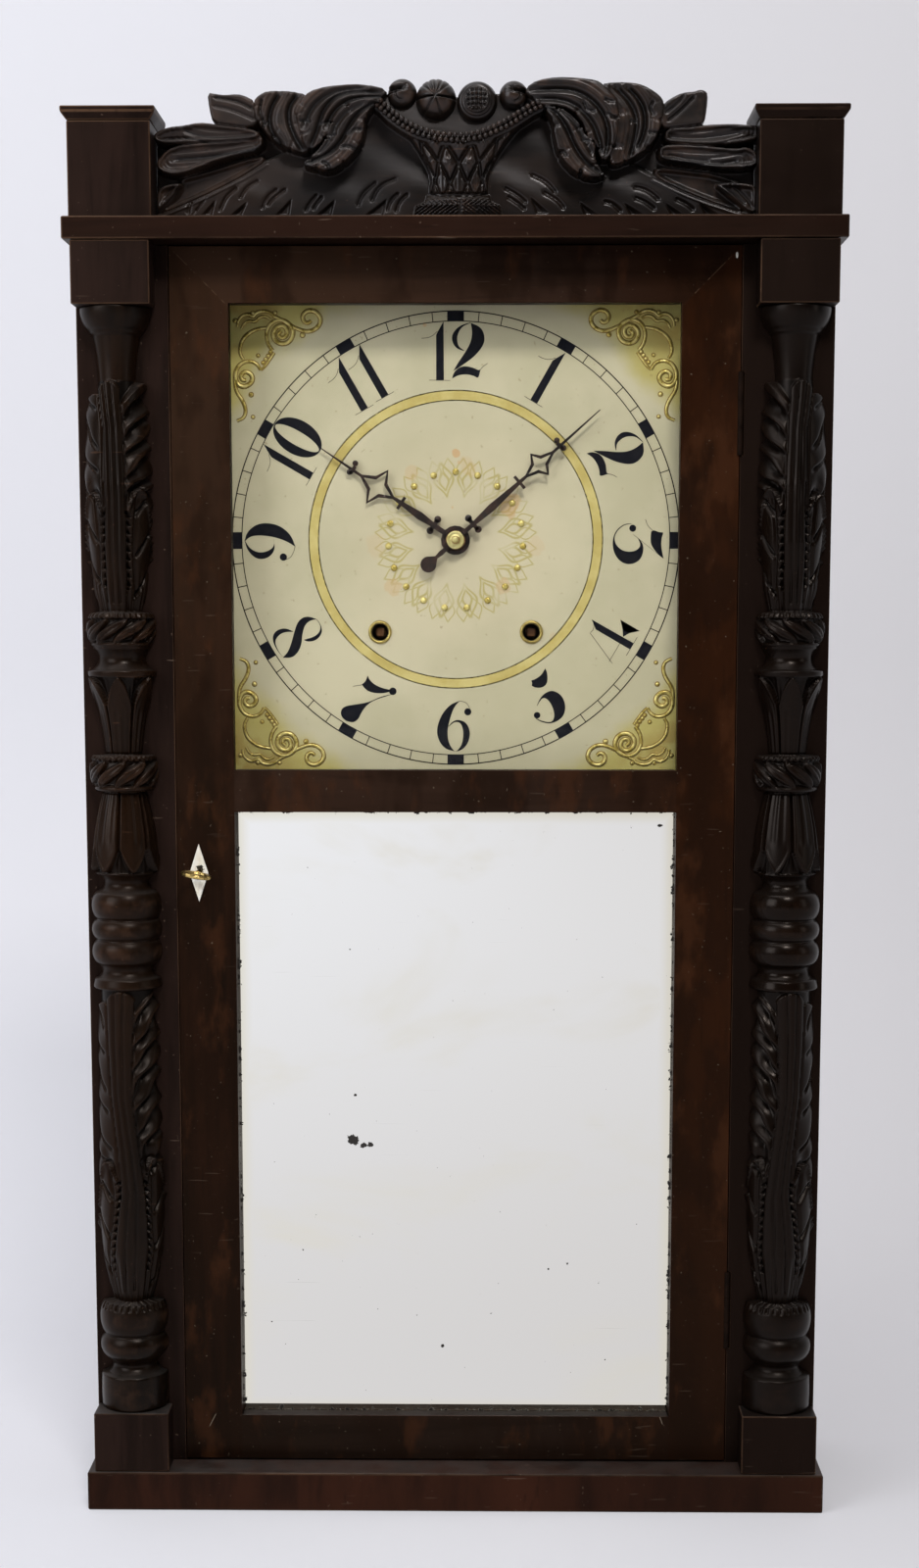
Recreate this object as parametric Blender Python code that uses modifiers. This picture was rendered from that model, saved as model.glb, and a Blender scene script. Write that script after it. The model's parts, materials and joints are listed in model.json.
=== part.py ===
"""Column and splat shelf clock with a thirty-hour wooden movement.

Metres, +Z up, +X to the right of a person facing the dial, the front faces -Y.
The origin is the centre of the underside of the base board.
Each named object is one physical piece. Moving pieces hang from empties on their joint axes.
"""

import math

import bmesh
import bpy
from mathutils import Matrix, Vector

# Clearances
GAP = 0.0003
RUNNING_GAP = 0.0004

# Case
BASE_DEPTH = 0.140
BASE_HEIGHT = 0.0250
BASE_OVERHANG = 0.004
CASE_HEIGHT = 0.7658
BACK_INSET = 0.002
BACK_THICKNESS = 0.008
SIDE_THICKNESS = 0.009
STILE_WIDTH = 0.0565
STILE_THICKNESS = 0.019
STILE_SETBACK = 0.024
CORNICE_HEIGHT = 0.0133
COLUMN_FROM_EDGE = 0.0245
PLINTH_WIDTH = 0.0476
PLINTH_HEIGHT = 0.0384
PLINTH_DEPTH = 0.0226
CAPITAL_HEIGHT = 0.0378
CHIMNEY_WIDTH = 0.0500
CHIMNEY_DEPTH = 0.043
CHIMNEY_HEIGHT = 0.0560
CHIMNEY_SETBACK = 0.006
CAP_OVERHANG = 0.0033
CAP_COVE_HEIGHT = 0.0045
CAP_PLATE_HEIGHT = 0.0032

# Door
DOOR_WIDTH = 0.348
DOOR_SIDE_GAP = 0.0005
DOOR_BOTTOM_GAP = 0.0015
DOOR_TOP_GAP = 0.0008
DOOR_STILE_WIDTH = 0.0360
TOP_RAIL_HEIGHT = 0.0338
MIDDLE_RAIL_HEIGHT = 0.0263
BOTTOM_RAIL_HEIGHT = 0.0290
DIAL_OPENING_HEIGHT = 0.2837
RABBET_DEPTH = 0.008
RABBET_WIDTH = 0.005
GLASS_THICKNESS = 0.002
MIRROR_THICKNESS = 0.003
BACKING_THICKNESS = 0.004

# Hinges
HINGE_HEIGHT = 0.050
HINGE_LEAF_THICKNESS = 0.001
HINGE_LEAF_WIDTH = 0.012
HINGE_BARREL_RADIUS = 0.0018
HINGE_PIN_RADIUS = 0.0009
HINGE_FROM_END = 0.075
KNUCKLE_HEIGHT = 0.016

# Lock and key
LOCK_HEIGHT_Z = 0.408
LOCK_FROM_EDGE = 0.0133
LOCK_CASE_HEIGHT = 0.030
LOCK_CASE_WIDTH = 0.0165
LOCK_CASE_DEPTH = 0.012
LOCK_WALL = 0.0015
BOLT_HEIGHT = 0.012
BOLT_THICKNESS = 0.003
BOLT_TRAVEL = 0.006
ESCUTCHEON_HEIGHT = 0.0366
ESCUTCHEON_WIDTH = 0.0118
ESCUTCHEON_THICKNESS = 0.0012
KEYHOLE_RADIUS = 0.0021
KEY_SHANK_RADIUS = 0.0017
KEY_BOW_RADIUS = 0.0082
KEY_BOW_WIRE = 0.0015
KEY_BIT_LENGTH = 0.0032
KEY_BIT_WIDTH = 0.0014
KEY_STANDOFF = 0.0068
KEY_TILT = math.radians(10)

# Dial and hands
DIAL_SETBACK = 0.028
DIAL_THICKNESS = 0.005
DIAL_WIDTH = 0.300
DIAL_LAP = 0.0155
DIAL_CENTRE_RISE = 0.1423
DIAL_HOLE_RADIUS = 0.0078
WINDING_OFFSET_X = 0.0477
WINDING_DROP = 0.0570
WINDING_HOLE_RADIUS = 0.0054
GROMMET_RADIUS = 0.0071
GROMMET_HEIGHT = 0.0008
HAND_THICKNESS = 0.001
HAND_SPACING = 0.0024
HOUR_HAND_LENGTH = 0.1012
MINUTE_HAND_LENGTH = 0.120
MINUTE_TAIL_LENGTH = 0.0227
HOUR_HUB_RADIUS = 0.0091
MINUTE_HUB_RADIUS = 0.0056
HOUR_HAND_ANGLE = math.radians(304.0)
MINUTE_HAND_ANGLE = math.radians(48.4)
WASHER_RADIUS = 0.0050
HAND_STEM = 0.0009
HAND_WEB = 0.0009

# Movement
RAIL_SPREAD = 0.118
RAIL_THICKNESS = 0.010
RAIL_BELOW_CENTRE = 0.1698
RAIL_ABOVE_CENTRE = 0.0702
PLATE_BELOW_CENTRE = 0.1318
PLATE_ABOVE_CENTRE = 0.1182
PLATE_THICKNESS = 0.006
FRONT_ROOM = 0.013
PLATE_SPACING = 0.032
PILLAR_RADIUS = 0.006
UPPER_PILLAR_X = 0.070
ARBOR_RADIUS = 0.0025
SMALL_ARBOR_RADIUS = 0.0020
MINUTE_STUD_RADIUS = 0.0015
WINDING_ARBOR_RADIUS = 0.0035
DRUM_RADIUS = 0.0165
DRUM_LENGTH = 0.019
DRUM_FLANGE = 0.0035
DRUM_FLANGE_THICKNESS = 0.0015
WHEEL_THICKNESS = 0.005
THIN_WHEEL = 0.003
GREAT_TEETH = 36
CENTRE_PINION_TEETH = 6
CENTRE_TEETH = 54
THIRD_PINION_TEETH = 6
THIRD_TEETH = 54
ESCAPE_PINION_TEETH = 6
ESCAPE_TEETH = 42
CENTRE_THIRD_DISTANCE = 0.039
THIRD_ESCAPE_DISTANCE = 0.036
ESCAPE_X = -0.026
ESCAPE_RISE = 0.057
ESCAPE_RADIUS = 0.0235
ESCAPE_THICKNESS = 0.0015
ESCAPE_TOOTH_DEPTH = 0.0024
CANNON_TEETH = 10
MINUTE_WHEEL_TEETH = 30
MINUTE_PINION_TEETH = 8
HOUR_WHEEL_TEETH = 32
MOTION_DISTANCE = 0.020
HOUR_PIPE_RADIUS = 0.0060
STRIKE_TEETH = 36
STRIKE_WHEEL_RADIUS = 0.040
VERGE_RISE = 0.031
VERGE_SPAN = math.radians(38)
VERGE_CROWN = 0.0042
VERGE_STRIP = 0.0016
VERGE_BOSS_RADIUS = 0.0034
VERGE_WIRE = 0.0008
STUD_RADIUS = 0.0012
PALLET_CLEARANCE = 0.0018
CRUTCH_LENGTH = 0.042
CRUTCH_SLOT = 0.0022
PENDULUM_FROM_DIAL = 0.0040
PENDULUM_RISE = 0.050
PENDULUM_LENGTH = 0.278
PENDULUM_WIRE_RADIUS = 0.0009
BOB_RADIUS = 0.022
BOB_THICKNESS = 0.0070

# Strike
HAMMER_PIVOT_X = -0.008
HAMMER_BELOW_CENTRE = 0.1158
HAMMER_ARM_LENGTH = 0.060
HAMMER_WIRE_RADIUS = 0.0012
HAMMER_HEAD_RADIUS = 0.0055
HAMMER_HEAD_LENGTH = 0.010
HAMMER_REST_GAP = 0.002
BELL_RADIUS = 0.036
BELL_DEPTH = 0.022
BELL_WALL = 0.0022
BELL_X = 0.042
BELL_POST_RADIUS = 0.003

# Weights and cords
CORD_RADIUS = 0.0012
WEIGHT_RADIUS = 0.020
WEIGHT_LENGTH = 0.140
WEIGHT_EYE_HEIGHT = 0.012
WEIGHT_BELOW_CENTRE = 0.1448
PULLEY_RADIUS = 0.0150
PULLEY_GROOVE = 0.0020
PULLEY_WIDTH = 0.008
PULLEY_PIN_RADIUS = 0.0015
PULLEY_PIN_REACH = 0.007
PULLEY_FROM_SIDE = 0.062
PULLEY_SIDE_GAP = 0.002
CORD_ROOM = 0.009
PULLEY_RISE = 0.007

# Places worked out from the sizes
BASE_FRONT_Y = -BASE_DEPTH / 2
CASE_BACK_Y = BASE_DEPTH / 2 - BACK_INSET
STILE_FRONT_Y = BASE_FRONT_Y + STILE_SETBACK
STILE_BACK_Y = STILE_FRONT_Y + STILE_THICKNESS
BACK_FRONT_Y = CASE_BACK_Y - BACK_THICKNESS
STILE_INNER_X = DOOR_WIDTH / 2 + DOOR_SIDE_GAP
CASE_HALF = STILE_INNER_X + STILE_WIDTH
BASE_HALF = CASE_HALF + BASE_OVERHANG
COLUMN_X = CASE_HALF - COLUMN_FROM_EDGE
PLINTH_TOP_Z = BASE_HEIGHT + PLINTH_HEIGHT
CASE_TOP_Z = BASE_HEIGHT + CASE_HEIGHT
CAPITAL_BOTTOM_Z = CASE_TOP_Z - CAPITAL_HEIGHT
CORNICE_TOP_Z = CASE_TOP_Z + CORNICE_HEIGHT
CHIMNEY_TOP_Z = CORNICE_TOP_Z + CHIMNEY_HEIGHT
CHIMNEY_FRONT_Y = BASE_FRONT_Y + CHIMNEY_SETBACK
CHIMNEY_INNER_X = COLUMN_X - CHIMNEY_WIDTH / 2
DOOR_BOTTOM_Z = BASE_HEIGHT + DOOR_BOTTOM_GAP
DOOR_TOP_Z = CASE_TOP_Z - DOOR_TOP_GAP
OPENING_HALF = DOOR_WIDTH / 2 - DOOR_STILE_WIDTH
DIAL_OPENING_TOP_Z = DOOR_TOP_Z - TOP_RAIL_HEIGHT
DIAL_OPENING_BOTTOM_Z = DIAL_OPENING_TOP_Z - DIAL_OPENING_HEIGHT
MIRROR_TOP_Z = DIAL_OPENING_BOTTOM_Z - MIDDLE_RAIL_HEIGHT
MIRROR_BOTTOM_Z = DOOR_BOTTOM_Z + BOTTOM_RAIL_HEIGHT
DIAL_CENTRE_Z = DIAL_OPENING_BOTTOM_Z + DIAL_CENTRE_RISE
RABBET_Y = STILE_BACK_Y - RABBET_DEPTH
HINGE_X = DOOR_WIDTH / 2 + DOOR_SIDE_GAP / 2
HINGE_LEAF_BACK_Y = STILE_FRONT_Y + HINGE_LEAF_WIDTH
LOCK_X = -DOOR_WIDTH / 2 + LOCK_FROM_EDGE
DIAL_FRONT_Y = STILE_FRONT_Y + DIAL_SETBACK
DIAL_BACK_Y = DIAL_FRONT_Y + DIAL_THICKNESS
PLATE_FRONT_Y = DIAL_BACK_Y + FRONT_ROOM
WORKS_FRONT_Y = PLATE_FRONT_Y + PLATE_THICKNESS
WORKS_BACK_Y = WORKS_FRONT_Y + PLATE_SPACING
PLATE_BACK_Y = WORKS_BACK_Y + PLATE_THICKNESS
RAIL_BOTTOM_Z = DIAL_CENTRE_Z - RAIL_BELOW_CENTRE
RAIL_TOP_Z = DIAL_CENTRE_Z + RAIL_ABOVE_CENTRE
PLATE_BOTTOM_Z = DIAL_CENTRE_Z - PLATE_BELOW_CENTRE
PLATE_TOP_Z = DIAL_CENTRE_Z + PLATE_ABOVE_CENTRE
HAMMER_PIVOT_Z = DIAL_CENTRE_Z - HAMMER_BELOW_CENTRE
WEIGHT_TOP_Z = DIAL_CENTRE_Z - WEIGHT_BELOW_CENTRE
WINDING_Z = DIAL_CENTRE_Z - WINDING_DROP
ESCAPE_Z = DIAL_CENTRE_Z + ESCAPE_RISE
VERGE_Z = ESCAPE_Z + VERGE_RISE
PENDULUM_Z = ESCAPE_Z + PENDULUM_RISE
DRUM_FRONT_Y = WORKS_BACK_Y - DRUM_LENGTH - RUNNING_GAP
CORD_Y = DRUM_FRONT_Y + DRUM_LENGTH / 2
PULLEY_X = CASE_HALF - PULLEY_FROM_SIDE
PULLEY_Z = CASE_TOP_Z + PULLEY_RISE
CORD_DROP_X = PULLEY_X + PULLEY_RADIUS - PULLEY_GROOVE + CORD_RADIUS + GAP

# The crest's outlines, as distances from the clock's centre line and heights over the cornice,
# drawn for this half width and stretched to the room between the chimneys
CREST_DRAWN_HALF = 0.1812
CREST_THICKNESS = 0.010
CREST_RELIEF = 0.012
CREST_SETBACK = 0.028
CREST_LEFT = (
    (-0.1807, 0.0000), (-0.1777, 0.0082), (-0.1812, 0.0128), (-0.1757, 0.0205),
    (-0.1802, 0.0312), (-0.1762, 0.0398), (-0.1797, 0.0485), (-0.1726, 0.0546),
    (-0.1524, 0.0575), (-0.1447, 0.0568), (-0.1464, 0.0646), (-0.1480, 0.0739),
    (-0.1414, 0.0729), (-0.1291, 0.0734), (-0.1194, 0.0692), (-0.1110, 0.0748),
    (-0.1011, 0.0748), (-0.0895, 0.0731), (-0.0819, 0.0759), (-0.0666, 0.0777),
    (-0.0467, 0.0737), (-0.0400, 0.0723),
)
CREST_RIGHT = (
    (0.0437, 0.0740), (0.0511, 0.0801), (0.0614, 0.0822), (0.0789, 0.0815),
    (0.0864, 0.0788), (0.0993, 0.0794), (0.1120, 0.0783), (0.1220, 0.0724),
    (0.1253, 0.0681), (0.1333, 0.0734), (0.1420, 0.0748), (0.1480, 0.0758),
    (0.1505, 0.0646), (0.1485, 0.0562), (0.1654, 0.0562), (0.1745, 0.0562),
    (0.1802, 0.0505), (0.1767, 0.0429), (0.1807, 0.0355), (0.1762, 0.0266),
    (0.1807, 0.0160), (0.1772, 0.0092), (0.1807, 0.0000),
)
LEAF_UNDERSIDE = (
    (0.0533, 0.0592), (0.0543, 0.0460), (0.0594, 0.0368), (0.0740, 0.0296),
    (0.0926, 0.0342), (0.1138, 0.0337), (0.1510, 0.0154), (0.1752, 0.0052),
)
BASKET_PROFILE = (
    (0.0443, 0.0653), (0.0362, 0.0511), (0.0272, 0.0388), (0.0206, 0.0194),
    (0.0191, 0.0143), (0.0226, 0.0118), (0.0226, 0.0003),
)
BASKET_DEPTH = 0.020
FRUIT = (
    (-0.0312, 0.0725, 0.0087), (-0.0110, 0.0694, 0.0115), (0.0138, 0.0674, 0.0115),
    (0.0353, 0.0706, 0.0085),
)


def clear_scene():
    for obj in list(bpy.data.objects):
        bpy.data.objects.remove(obj, do_unlink=True)


def make_collection(name):
    collection = bpy.data.collections.new(name)
    bpy.context.scene.collection.children.link(collection)
    return collection


clear_scene()
PARTS = make_collection("column_and_splat_clock")
CUTTERS = make_collection("cutters")


def make_material(name, color, roughness, metallic=0.0, alpha=1.0):
    material = bpy.data.materials.new(name)
    material.use_nodes = True
    shader = material.node_tree.nodes["Principled BSDF"]
    shader.inputs["Base Color"].default_value = (*color, 1.0)
    shader.inputs["Roughness"].default_value = roughness
    shader.inputs["Metallic"].default_value = metallic
    shader.inputs["Alpha"].default_value = alpha
    return material


VENEER = (0.075, 0.022, 0.014)
CARVED = (0.050, 0.020, 0.014)
PINE = (0.36, 0.22, 0.11)
CHERRY = (0.42, 0.22, 0.10)
BRASS = (0.72, 0.52, 0.22)
IRON = (0.06, 0.055, 0.05)
CREAM = (0.80, 0.76, 0.62)
BONE = (0.86, 0.84, 0.78)
CORD_COLOR = (0.55, 0.45, 0.30)
SILVER = (0.88, 0.88, 0.86)
FINISHES = {
    "veneer": (VENEER, 0.35, 0.0),
    "carved": (CARVED, 0.40, 0.0),
    "pine": (PINE, 0.80, 0.0),
    "cherry": (CHERRY, 0.60, 0.0),
    "brass": (BRASS, 0.35, 1.0),
    "iron": (IRON, 0.55, 0.8),
    "cream": (CREAM, 0.55, 0.0),
    "bone": (BONE, 0.35, 0.0),
    "cord": (CORD_COLOR, 0.90, 0.0),
    "silver": (SILVER, 0.05, 1.0),
    "glass": ((0.9, 0.95, 0.92), 0.05, 0.0),
}


def finish(obj, kind):
    """Each piece carries its own material in its finish."""
    color, roughness, metallic = FINISHES[kind]
    alpha = 0.3 if kind == "glass" else 1.0
    obj.data.materials.clear()
    obj.data.materials.append(make_material(obj.name, color, roughness, metallic, alpha))
    return obj


def link(name, mesh, collection=None):
    obj = bpy.data.objects.new(name, mesh)
    (collection or PARTS).objects.link(obj)
    return obj


def helper(obj):
    """Marks a cutter: it shapes other pieces and is no piece itself."""
    for collection in list(obj.users_collection):
        collection.objects.unlink(obj)
    CUTTERS.objects.link(obj)
    obj.hide_render = True
    obj.display_type = "WIRE"
    return obj


def box(name, low, high):
    mesh = bpy.data.meshes.new(name)
    shape = bmesh.new()
    bmesh.ops.create_cube(shape, size=1.0)
    size = [h - l for l, h in zip(low, high)]
    bmesh.ops.scale(shape, vec=size, verts=shape.verts)
    shape.to_mesh(mesh)
    shape.free()
    obj = link(name, mesh)
    obj.location = [(l + h) / 2 for l, h in zip(low, high)]
    return obj


def rod(name, centre, radius, front_y, back_y, sides=12):
    """A cylinder along Y between two depths; centre is its (x, z)."""
    mesh = bpy.data.meshes.new(name)
    shape = bmesh.new()
    bmesh.ops.create_cone(
        shape, cap_ends=True, segments=sides, radius1=radius, radius2=radius,
        depth=back_y - front_y, matrix=Matrix.Rotation(math.pi / 2, 4, "X"),
    )
    shape.to_mesh(mesh)
    shape.free()
    obj = link(name, mesh)
    obj.location = (centre[0], (front_y + back_y) / 2, centre[1])
    return obj


def as_mesh(obj):
    """The object as a plain closed mesh, its modifiers applied and its loose caps welded."""
    bpy.context.view_layer.update()
    graph = bpy.context.evaluated_depsgraph_get()
    mesh = bpy.data.meshes.new_from_object(obj.evaluated_get(graph))
    shape = bmesh.new()
    shape.from_mesh(mesh)
    bmesh.ops.remove_doubles(shape, verts=shape.verts, dist=1e-6)
    shape.to_mesh(mesh)
    shape.free()
    name = obj.name
    matrix = obj.matrix_world.copy()
    collections = list(obj.users_collection)
    bpy.data.objects.remove(obj, do_unlink=True)
    made = bpy.data.objects.new(name, mesh)
    for collection in collections:
        collection.objects.link(made)
    made.matrix_world = matrix
    return made


def flat_shape(name, outlines, front_y, back_y, origin=(0.0, 0.0)):
    """Outlines in (x, z) about origin, filled and given the thickness between two depths."""
    curve = bpy.data.curves.new(name, "CURVE")
    curve.dimensions = "2D"
    curve.fill_mode = "BOTH"
    curve.extrude = (back_y - front_y) / 2
    for outline in outlines:
        spline = curve.splines.new("POLY")
        spline.points.add(len(outline) - 1)
        for point, (x, z) in zip(spline.points, outline):
            point.co = (x, z, 0.0, 1.0)
        spline.use_cyclic_u = True
    obj = link(name, curve)
    obj.rotation_euler = (math.pi / 2, 0.0, 0.0)
    obj.location = (origin[0], (front_y + back_y) / 2, origin[1])
    return as_mesh(obj)


def turned(name, profile, steps=16, angle=2 * math.pi):
    """A Screw of a profile of (radius, height) that runs down the outer side, about the local Z axis."""
    mesh = bpy.data.meshes.new(name)
    points = [(radius, 0.0, height) for radius, height in profile]
    mesh.from_pydata(points, [(i, i + 1) for i in range(len(points) - 1)], [])
    obj = link(name, mesh)
    screw = obj.modifiers.new("turning", "SCREW")
    screw.angle = angle
    screw.steps = steps
    screw.render_steps = steps
    screw.use_merge_vertices = True
    screw.merge_threshold = 1e-6
    return as_mesh(obj)


def half_turned(name, profile, steps=8):
    """Half of a turned shape, its flat side closed in the plane of the local XZ."""
    obj = turned(name, profile, steps, math.pi)
    shape = bmesh.new()
    shape.from_mesh(obj.data)
    rim = [edge for edge in shape.edges if edge.is_boundary]
    bmesh.ops.contextual_create(shape, geom=rim)
    bmesh.ops.recalc_face_normals(shape, faces=shape.faces)
    shape.to_mesh(obj.data)
    shape.free()
    return obj


def smooth(obj, degrees=35):
    obj.data.shade_smooth()
    obj.data.set_sharp_from_angle(angle=math.radians(degrees))
    return obj


def cut(obj, cutter):
    modifier = obj.modifiers.new("cut " + cutter.name, "BOOLEAN")
    modifier.operation = "DIFFERENCE"
    modifier.object = helper(cutter)
    return obj


def join(obj, other):
    modifier = obj.modifiers.new("join " + other.name, "BOOLEAN")
    modifier.operation = "UNION"
    modifier.object = helper(other)
    return obj


def cut_box(obj, name, low, high):
    return cut(obj, box(name, low, high))


def axis_empty(name, place):
    empty = bpy.data.objects.new(name, None)
    PARTS.objects.link(empty)
    empty.location = place
    empty.empty_display_size = 0.02
    return empty


def hang_on(empty, *pieces):
    for piece in pieces:
        piece.parent = empty
        piece.matrix_parent_inverse = Matrix.Translation(-Vector(empty.location))


def mirrored_pair(make, stem):
    """Builds the left piece with side -1 and the right piece with side +1."""
    return make(f"{stem}_left", -1), make(f"{stem}_right", 1)


def side_box(name, side, inner, outer, y_range, z_range):
    """A box between two distances from the clock's centre line, on one side of it."""
    low_x, high_x = sorted((side * inner, side * outer))
    return box(name, (low_x, y_range[0], z_range[0]), (high_x, y_range[1], z_range[1]))


# Turned members, as functions of height that give (radius, height above the member's foot)
def straight(height, foot, head):
    return [(foot, 0.0), (head, height)]


def torus(height, radius, steps=4):
    """A half-round bead that swells to radius."""
    bulge = height / 2
    neck = radius - bulge * 0.55
    angles = [math.pi * i / steps for i in range(steps + 1)]
    return [(neck + (radius - neck) * math.sin(a), height * (1 - math.cos(a)) / 2) for a in angles]


def cove(height, rim, waist, steps=4):
    """A hollow between two rims."""
    angles = [math.pi * i / steps for i in range(steps + 1)]
    return [(rim - (rim - waist) * math.sin(a), height * (1 - math.cos(a)) / 2) for a in angles]


def swelling(height, foot, widest, head, peak=0.4, steps=7):
    """A long shaft that leaves a narrow foot, swells to its widest at peak and narrows to its head."""
    points = []
    for i in range(steps + 1):
        t = i / steps
        if t < peak:
            radius = foot + (widest - foot) * math.sin(t / peak * math.pi / 2)
        else:
            radius = head + (widest - head) * math.cos((t - peak) / (1 - peak) * math.pi / 2)
        points.append((radius, height * t))
    return points


# Column members from the foot up; the two leaf shafts share the length that is left
COLUMN_RADIUS = 0.0217
UPPER_SHAFT_LENGTH = 0.1394
MEMBERS_BELOW_SHAFT = (
    straight(0.0015, 0.0205, 0.0215), straight(0.0195, 0.0215, 0.0215), straight(0.0015, 0.0215, 0.0200),
    cove(0.011, 0.0195, 0.0148), torus(0.015, COLUMN_RADIUS), torus(0.0215, COLUMN_RADIUS),
)
LOWER_SHAFT = {"foot": 0.0130, "widest": 0.0213, "head": 0.0190, "peak": 0.28}
MEMBERS_MIDDLE = (
    straight(0.0065, 0.0216, 0.0216), cove(0.0095, 0.0205, 0.0160), torus(0.0152, 0.0220),
    torus(0.0133, 0.0220), torus(0.0170, 0.0220), cove(0.0115, 0.0190, 0.0140),
    straight(0.006, 0.0180, 0.0199), swelling(0.0455, 0.0199, 0.0180, 0.0135, 0.2, 4),
    torus(0.023, COLUMN_RADIUS), swelling(0.0495, 0.0105, 0.0150, 0.0208, 0.5, 5),
    straight(0.005, 0.0213, 0.0213), cove(0.011, 0.0195, 0.0145), torus(0.021, COLUMN_RADIUS),
)
UPPER_SHAFT = {"foot": 0.0145, "widest": 0.0210, "head": 0.0120, "peak": 0.45}
MEMBERS_ABOVE_SHAFT = (
    straight(0.029, 0.0115, 0.0145), straight(0.003, 0.0165, 0.0165),
    straight(0.010, 0.0150, 0.0213), straight(0.002, 0.0215, 0.0215),
)


def column_profile(length):
    """The whole column from its foot at height 0, without doubled points."""
    def height_of(members):
        return sum(member[-1][1] for member in members)

    fixed = height_of(MEMBERS_BELOW_SHAFT) + height_of(MEMBERS_MIDDLE) + height_of(MEMBERS_ABOVE_SHAFT)
    lower_length = length - fixed - UPPER_SHAFT_LENGTH
    lower = swelling(lower_length, steps=9, **LOWER_SHAFT)
    upper = swelling(UPPER_SHAFT_LENGTH, **UPPER_SHAFT)
    members = (*MEMBERS_BELOW_SHAFT, lower, *MEMBERS_MIDDLE, upper, *MEMBERS_ABOVE_SHAFT)
    points = []
    foot = 0.0
    for member in members:
        for radius, height in member:
            point = (radius, foot + height)
            if not points or math.dist(points[-1], point) > 1e-5:
                points.append(point)
        foot += member[-1][1]
    return points


def build_column(name, side):
    length = CAPITAL_BOTTOM_Z - PLINTH_TOP_Z - 2 * GAP
    points = column_profile(length)
    profile = [(0.0, length), *reversed(points), (0.0, 0.0)]
    obj = half_turned(name, profile)
    obj.rotation_euler = (0.0, 0.0, math.pi)
    obj.location = (side * COLUMN_X, STILE_FRONT_Y - GAP, PLINTH_TOP_Z + GAP)
    return smooth(finish(obj, "carved"))


def build_front_stile(name, side):
    obj = side_box(name, side, STILE_INNER_X, CASE_HALF, (STILE_FRONT_Y, STILE_BACK_Y),
                   (BASE_HEIGHT + GAP, CASE_TOP_Z - GAP))
    if side < 0:
        bolt_front, bolt_back = bolt_y_range()
        half = BOLT_HEIGHT / 2 + RUNNING_GAP
        cut_box(obj, "bolt_mortise",
                (-STILE_INNER_X - BOLT_TRAVEL - 0.001, bolt_front - RUNNING_GAP, LOCK_HEIGHT_Z - half),
                (-STILE_INNER_X + GAP, bolt_back + RUNNING_GAP, LOCK_HEIGHT_Z + half))
    else:
        for low, high in hinge_spans():
            cut_box(obj, f"case_leaf_mortise_{low:.3f}",
                    (STILE_INNER_X - GAP, STILE_FRONT_Y - 0.001, low - GAP),
                    (STILE_INNER_X + HINGE_LEAF_THICKNESS + GAP, HINGE_LEAF_BACK_Y + GAP, high + GAP))
            cut_barrel_room(obj, low, high)
    return finish(obj, "veneer")


def build_case():
    base = box("base_board", (-BASE_HALF, BASE_FRONT_Y, 0.0), (BASE_HALF, BASE_DEPTH / 2, BASE_HEIGHT))
    finish(base, "veneer")
    cornice = box("cornice_board", (-BASE_HALF, BASE_FRONT_Y, CASE_TOP_Z),
                  (BASE_HALF, CASE_BACK_Y, CORNICE_TOP_Z))
    for side, label in ((-1, "left"), (1, "right")):
        inner, outer = sorted((side * (PULLEY_X - PULLEY_RADIUS - CORD_ROOM),
                               side * (PULLEY_X + PULLEY_RADIUS + PULLEY_SIDE_GAP)))
        slot_half = PULLEY_WIDTH / 2 + PULLEY_SIDE_GAP
        pin_half = PULLEY_PIN_RADIUS + RUNNING_GAP
        pin_reach = slot_half + PULLEY_PIN_REACH
        centre_x = side * PULLEY_X
        cut_box(cornice, f"pulley_slot_{label}",
                (inner, CORD_Y - slot_half, CASE_TOP_Z - 0.001),
                (outer, CORD_Y + slot_half, CORNICE_TOP_Z + 0.001))
        cut_box(cornice, f"pulley_pin_seat_{label}",
                (centre_x - pin_half, CORD_Y - pin_reach, PULLEY_Z - PULLEY_PIN_RADIUS - GAP),
                (centre_x + pin_half, CORD_Y + pin_reach, CORNICE_TOP_Z + 0.001))
    finish(cornice, "veneer")
    mirrored_pair(lambda name, side: finish(side_box(
        name, side, CASE_HALF - SIDE_THICKNESS, CASE_HALF, (STILE_BACK_Y + GAP, CASE_BACK_Y),
        (BASE_HEIGHT + GAP, CASE_TOP_Z - GAP)), "veneer"), "side_board")
    mirrored_pair(build_front_stile, "front_stile")
    mirrored_pair(build_column, "column")
    block_half = PLINTH_WIDTH / 2
    block_y = (STILE_FRONT_Y - PLINTH_DEPTH, STILE_FRONT_Y - GAP)
    mirrored_pair(lambda name, side: finish(side_box(
        name, side, COLUMN_X - block_half, COLUMN_X + block_half, block_y,
        (BASE_HEIGHT + GAP, PLINTH_TOP_Z)), "veneer"), "plinth_block")
    mirrored_pair(lambda name, side: finish(side_box(
        name, side, COLUMN_X - block_half, COLUMN_X + block_half, block_y,
        (CAPITAL_BOTTOM_Z, CASE_TOP_Z - GAP)), "veneer"), "capital_block")
    chimney_half = CHIMNEY_WIDTH / 2
    mirrored_pair(lambda name, side: finish(side_box(
        name, side, COLUMN_X - chimney_half, COLUMN_X + chimney_half,
        (CHIMNEY_FRONT_Y, CHIMNEY_FRONT_Y + CHIMNEY_DEPTH),
        (CORNICE_TOP_Z + GAP, CHIMNEY_TOP_Z)), "veneer"), "chimney_block")
    mirrored_pair(build_chimney_cap, "chimney_cap")
    build_back_board()
    build_crest()


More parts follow.
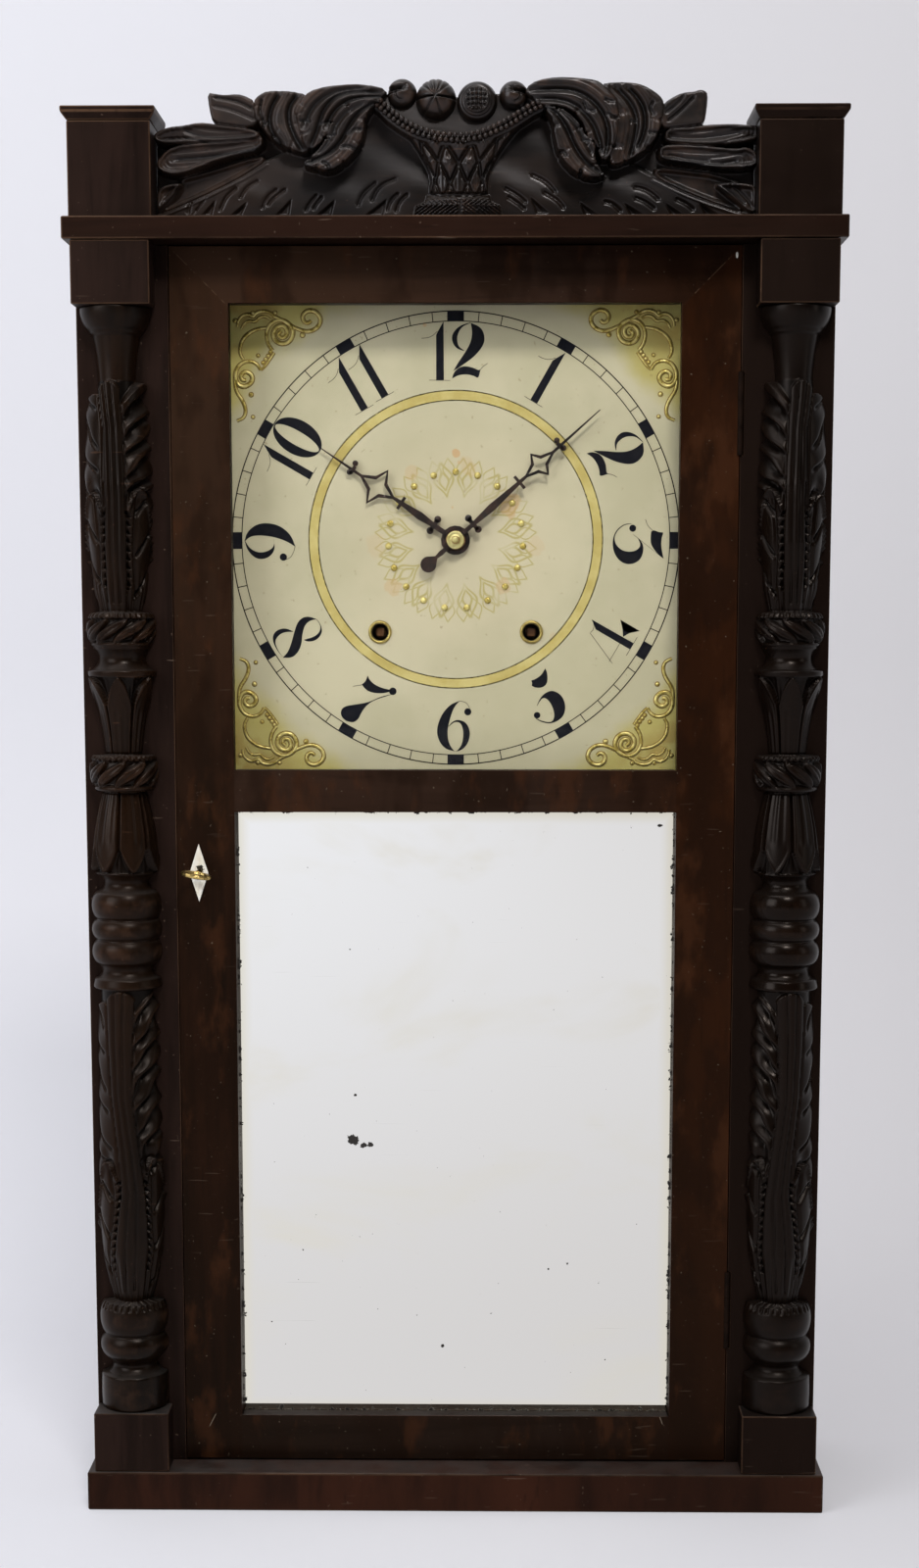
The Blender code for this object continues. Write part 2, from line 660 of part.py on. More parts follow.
def build_chimney_cap(name, side):
    """A thin plate whose underside steps in to the block below it."""
    mesh = bpy.data.meshes.new(name)
    shape = bmesh.new()
    bmesh.ops.create_cube(shape, size=1.0)
    plate = (CHIMNEY_WIDTH + 2 * CAP_OVERHANG, CHIMNEY_DEPTH + 2 * CAP_OVERHANG, CAP_PLATE_HEIGHT)
    bmesh.ops.scale(shape, vec=plate, verts=shape.verts)
    bmesh.ops.translate(shape, vec=(0, 0, CAP_COVE_HEIGHT + CAP_PLATE_HEIGHT / 2), verts=shape.verts)
    underside = [face for face in shape.faces if face.normal.z < -0.5]
    made = bmesh.ops.extrude_face_region(shape, geom=underside)
    bmesh.ops.delete(shape, geom=underside, context="FACES_ONLY")
    foot = [item for item in made["geom"] if isinstance(item, bmesh.types.BMVert)]
    bmesh.ops.translate(shape, vec=(0, 0, -CAP_COVE_HEIGHT), verts=foot)
    bmesh.ops.scale(shape, vec=(CHIMNEY_WIDTH / plate[0], CHIMNEY_DEPTH / plate[1], 1.0), verts=foot)
    shape.to_mesh(mesh)
    shape.free()
    obj = link(name, mesh)
    obj.location = (side * COLUMN_X, CHIMNEY_FRONT_Y + CHIMNEY_DEPTH / 2, CHIMNEY_TOP_Z + GAP)
    return finish(obj, "veneer")


def build_back_board():
    """The back board and the two upright rails glued to it, which carry the plates and the dial."""
    half = CASE_HALF - SIDE_THICKNESS - GAP
    board = box("back_board", (-half, BACK_FRONT_Y, BASE_HEIGHT + GAP), (half, CASE_BACK_Y, CASE_TOP_Z - GAP))
    for side, label in ((-1, "left"), (1, "right")):
        rail = side_box(f"rail_{label}", side, RAIL_SPREAD, RAIL_SPREAD + RAIL_THICKNESS,
                        (DIAL_BACK_Y + GAP, BACK_FRONT_Y + BACK_THICKNESS / 2), (RAIL_BOTTOM_Z, RAIL_TOP_Z))
        join(board, rail)
    return finish(board, "pine")


def build_crest():
    """The carved splat: a board cut to the outline, the leaf masses, and a basket of fruit before them."""
    back_y = BASE_FRONT_Y + CREST_SETBACK + CREST_THICKNESS
    front_y = back_y - CREST_THICKNESS
    foot = CORNICE_TOP_Z + GAP
    spread = (CHIMNEY_INNER_X - GAP) / CREST_DRAWN_HALF
    left_edge = [(x * spread, z) for x, z in CREST_LEFT]
    right_edge = [(x * spread, z) for x, z in CREST_RIGHT]
    underside = [(x * spread, z) for x, z in LEAF_UNDERSIDE]
    board = flat_shape("crest_splat", [[*left_edge, *right_edge]], front_y, back_y, (0.0, foot))
    left_leaf = [*left_edge[3:], *[(-x, z) for x, z in underside]]
    right_leaf = [*right_edge[:-2], *reversed(underside)]
    for label, outline in (("left", left_leaf), ("right", right_leaf)):
        leaf = flat_shape(f"crest_leaf_{label}", [outline], front_y - CREST_RELIEF, front_y + 0.002,
                          (0.0, foot + 0.0001))
        join(board, leaf)
    profile = [(0.0, BASKET_PROFILE[0][1]), *BASKET_PROFILE, (0.0, BASKET_PROFILE[-1][1])]
    basket = half_turned("crest_basket", profile, 10)
    stretch = BASKET_DEPTH / BASKET_PROFILE[0][0]
    basket.data.transform(Matrix.Diagonal((1.0, stretch, 1.0, 1.0)))
    basket.rotation_euler = (0.0, 0.0, math.pi)
    basket.location = (0.0, front_y + 0.003, foot)
    join(board, basket)
    for index, (x, z, radius) in enumerate(FRUIT):
        mesh = bpy.data.meshes.new(f"crest_fruit_{index}")
        shape = bmesh.new()
        bmesh.ops.create_uvsphere(shape, u_segments=10, v_segments=7, radius=radius)
        shape.to_mesh(mesh)
        shape.free()
        fruit = link(mesh.name, mesh)
        fruit.location = (x, front_y - radius * 0.3, foot + z)
        join(board, fruit)
    return finish(board, "carved")


def bolt_y_range():
    back = STILE_BACK_Y - LOCK_WALL - RUNNING_GAP
    return back - BOLT_THICKNESS, back


def hinge_spans():
    low = DOOR_BOTTOM_Z + HINGE_FROM_END
    high = DOOR_TOP_Z - HINGE_FROM_END - HINGE_HEIGHT
    return (low, low + HINGE_HEIGHT), (high, high + HINGE_HEIGHT)


def cut_barrel_room(obj, low, high):
    """Lets a hinge's barrel turn in the corner of the stile beside it."""
    room = HINGE_BARREL_RADIUS + RUNNING_GAP
    cut_box(obj, f"{obj.name}_barrel_room_{low:.3f}", (HINGE_X - room, STILE_FRONT_Y - 0.001, low - GAP),
            (HINGE_X + room, STILE_FRONT_Y + room, high + GAP))


def build_door_stile(name, side):
    """A full-height member with a rabbet behind each pane."""
    obj = side_box(name, side, OPENING_HALF, DOOR_WIDTH / 2, (STILE_FRONT_Y, STILE_BACK_Y),
                   (DOOR_BOTTOM_Z, DOOR_TOP_Z))
    panes = (
        ("mirror", MIRROR_BOTTOM_Z, MIRROR_TOP_Z),
        ("dial", DIAL_OPENING_BOTTOM_Z, DIAL_OPENING_TOP_Z),
    )
    for pane, low, high in panes:
        cut(obj, side_box(f"{name}_{pane}_rabbet", side, OPENING_HALF - 0.001, OPENING_HALF + RABBET_WIDTH,
                          (RABBET_Y, STILE_BACK_Y + 0.001), (low - RABBET_WIDTH, high + RABBET_WIDTH)))
    if side < 0:
        cut_lock_room(obj)
    else:
        for low, high in hinge_spans():
            cut_box(obj, f"door_leaf_mortise_{low:.3f}",
                    (DOOR_WIDTH / 2 - HINGE_LEAF_THICKNESS - GAP, STILE_FRONT_Y - 0.001, low - GAP),
                    (DOOR_WIDTH / 2 + GAP, HINGE_LEAF_BACK_Y + GAP, high + GAP))
            cut_barrel_room(obj, low, high)
    return finish(obj, "veneer")


def lock_case_box():
    """Low and high corners of the lock's case, let into the back of the lock stile."""
    half_w = LOCK_CASE_WIDTH / 2
    half_h = LOCK_CASE_HEIGHT / 2
    low = (LOCK_X - half_w, STILE_BACK_Y - LOCK_CASE_DEPTH, LOCK_HEIGHT_Z - half_h)
    high = (LOCK_X + half_w, STILE_BACK_Y, LOCK_HEIGHT_Z + half_h)
    return low, high


def cut_lock_room(stile):
    low, high = lock_case_box()
    cut_box(stile, "lock_room", [value - GAP for value in low], (high[0] + GAP, high[1] + 0.001, high[2] + GAP))
    cut(stile, rod("lock_stile_keyhole", (LOCK_X, LOCK_HEIGHT_Z), KEYHOLE_RADIUS,
                   STILE_FRONT_Y - 0.001, low[1] + 0.001))
    bolt_front, bolt_back = bolt_y_range()
    half = BOLT_HEIGHT / 2 + RUNNING_GAP
    cut_box(stile, "bolt_way", (-DOOR_WIDTH / 2 - 0.001, bolt_front - RUNNING_GAP, LOCK_HEIGHT_Z - half),
            (low[0] + 0.001, bolt_back + RUNNING_GAP, LOCK_HEIGHT_Z + half))


def build_rail(name, low, high, rabbets):
    """A cross member between the stiles, with a rabbet along each edge that meets a pane."""
    half = OPENING_HALF - GAP
    obj = box(name, (-half, STILE_FRONT_Y, low), (half, STILE_BACK_Y, high))
    for pane_edge, direction in rabbets:
        inner, outer = sorted((pane_edge - direction * RABBET_WIDTH, pane_edge + direction * 0.001))
        cut_box(obj, f"{name}_rabbet_{pane_edge:.3f}", (-half - 0.001, RABBET_Y, inner),
                (half + 0.001, STILE_BACK_Y + 0.001, outer))
    return finish(obj, "veneer")


def pane_box(name, low_z, high_z, front_y, thickness, kind):
    """A pane held in the rabbets all round."""
    half = OPENING_HALF + RABBET_WIDTH - GAP
    low = (-half, front_y, low_z - RABBET_WIDTH + GAP)
    high = (half, front_y + thickness, high_z + RABBET_WIDTH - GAP)
    return finish(box(name, low, high), kind)


def build_hinge(label, low, high):
    """One butt hinge: the case leaf keeps the end knuckles and the pin, the door leaf the middle knuckle."""
    axis = (HINGE_X, STILE_FRONT_Y)
    middle = (low + high) / 2
    knuckle_low = middle - KNUCKLE_HEIGHT / 2
    knuckle_high = middle + KNUCKLE_HEIGHT / 2
    room_back = STILE_FRONT_Y + HINGE_BARREL_RADIUS + RUNNING_GAP
    case_leaf = box(f"{label}_hinge_case_leaf", (STILE_INNER_X, STILE_FRONT_Y + GAP, low),
                    (STILE_INNER_X + HINGE_LEAF_THICKNESS, HINGE_LEAF_BACK_Y, high))
    door_leaf = box(f"{label}_hinge_door_leaf",
                    (DOOR_WIDTH / 2 - HINGE_LEAF_THICKNESS, STILE_FRONT_Y + GAP, low),
                    (DOOR_WIDTH / 2, HINGE_LEAF_BACK_Y, high))
    bands = ((low, knuckle_low - GAP), (knuckle_high + GAP, high))
    reliefs = ((low - 0.001, knuckle_low), (knuckle_high, high + 0.001))
    for index, (start, end) in enumerate(bands):
        relief_low, relief_high = reliefs[index]
        join(case_leaf, upright_rod(f"{label}_case_knuckle_{index}", axis, HINGE_BARREL_RADIUS, start, end))
        cut_box(door_leaf, f"{label}_door_leaf_relief_{index}",
                (DOOR_WIDTH / 2 - HINGE_LEAF_THICKNESS - 0.001, STILE_FRONT_Y - 0.004, relief_low),
                (DOOR_WIDTH / 2 + 0.001, room_back, relief_high))
    cut_box(case_leaf, f"{label}_case_leaf_relief",
            (STILE_INNER_X - 0.0032, STILE_FRONT_Y - 0.004, knuckle_low - GAP),
            (STILE_INNER_X + 0.004, room_back, knuckle_high + GAP))
    join(case_leaf, upright_rod(f"{label}_pin", axis, HINGE_PIN_RADIUS, low + 0.002, high - 0.002))
    join(door_leaf, upright_rod(f"{label}_door_knuckle", axis, HINGE_BARREL_RADIUS, knuckle_low, knuckle_high))
    cut(door_leaf, upright_rod(f"{label}_pin_bore", axis, HINGE_PIN_RADIUS + 0.0001,
                               knuckle_low - 0.002, knuckle_high + 0.002))
    finish(case_leaf, "brass")
    finish(door_leaf, "brass")
    return case_leaf, door_leaf


def upright_rod(name, centre, radius, low_z, high_z, sides=12):
    mesh = bpy.data.meshes.new(name)
    shape = bmesh.new()
    bmesh.ops.create_cone(shape, cap_ends=True, segments=sides, radius1=radius, radius2=radius, depth=high_z - low_z)
    shape.to_mesh(mesh)
    shape.free()
    obj = link(name, mesh)
    obj.location = (centre[0], centre[1], (low_z + high_z) / 2)
    return obj


def build_lock():
    """The lock's case, its bolt drawn back, the bone escutcheon and the key."""
    low, high = lock_case_box()
    case = box("lock_case", low, high)
    inner_low = (low[0] + LOCK_WALL, low[1] + LOCK_WALL, low[2] + LOCK_WALL)
    inner_high = (high[0] - LOCK_WALL, high[1] - LOCK_WALL, high[2] - LOCK_WALL)
    cut_box(case, "lock_cavity", inner_low, inner_high)
    bolt_front, bolt_back = bolt_y_range()
    bolt_half = BOLT_HEIGHT / 2
    mouth_half = bolt_half + RUNNING_GAP
    cut_box(case, "lock_case_mouth", (low[0] - 0.001, bolt_front - RUNNING_GAP, LOCK_HEIGHT_Z - mouth_half),
            (low[0] + LOCK_WALL + 0.001, bolt_back, LOCK_HEIGHT_Z + mouth_half))
    cut(case, rod("lock_case_keyhole", (LOCK_X, LOCK_HEIGHT_Z), KEYHOLE_RADIUS,
                  low[1] - 0.001, low[1] + LOCK_WALL + 0.001))
    finish(case, "iron")
    bolt_end = high[0] - LOCK_WALL - GAP
    bolt = box("lock_bolt", (-DOOR_WIDTH / 2, bolt_front, LOCK_HEIGHT_Z - bolt_half),
               (bolt_end, bolt_back, LOCK_HEIGHT_Z + bolt_half))
    finish(bolt, "iron")
    half_w = ESCUTCHEON_WIDTH / 2
    half_h = ESCUTCHEON_HEIGHT / 2
    diamond = [(half_w, 0.0), (0.0, half_h), (-half_w, 0.0), (0.0, -half_h)]
    hole = circle_points(KEYHOLE_RADIUS, 12)
    plate = flat_shape("escutcheon", [diamond, hole], STILE_FRONT_Y - GAP - ESCUTCHEON_THICKNESS,
                       STILE_FRONT_Y - GAP, (LOCK_X, LOCK_HEIGHT_Z))
    finish(plate, "bone")
    key = build_key(low[1] + LOCK_WALL, bolt_front - RUNNING_GAP)
    return case, plate, bolt, key


def circle_points(radius, count, start=0.0):
    turn = 2 * math.pi / count
    return [(radius * math.cos(start + turn * i), radius * math.sin(start + turn * i)) for i in range(count)]


def build_key(cavity_front, tip_y):
    """A shank with a small bit inside the lock and a ring bow standing clear of the escutcheon."""
    neck_y = STILE_FRONT_Y - ESCUTCHEON_THICKNESS - KEY_STANDOFF
    centre = (LOCK_X, LOCK_HEIGHT_Z)
    key = rod("door_key", centre, KEY_SHANK_RADIUS, neck_y, tip_y, 10)
    bit_low = LOCK_HEIGHT_Z - KEY_SHANK_RADIUS - KEY_BIT_LENGTH
    bit = box("key_bit", (LOCK_X - KEY_BIT_WIDTH / 2, cavity_front + RUNNING_GAP, bit_low),
              (LOCK_X + KEY_BIT_WIDTH / 2, tip_y - GAP, LOCK_HEIGHT_Z))
    join(key, bit)
    bow_y = neck_y - KEY_BOW_RADIUS + KEY_BOW_WIRE / 2
    bpy.ops.mesh.primitive_torus_add(
        major_radius=KEY_BOW_RADIUS, minor_radius=KEY_BOW_WIRE, major_segments=20, minor_segments=8,
        location=(LOCK_X, bow_y, LOCK_HEIGHT_Z), rotation=(0.0, KEY_TILT, 0.0))
    bow = bpy.context.active_object
    bow.name = "key_bow"
    join(key, bow)
    return smooth(finish(key, "brass"))


def build_door():
    lock_stile = build_door_stile("door_lock_stile", -1)
    hinge_stile = build_door_stile("door_hinge_stile", 1)
    bottom = build_rail("door_bottom_rail", DOOR_BOTTOM_Z, MIRROR_BOTTOM_Z, [(MIRROR_BOTTOM_Z, 1)])
    middle = build_rail("door_middle_rail", MIRROR_TOP_Z, DIAL_OPENING_BOTTOM_Z,
                        [(MIRROR_TOP_Z, -1), (DIAL_OPENING_BOTTOM_Z, 1)])
    top = build_rail("door_top_rail", DIAL_OPENING_TOP_Z, DOOR_TOP_Z, [(DIAL_OPENING_TOP_Z, -1)])
    pane_front = RABBET_Y + GAP
    glass = pane_box("dial_glass", DIAL_OPENING_BOTTOM_Z, DIAL_OPENING_TOP_Z, pane_front, GLASS_THICKNESS, "glass")
    mirror = pane_box("mirror_glass", MIRROR_BOTTOM_Z, MIRROR_TOP_Z, pane_front, MIRROR_THICKNESS, "silver")
    backing = pane_box("mirror_back_board", MIRROR_BOTTOM_Z, MIRROR_TOP_Z,
                       RABBET_Y + MIRROR_THICKNESS + 2 * GAP, BACKING_THICKNESS, "pine")
    case, plate, bolt, key = build_lock()
    leaves = [build_hinge(label, *span) for label, span in zip(("lower", "upper"), hinge_spans())]
    door_axis = axis_empty("door_axis", (HINGE_X, STILE_FRONT_Y, DOOR_BOTTOM_Z))
    hang_on(door_axis, lock_stile, hinge_stile, bottom, middle, top, glass, mirror, backing, case, plate,
            *[door_leaf for _, door_leaf in leaves])
    key_axis = axis_empty("key_axis", (LOCK_X, STILE_FRONT_Y, LOCK_HEIGHT_Z))
    hang_on(door_axis, key_axis)
    hang_on(key_axis, key)
    hang_on(door_axis, bolt)


def build_dial():
    """The dial board, its winding holes rimmed, standing before the rails."""
    low = (-DIAL_WIDTH / 2, DIAL_FRONT_Y, DIAL_OPENING_BOTTOM_Z - DIAL_LAP)
    high = (DIAL_WIDTH / 2, DIAL_BACK_Y, DIAL_OPENING_TOP_Z + DIAL_LAP)
    dial = box("dial_board", low, high)
    for side, label in ((-1, "left"), (1, "right")):
        centre = (side * WINDING_OFFSET_X, WINDING_Z)
        join(dial, rod(f"grommet_{label}", centre, GROMMET_RADIUS,
                       DIAL_FRONT_Y - GROMMET_HEIGHT, DIAL_FRONT_Y + 0.001, 20))
        cut(dial, rod(f"winding_hole_{label}", centre, WINDING_HOLE_RADIUS,
                      DIAL_FRONT_Y - 0.003, DIAL_BACK_Y + 0.001, 20))
    cut(dial, rod("dial_centre_hole", (0.0, DIAL_CENTRE_Z), DIAL_HOLE_RADIUS,
                  DIAL_FRONT_Y - 0.001, DIAL_BACK_Y + 0.001, 20))
    return finish(dial, "cream")


def mirrored_outline(stations):
    """A closed outline about the local +Z axis from (distance along, half width) stations, tail to tip."""
    right = [(half, along) for along, half in stations]
    left = [(-half, along) for along, half in reversed(stations) if half > 1e-7]
    return right + left


def pierced_diamond(centre, reach, half_width, web):
    """The concave opening of a hand's diamond, one web inside its outer outline."""
    inner_reach = reach - 2.2 * web
    inner_half = half_width - 2.2 * web
    waist = 0.30
    side = inner_half * waist
    rise = inner_reach * waist
    return [(0.0, centre - inner_reach), (side, centre - rise), (inner_half, centre), (side, centre + rise),
            (0.0, centre + inner_reach), (-side, centre + rise), (-inner_half, centre), (-side, centre - rise)]


def diamond_stations(centre, reach, half_width, stem):
    """Outer edge of the concave diamond, as stations along the hand."""
    waist = 0.36
    side = half_width * waist + stem * 0.6
    rise = reach * waist
    return [(centre - reach, stem), (centre - rise, side), (centre, half_width), (centre + rise, side),
            (centre + reach, stem)]


def cross_bar(centre, half_width, thickness, stem):
    low = centre - thickness / 2
    high = centre + thickness / 2
    return [(low, stem), (low, half_width), (high, half_width), (high, stem)]


def hub_arc(radius, stem):
    """Stations of the hub's circle from its foot to where the stem leaves it."""
    leave = math.asin(stem / radius)
    steps = 8
    angles = [math.pi - (math.pi - leave) * i / steps for i in range(steps + 1)]
    return [(radius * math.cos(a), radius * math.sin(a)) for a in angles]


def build_hour_hand():
    stations = [
        *hub_arc(HOUR_HUB_RADIUS, 0.0016), *cross_bar(0.0164, 0.0043, 0.0026, 0.0016), (0.0270, 0.00255),
        *cross_bar(0.0410, 0.0044, 0.0019, 0.0014), *diamond_stations(0.0590, 0.0120, 0.0126, HAND_STEM),
        *cross_bar(0.0774, 0.0028, 0.0022, HAND_STEM), (HOUR_HAND_LENGTH, 0.0003),
    ]
    holes = [circle_points(HOUR_PIPE_RADIUS + GAP, 16), pierced_diamond(0.0590, 0.0120, 0.0126, HAND_WEB)]
    return hand("hour_hand", stations, holes, hand_y(0), HOUR_HAND_ANGLE)


def build_minute_hand():
    tail_ball = 0.0050
    stations = [
        *[(-MINUTE_TAIL_LENGTH + tail_ball * math.cos(a), tail_ball * math.sin(a))
          for a in [math.pi * (1 - i / 9) for i in range(8)]],
        (-0.0160, 0.0010), (-0.0120, 0.0016), (-0.0070, 0.0012),
        *hub_arc(MINUTE_HUB_RADIUS, 0.0014)[3:], *cross_bar(0.0148, 0.0046, 0.0026, 0.0014), (0.0300, 0.0024),
        *cross_bar(0.0534, 0.0049, 0.0019, 0.0012), *diamond_stations(0.0700, 0.0110, 0.0089, HAND_STEM),
        *cross_bar(0.0870, 0.0027, 0.0022, HAND_STEM), (MINUTE_HAND_LENGTH, 0.0003),
    ]
    holes = [circle_points(ARBOR_RADIUS + GAP, 12), pierced_diamond(0.0700, 0.0110, 0.0089, HAND_WEB)]
    return hand("minute_hand", stations, holes, hand_y(1), MINUTE_HAND_ANGLE)


def hand_y(layer):
    """Front of a hand: the hour hand lies in layer 0, the minute hand in layer 1, the washer in layer 2."""
    return DIAL_FRONT_Y - HAND_THICKNESS - HAND_SPACING * (layer + 1)


def hand(name, stations, holes, front_y, angle):
    obj = flat_shape(name, [mirrored_outline(stations), *holes], front_y, front_y + HAND_THICKNESS,
                     (0.0, DIAL_CENTRE_Z))
    obj.data.transform(Matrix.Rotation(math.pi / 2, 4, "X"))
    obj.rotation_euler = (0.0, angle, 0.0)
    return finish(obj, "iron")


def gear_outline(teeth, pitch_radius, phase):
    """A toothed rim with slim teeth; a tooth stands at the phase angle."""
    size = 2 * pitch_radius / teeth
    root = pitch_radius - 1.20 * size
    tip = pitch_radius + 0.80 * size
    pitch = 2 * math.pi / teeth
    half_root = 0.24 * pitch
    half_tip = 0.085 * pitch
    points = []
    for i in range(teeth):
        middle = phase + pitch * i
        for angle, radius in ((-half_root, root), (-half_tip, tip), (half_tip, tip), (half_root, root)):
            points.append((radius * math.cos(middle + angle), radius * math.sin(middle + angle)))
    return points


def ratchet_outline(teeth, tip, depth):
    """The escape wheel's rim of leaning pointed teeth."""
    pitch = 2 * math.pi / teeth
    points = []
    for i in range(teeth):
        start = pitch * i
        for angle, radius in ((0.0, tip - depth), (0.65 * pitch, tip)):
            points.append((radius * math.cos(start + angle), radius * math.sin(start + angle)))
    return points


def wheel(name, outline, centre, front_y, thickness):
    return flat_shape(name, [outline], front_y, front_y + thickness, centre)


def circle_crossing(first, first_radius, second, second_radius):
    """The crossing of two circles that lies to the right of the line from the first to the second."""
    a = Vector(first)
    b = Vector(second)
    span = (b - a).length
    along = (first_radius**2 - second_radius**2 + span**2) / (2 * span)
    across = math.sqrt(first_radius**2 - along**2)
    direction = (b - a) / span
    return tuple(a + direction * along + Vector((direction.y, -direction.x)) * across)


def direction_angle(start, end):
    return math.atan2(end[1] - start[1], end[0] - start[0])


CENTRE = (0.0, DIAL_CENTRE_Z)
TIME_WINDING = (WINDING_OFFSET_X, WINDING_Z)
STRIKE_WINDING = (-WINDING_OFFSET_X, WINDING_Z)
ESCAPE = (ESCAPE_X, ESCAPE_Z)
THIRD = circle_crossing(CENTRE, CENTRE_THIRD_DISTANCE, ESCAPE, THIRD_ESCAPE_DISTANCE)
MINUTE_STUD = (MOTION_DISTANCE, DIAL_CENTRE_Z)
HAMMER_PIVOT = (HAMMER_PIVOT_X, HAMMER_PIVOT_Z)


def pitch_radii(first_teeth, second_teeth, distance):
    share = distance / (first_teeth + second_teeth)
    return first_teeth * share, second_teeth * share


def meshing_phases(first, second, second_teeth):
    """A tooth of the first points at the second, and a gap of the second takes it."""
    toward = direction_angle(first, second)
    return toward, toward + math.pi + math.pi / second_teeth


def build_going_train():
    great_r, centre_pinion_r = pitch_radii(GREAT_TEETH, CENTRE_PINION_TEETH, math.dist(TIME_WINDING, CENTRE))
    centre_r, third_pinion_r = pitch_radii(CENTRE_TEETH, THIRD_PINION_TEETH, CENTRE_THIRD_DISTANCE)
    third_r, escape_pinion_r = pitch_radii(THIRD_TEETH, ESCAPE_PINION_TEETH, THIRD_ESCAPE_DISTANCE)
    great_phase, centre_pinion_phase = meshing_phases(TIME_WINDING, CENTRE, CENTRE_PINION_TEETH)
    centre_phase, third_pinion_phase = meshing_phases(CENTRE, THIRD, THIRD_PINION_TEETH)
    third_phase, escape_pinion_phase = meshing_phases(THIRD, ESCAPE, ESCAPE_PINION_TEETH)
    great_y = WORKS_FRONT_Y + 0.002
    great_end = great_y + WHEEL_THICKNESS
    centre_y = WORKS_BACK_Y - 0.003 - THIN_WHEEL
    third_y = great_end + 0.006

    great_rim = gear_outline(GREAT_TEETH, great_r, great_phase)
    great = wheel("time_great_wheel", great_rim, TIME_WINDING, great_y, WHEEL_THICKNESS)
    cut(great, rod("great_wheel_bore", TIME_WINDING, WINDING_ARBOR_RADIUS + GAP, great_y - 0.001, great_end + 0.001, 14))
    finish(great, "cherry")

    centre_rim = gear_outline(CENTRE_TEETH, centre_r, centre_phase)
    centre = wheel("centre_wheel", centre_rim, CENTRE, centre_y, THIN_WHEEL)
    arbor_front = hand_y(2) - 0.002
    join(centre, rod("centre_arbor", CENTRE, ARBOR_RADIUS, arbor_front, PLATE_BACK_Y - 0.001, 12))
    centre_leaves = gear_outline(CENTRE_PINION_TEETH, centre_pinion_r, centre_pinion_phase)
    join(centre, wheel("centre_pinion", centre_leaves, CENTRE, great_y - 0.001, WHEEL_THICKNESS + 0.002))
    cannon_r, minute_r = pitch_radii(CANNON_TEETH, MINUTE_WHEEL_TEETH, MOTION_DISTANCE)
    cannon_phase, minute_phase = meshing_phases(CENTRE, MINUTE_STUD, MINUTE_WHEEL_TEETH)
    cannon_y = PLATE_FRONT_Y - 0.001 - THIN_WHEEL
    cannon_rim = gear_outline(CANNON_TEETH, cannon_r, cannon_phase)
    join(centre, wheel("cannon_pinion", cannon_rim, CENTRE, cannon_y, THIN_WHEEL))
    finish(centre, "cherry")

    third_rim = gear_outline(THIRD_TEETH, third_r, third_phase)
    third = wheel("third_wheel", third_rim, THIRD, third_y, THIN_WHEEL)
    join(third, rod("third_arbor", THIRD, SMALL_ARBOR_RADIUS, PLATE_FRONT_Y + 0.001, PLATE_BACK_Y - 0.001, 10))
    third_leaves = gear_outline(THIRD_PINION_TEETH, third_pinion_r, third_pinion_phase)
    join(third, wheel("third_pinion", third_leaves, THIRD, centre_y - 0.001, THIN_WHEEL + 0.002))
    finish(third, "cherry")

    escape_y = PLATE_FRONT_Y - 0.001 - ESCAPE_THICKNESS
    escape_rim = ratchet_outline(ESCAPE_TEETH, ESCAPE_RADIUS, ESCAPE_TOOTH_DEPTH)
    escape = wheel("escape_wheel", escape_rim, ESCAPE, escape_y, ESCAPE_THICKNESS)
    join(escape, rod("escape_arbor", ESCAPE, SMALL_ARBOR_RADIUS, escape_y - 0.001, PLATE_BACK_Y - 0.001, 10))
    escape_leaves = gear_outline(ESCAPE_PINION_TEETH, escape_pinion_r, escape_pinion_phase)
    join(escape, wheel("escape_pinion", escape_leaves, ESCAPE, third_y - 0.001, THIN_WHEEL + 0.002))
    finish(escape, "brass")

    minute_rim = gear_outline(MINUTE_WHEEL_TEETH, minute_r, minute_phase)
    minute = wheel("minute_wheel", minute_rim, MINUTE_STUD, cannon_y, THIN_WHEEL)
    minute_pinion_r, hour_r = pitch_radii(MINUTE_PINION_TEETH, HOUR_WHEEL_TEETH, MOTION_DISTANCE)
    pinion_phase, hour_phase = meshing_phases(MINUTE_STUD, CENTRE, HOUR_WHEEL_TEETH)
    hour_y = cannon_y - 0.0006 - THIN_WHEEL
    minute_leaves = gear_outline(MINUTE_PINION_TEETH, minute_pinion_r, pinion_phase)
    join(minute, wheel("minute_pinion", minute_leaves, MINUTE_STUD, hour_y - 0.0004, THIN_WHEEL + 0.002))
    cut(minute, rod("minute_bore", MINUTE_STUD, MINUTE_STUD_RADIUS + GAP, hour_y - 0.002, PLATE_FRONT_Y, 10))
    finish(minute, "cherry")

    hour_rim = gear_outline(HOUR_WHEEL_TEETH, hour_r, hour_phase)
    hour = wheel("hour_wheel", hour_rim, CENTRE, hour_y, THIN_WHEEL)
    join(hour, rod("hour_pipe", CENTRE, HOUR_PIPE_RADIUS, hand_y(0) - 0.0008, hour_y + 0.001, 16))
    cut(hour, rod("hour_bore", CENTRE, ARBOR_RADIUS + 0.0006, hand_y(0) - 0.002, hour_y + THIN_WHEEL + 0.001, 12))
    finish(hour, "cherry")
    return great, centre, third, escape, minute, hour


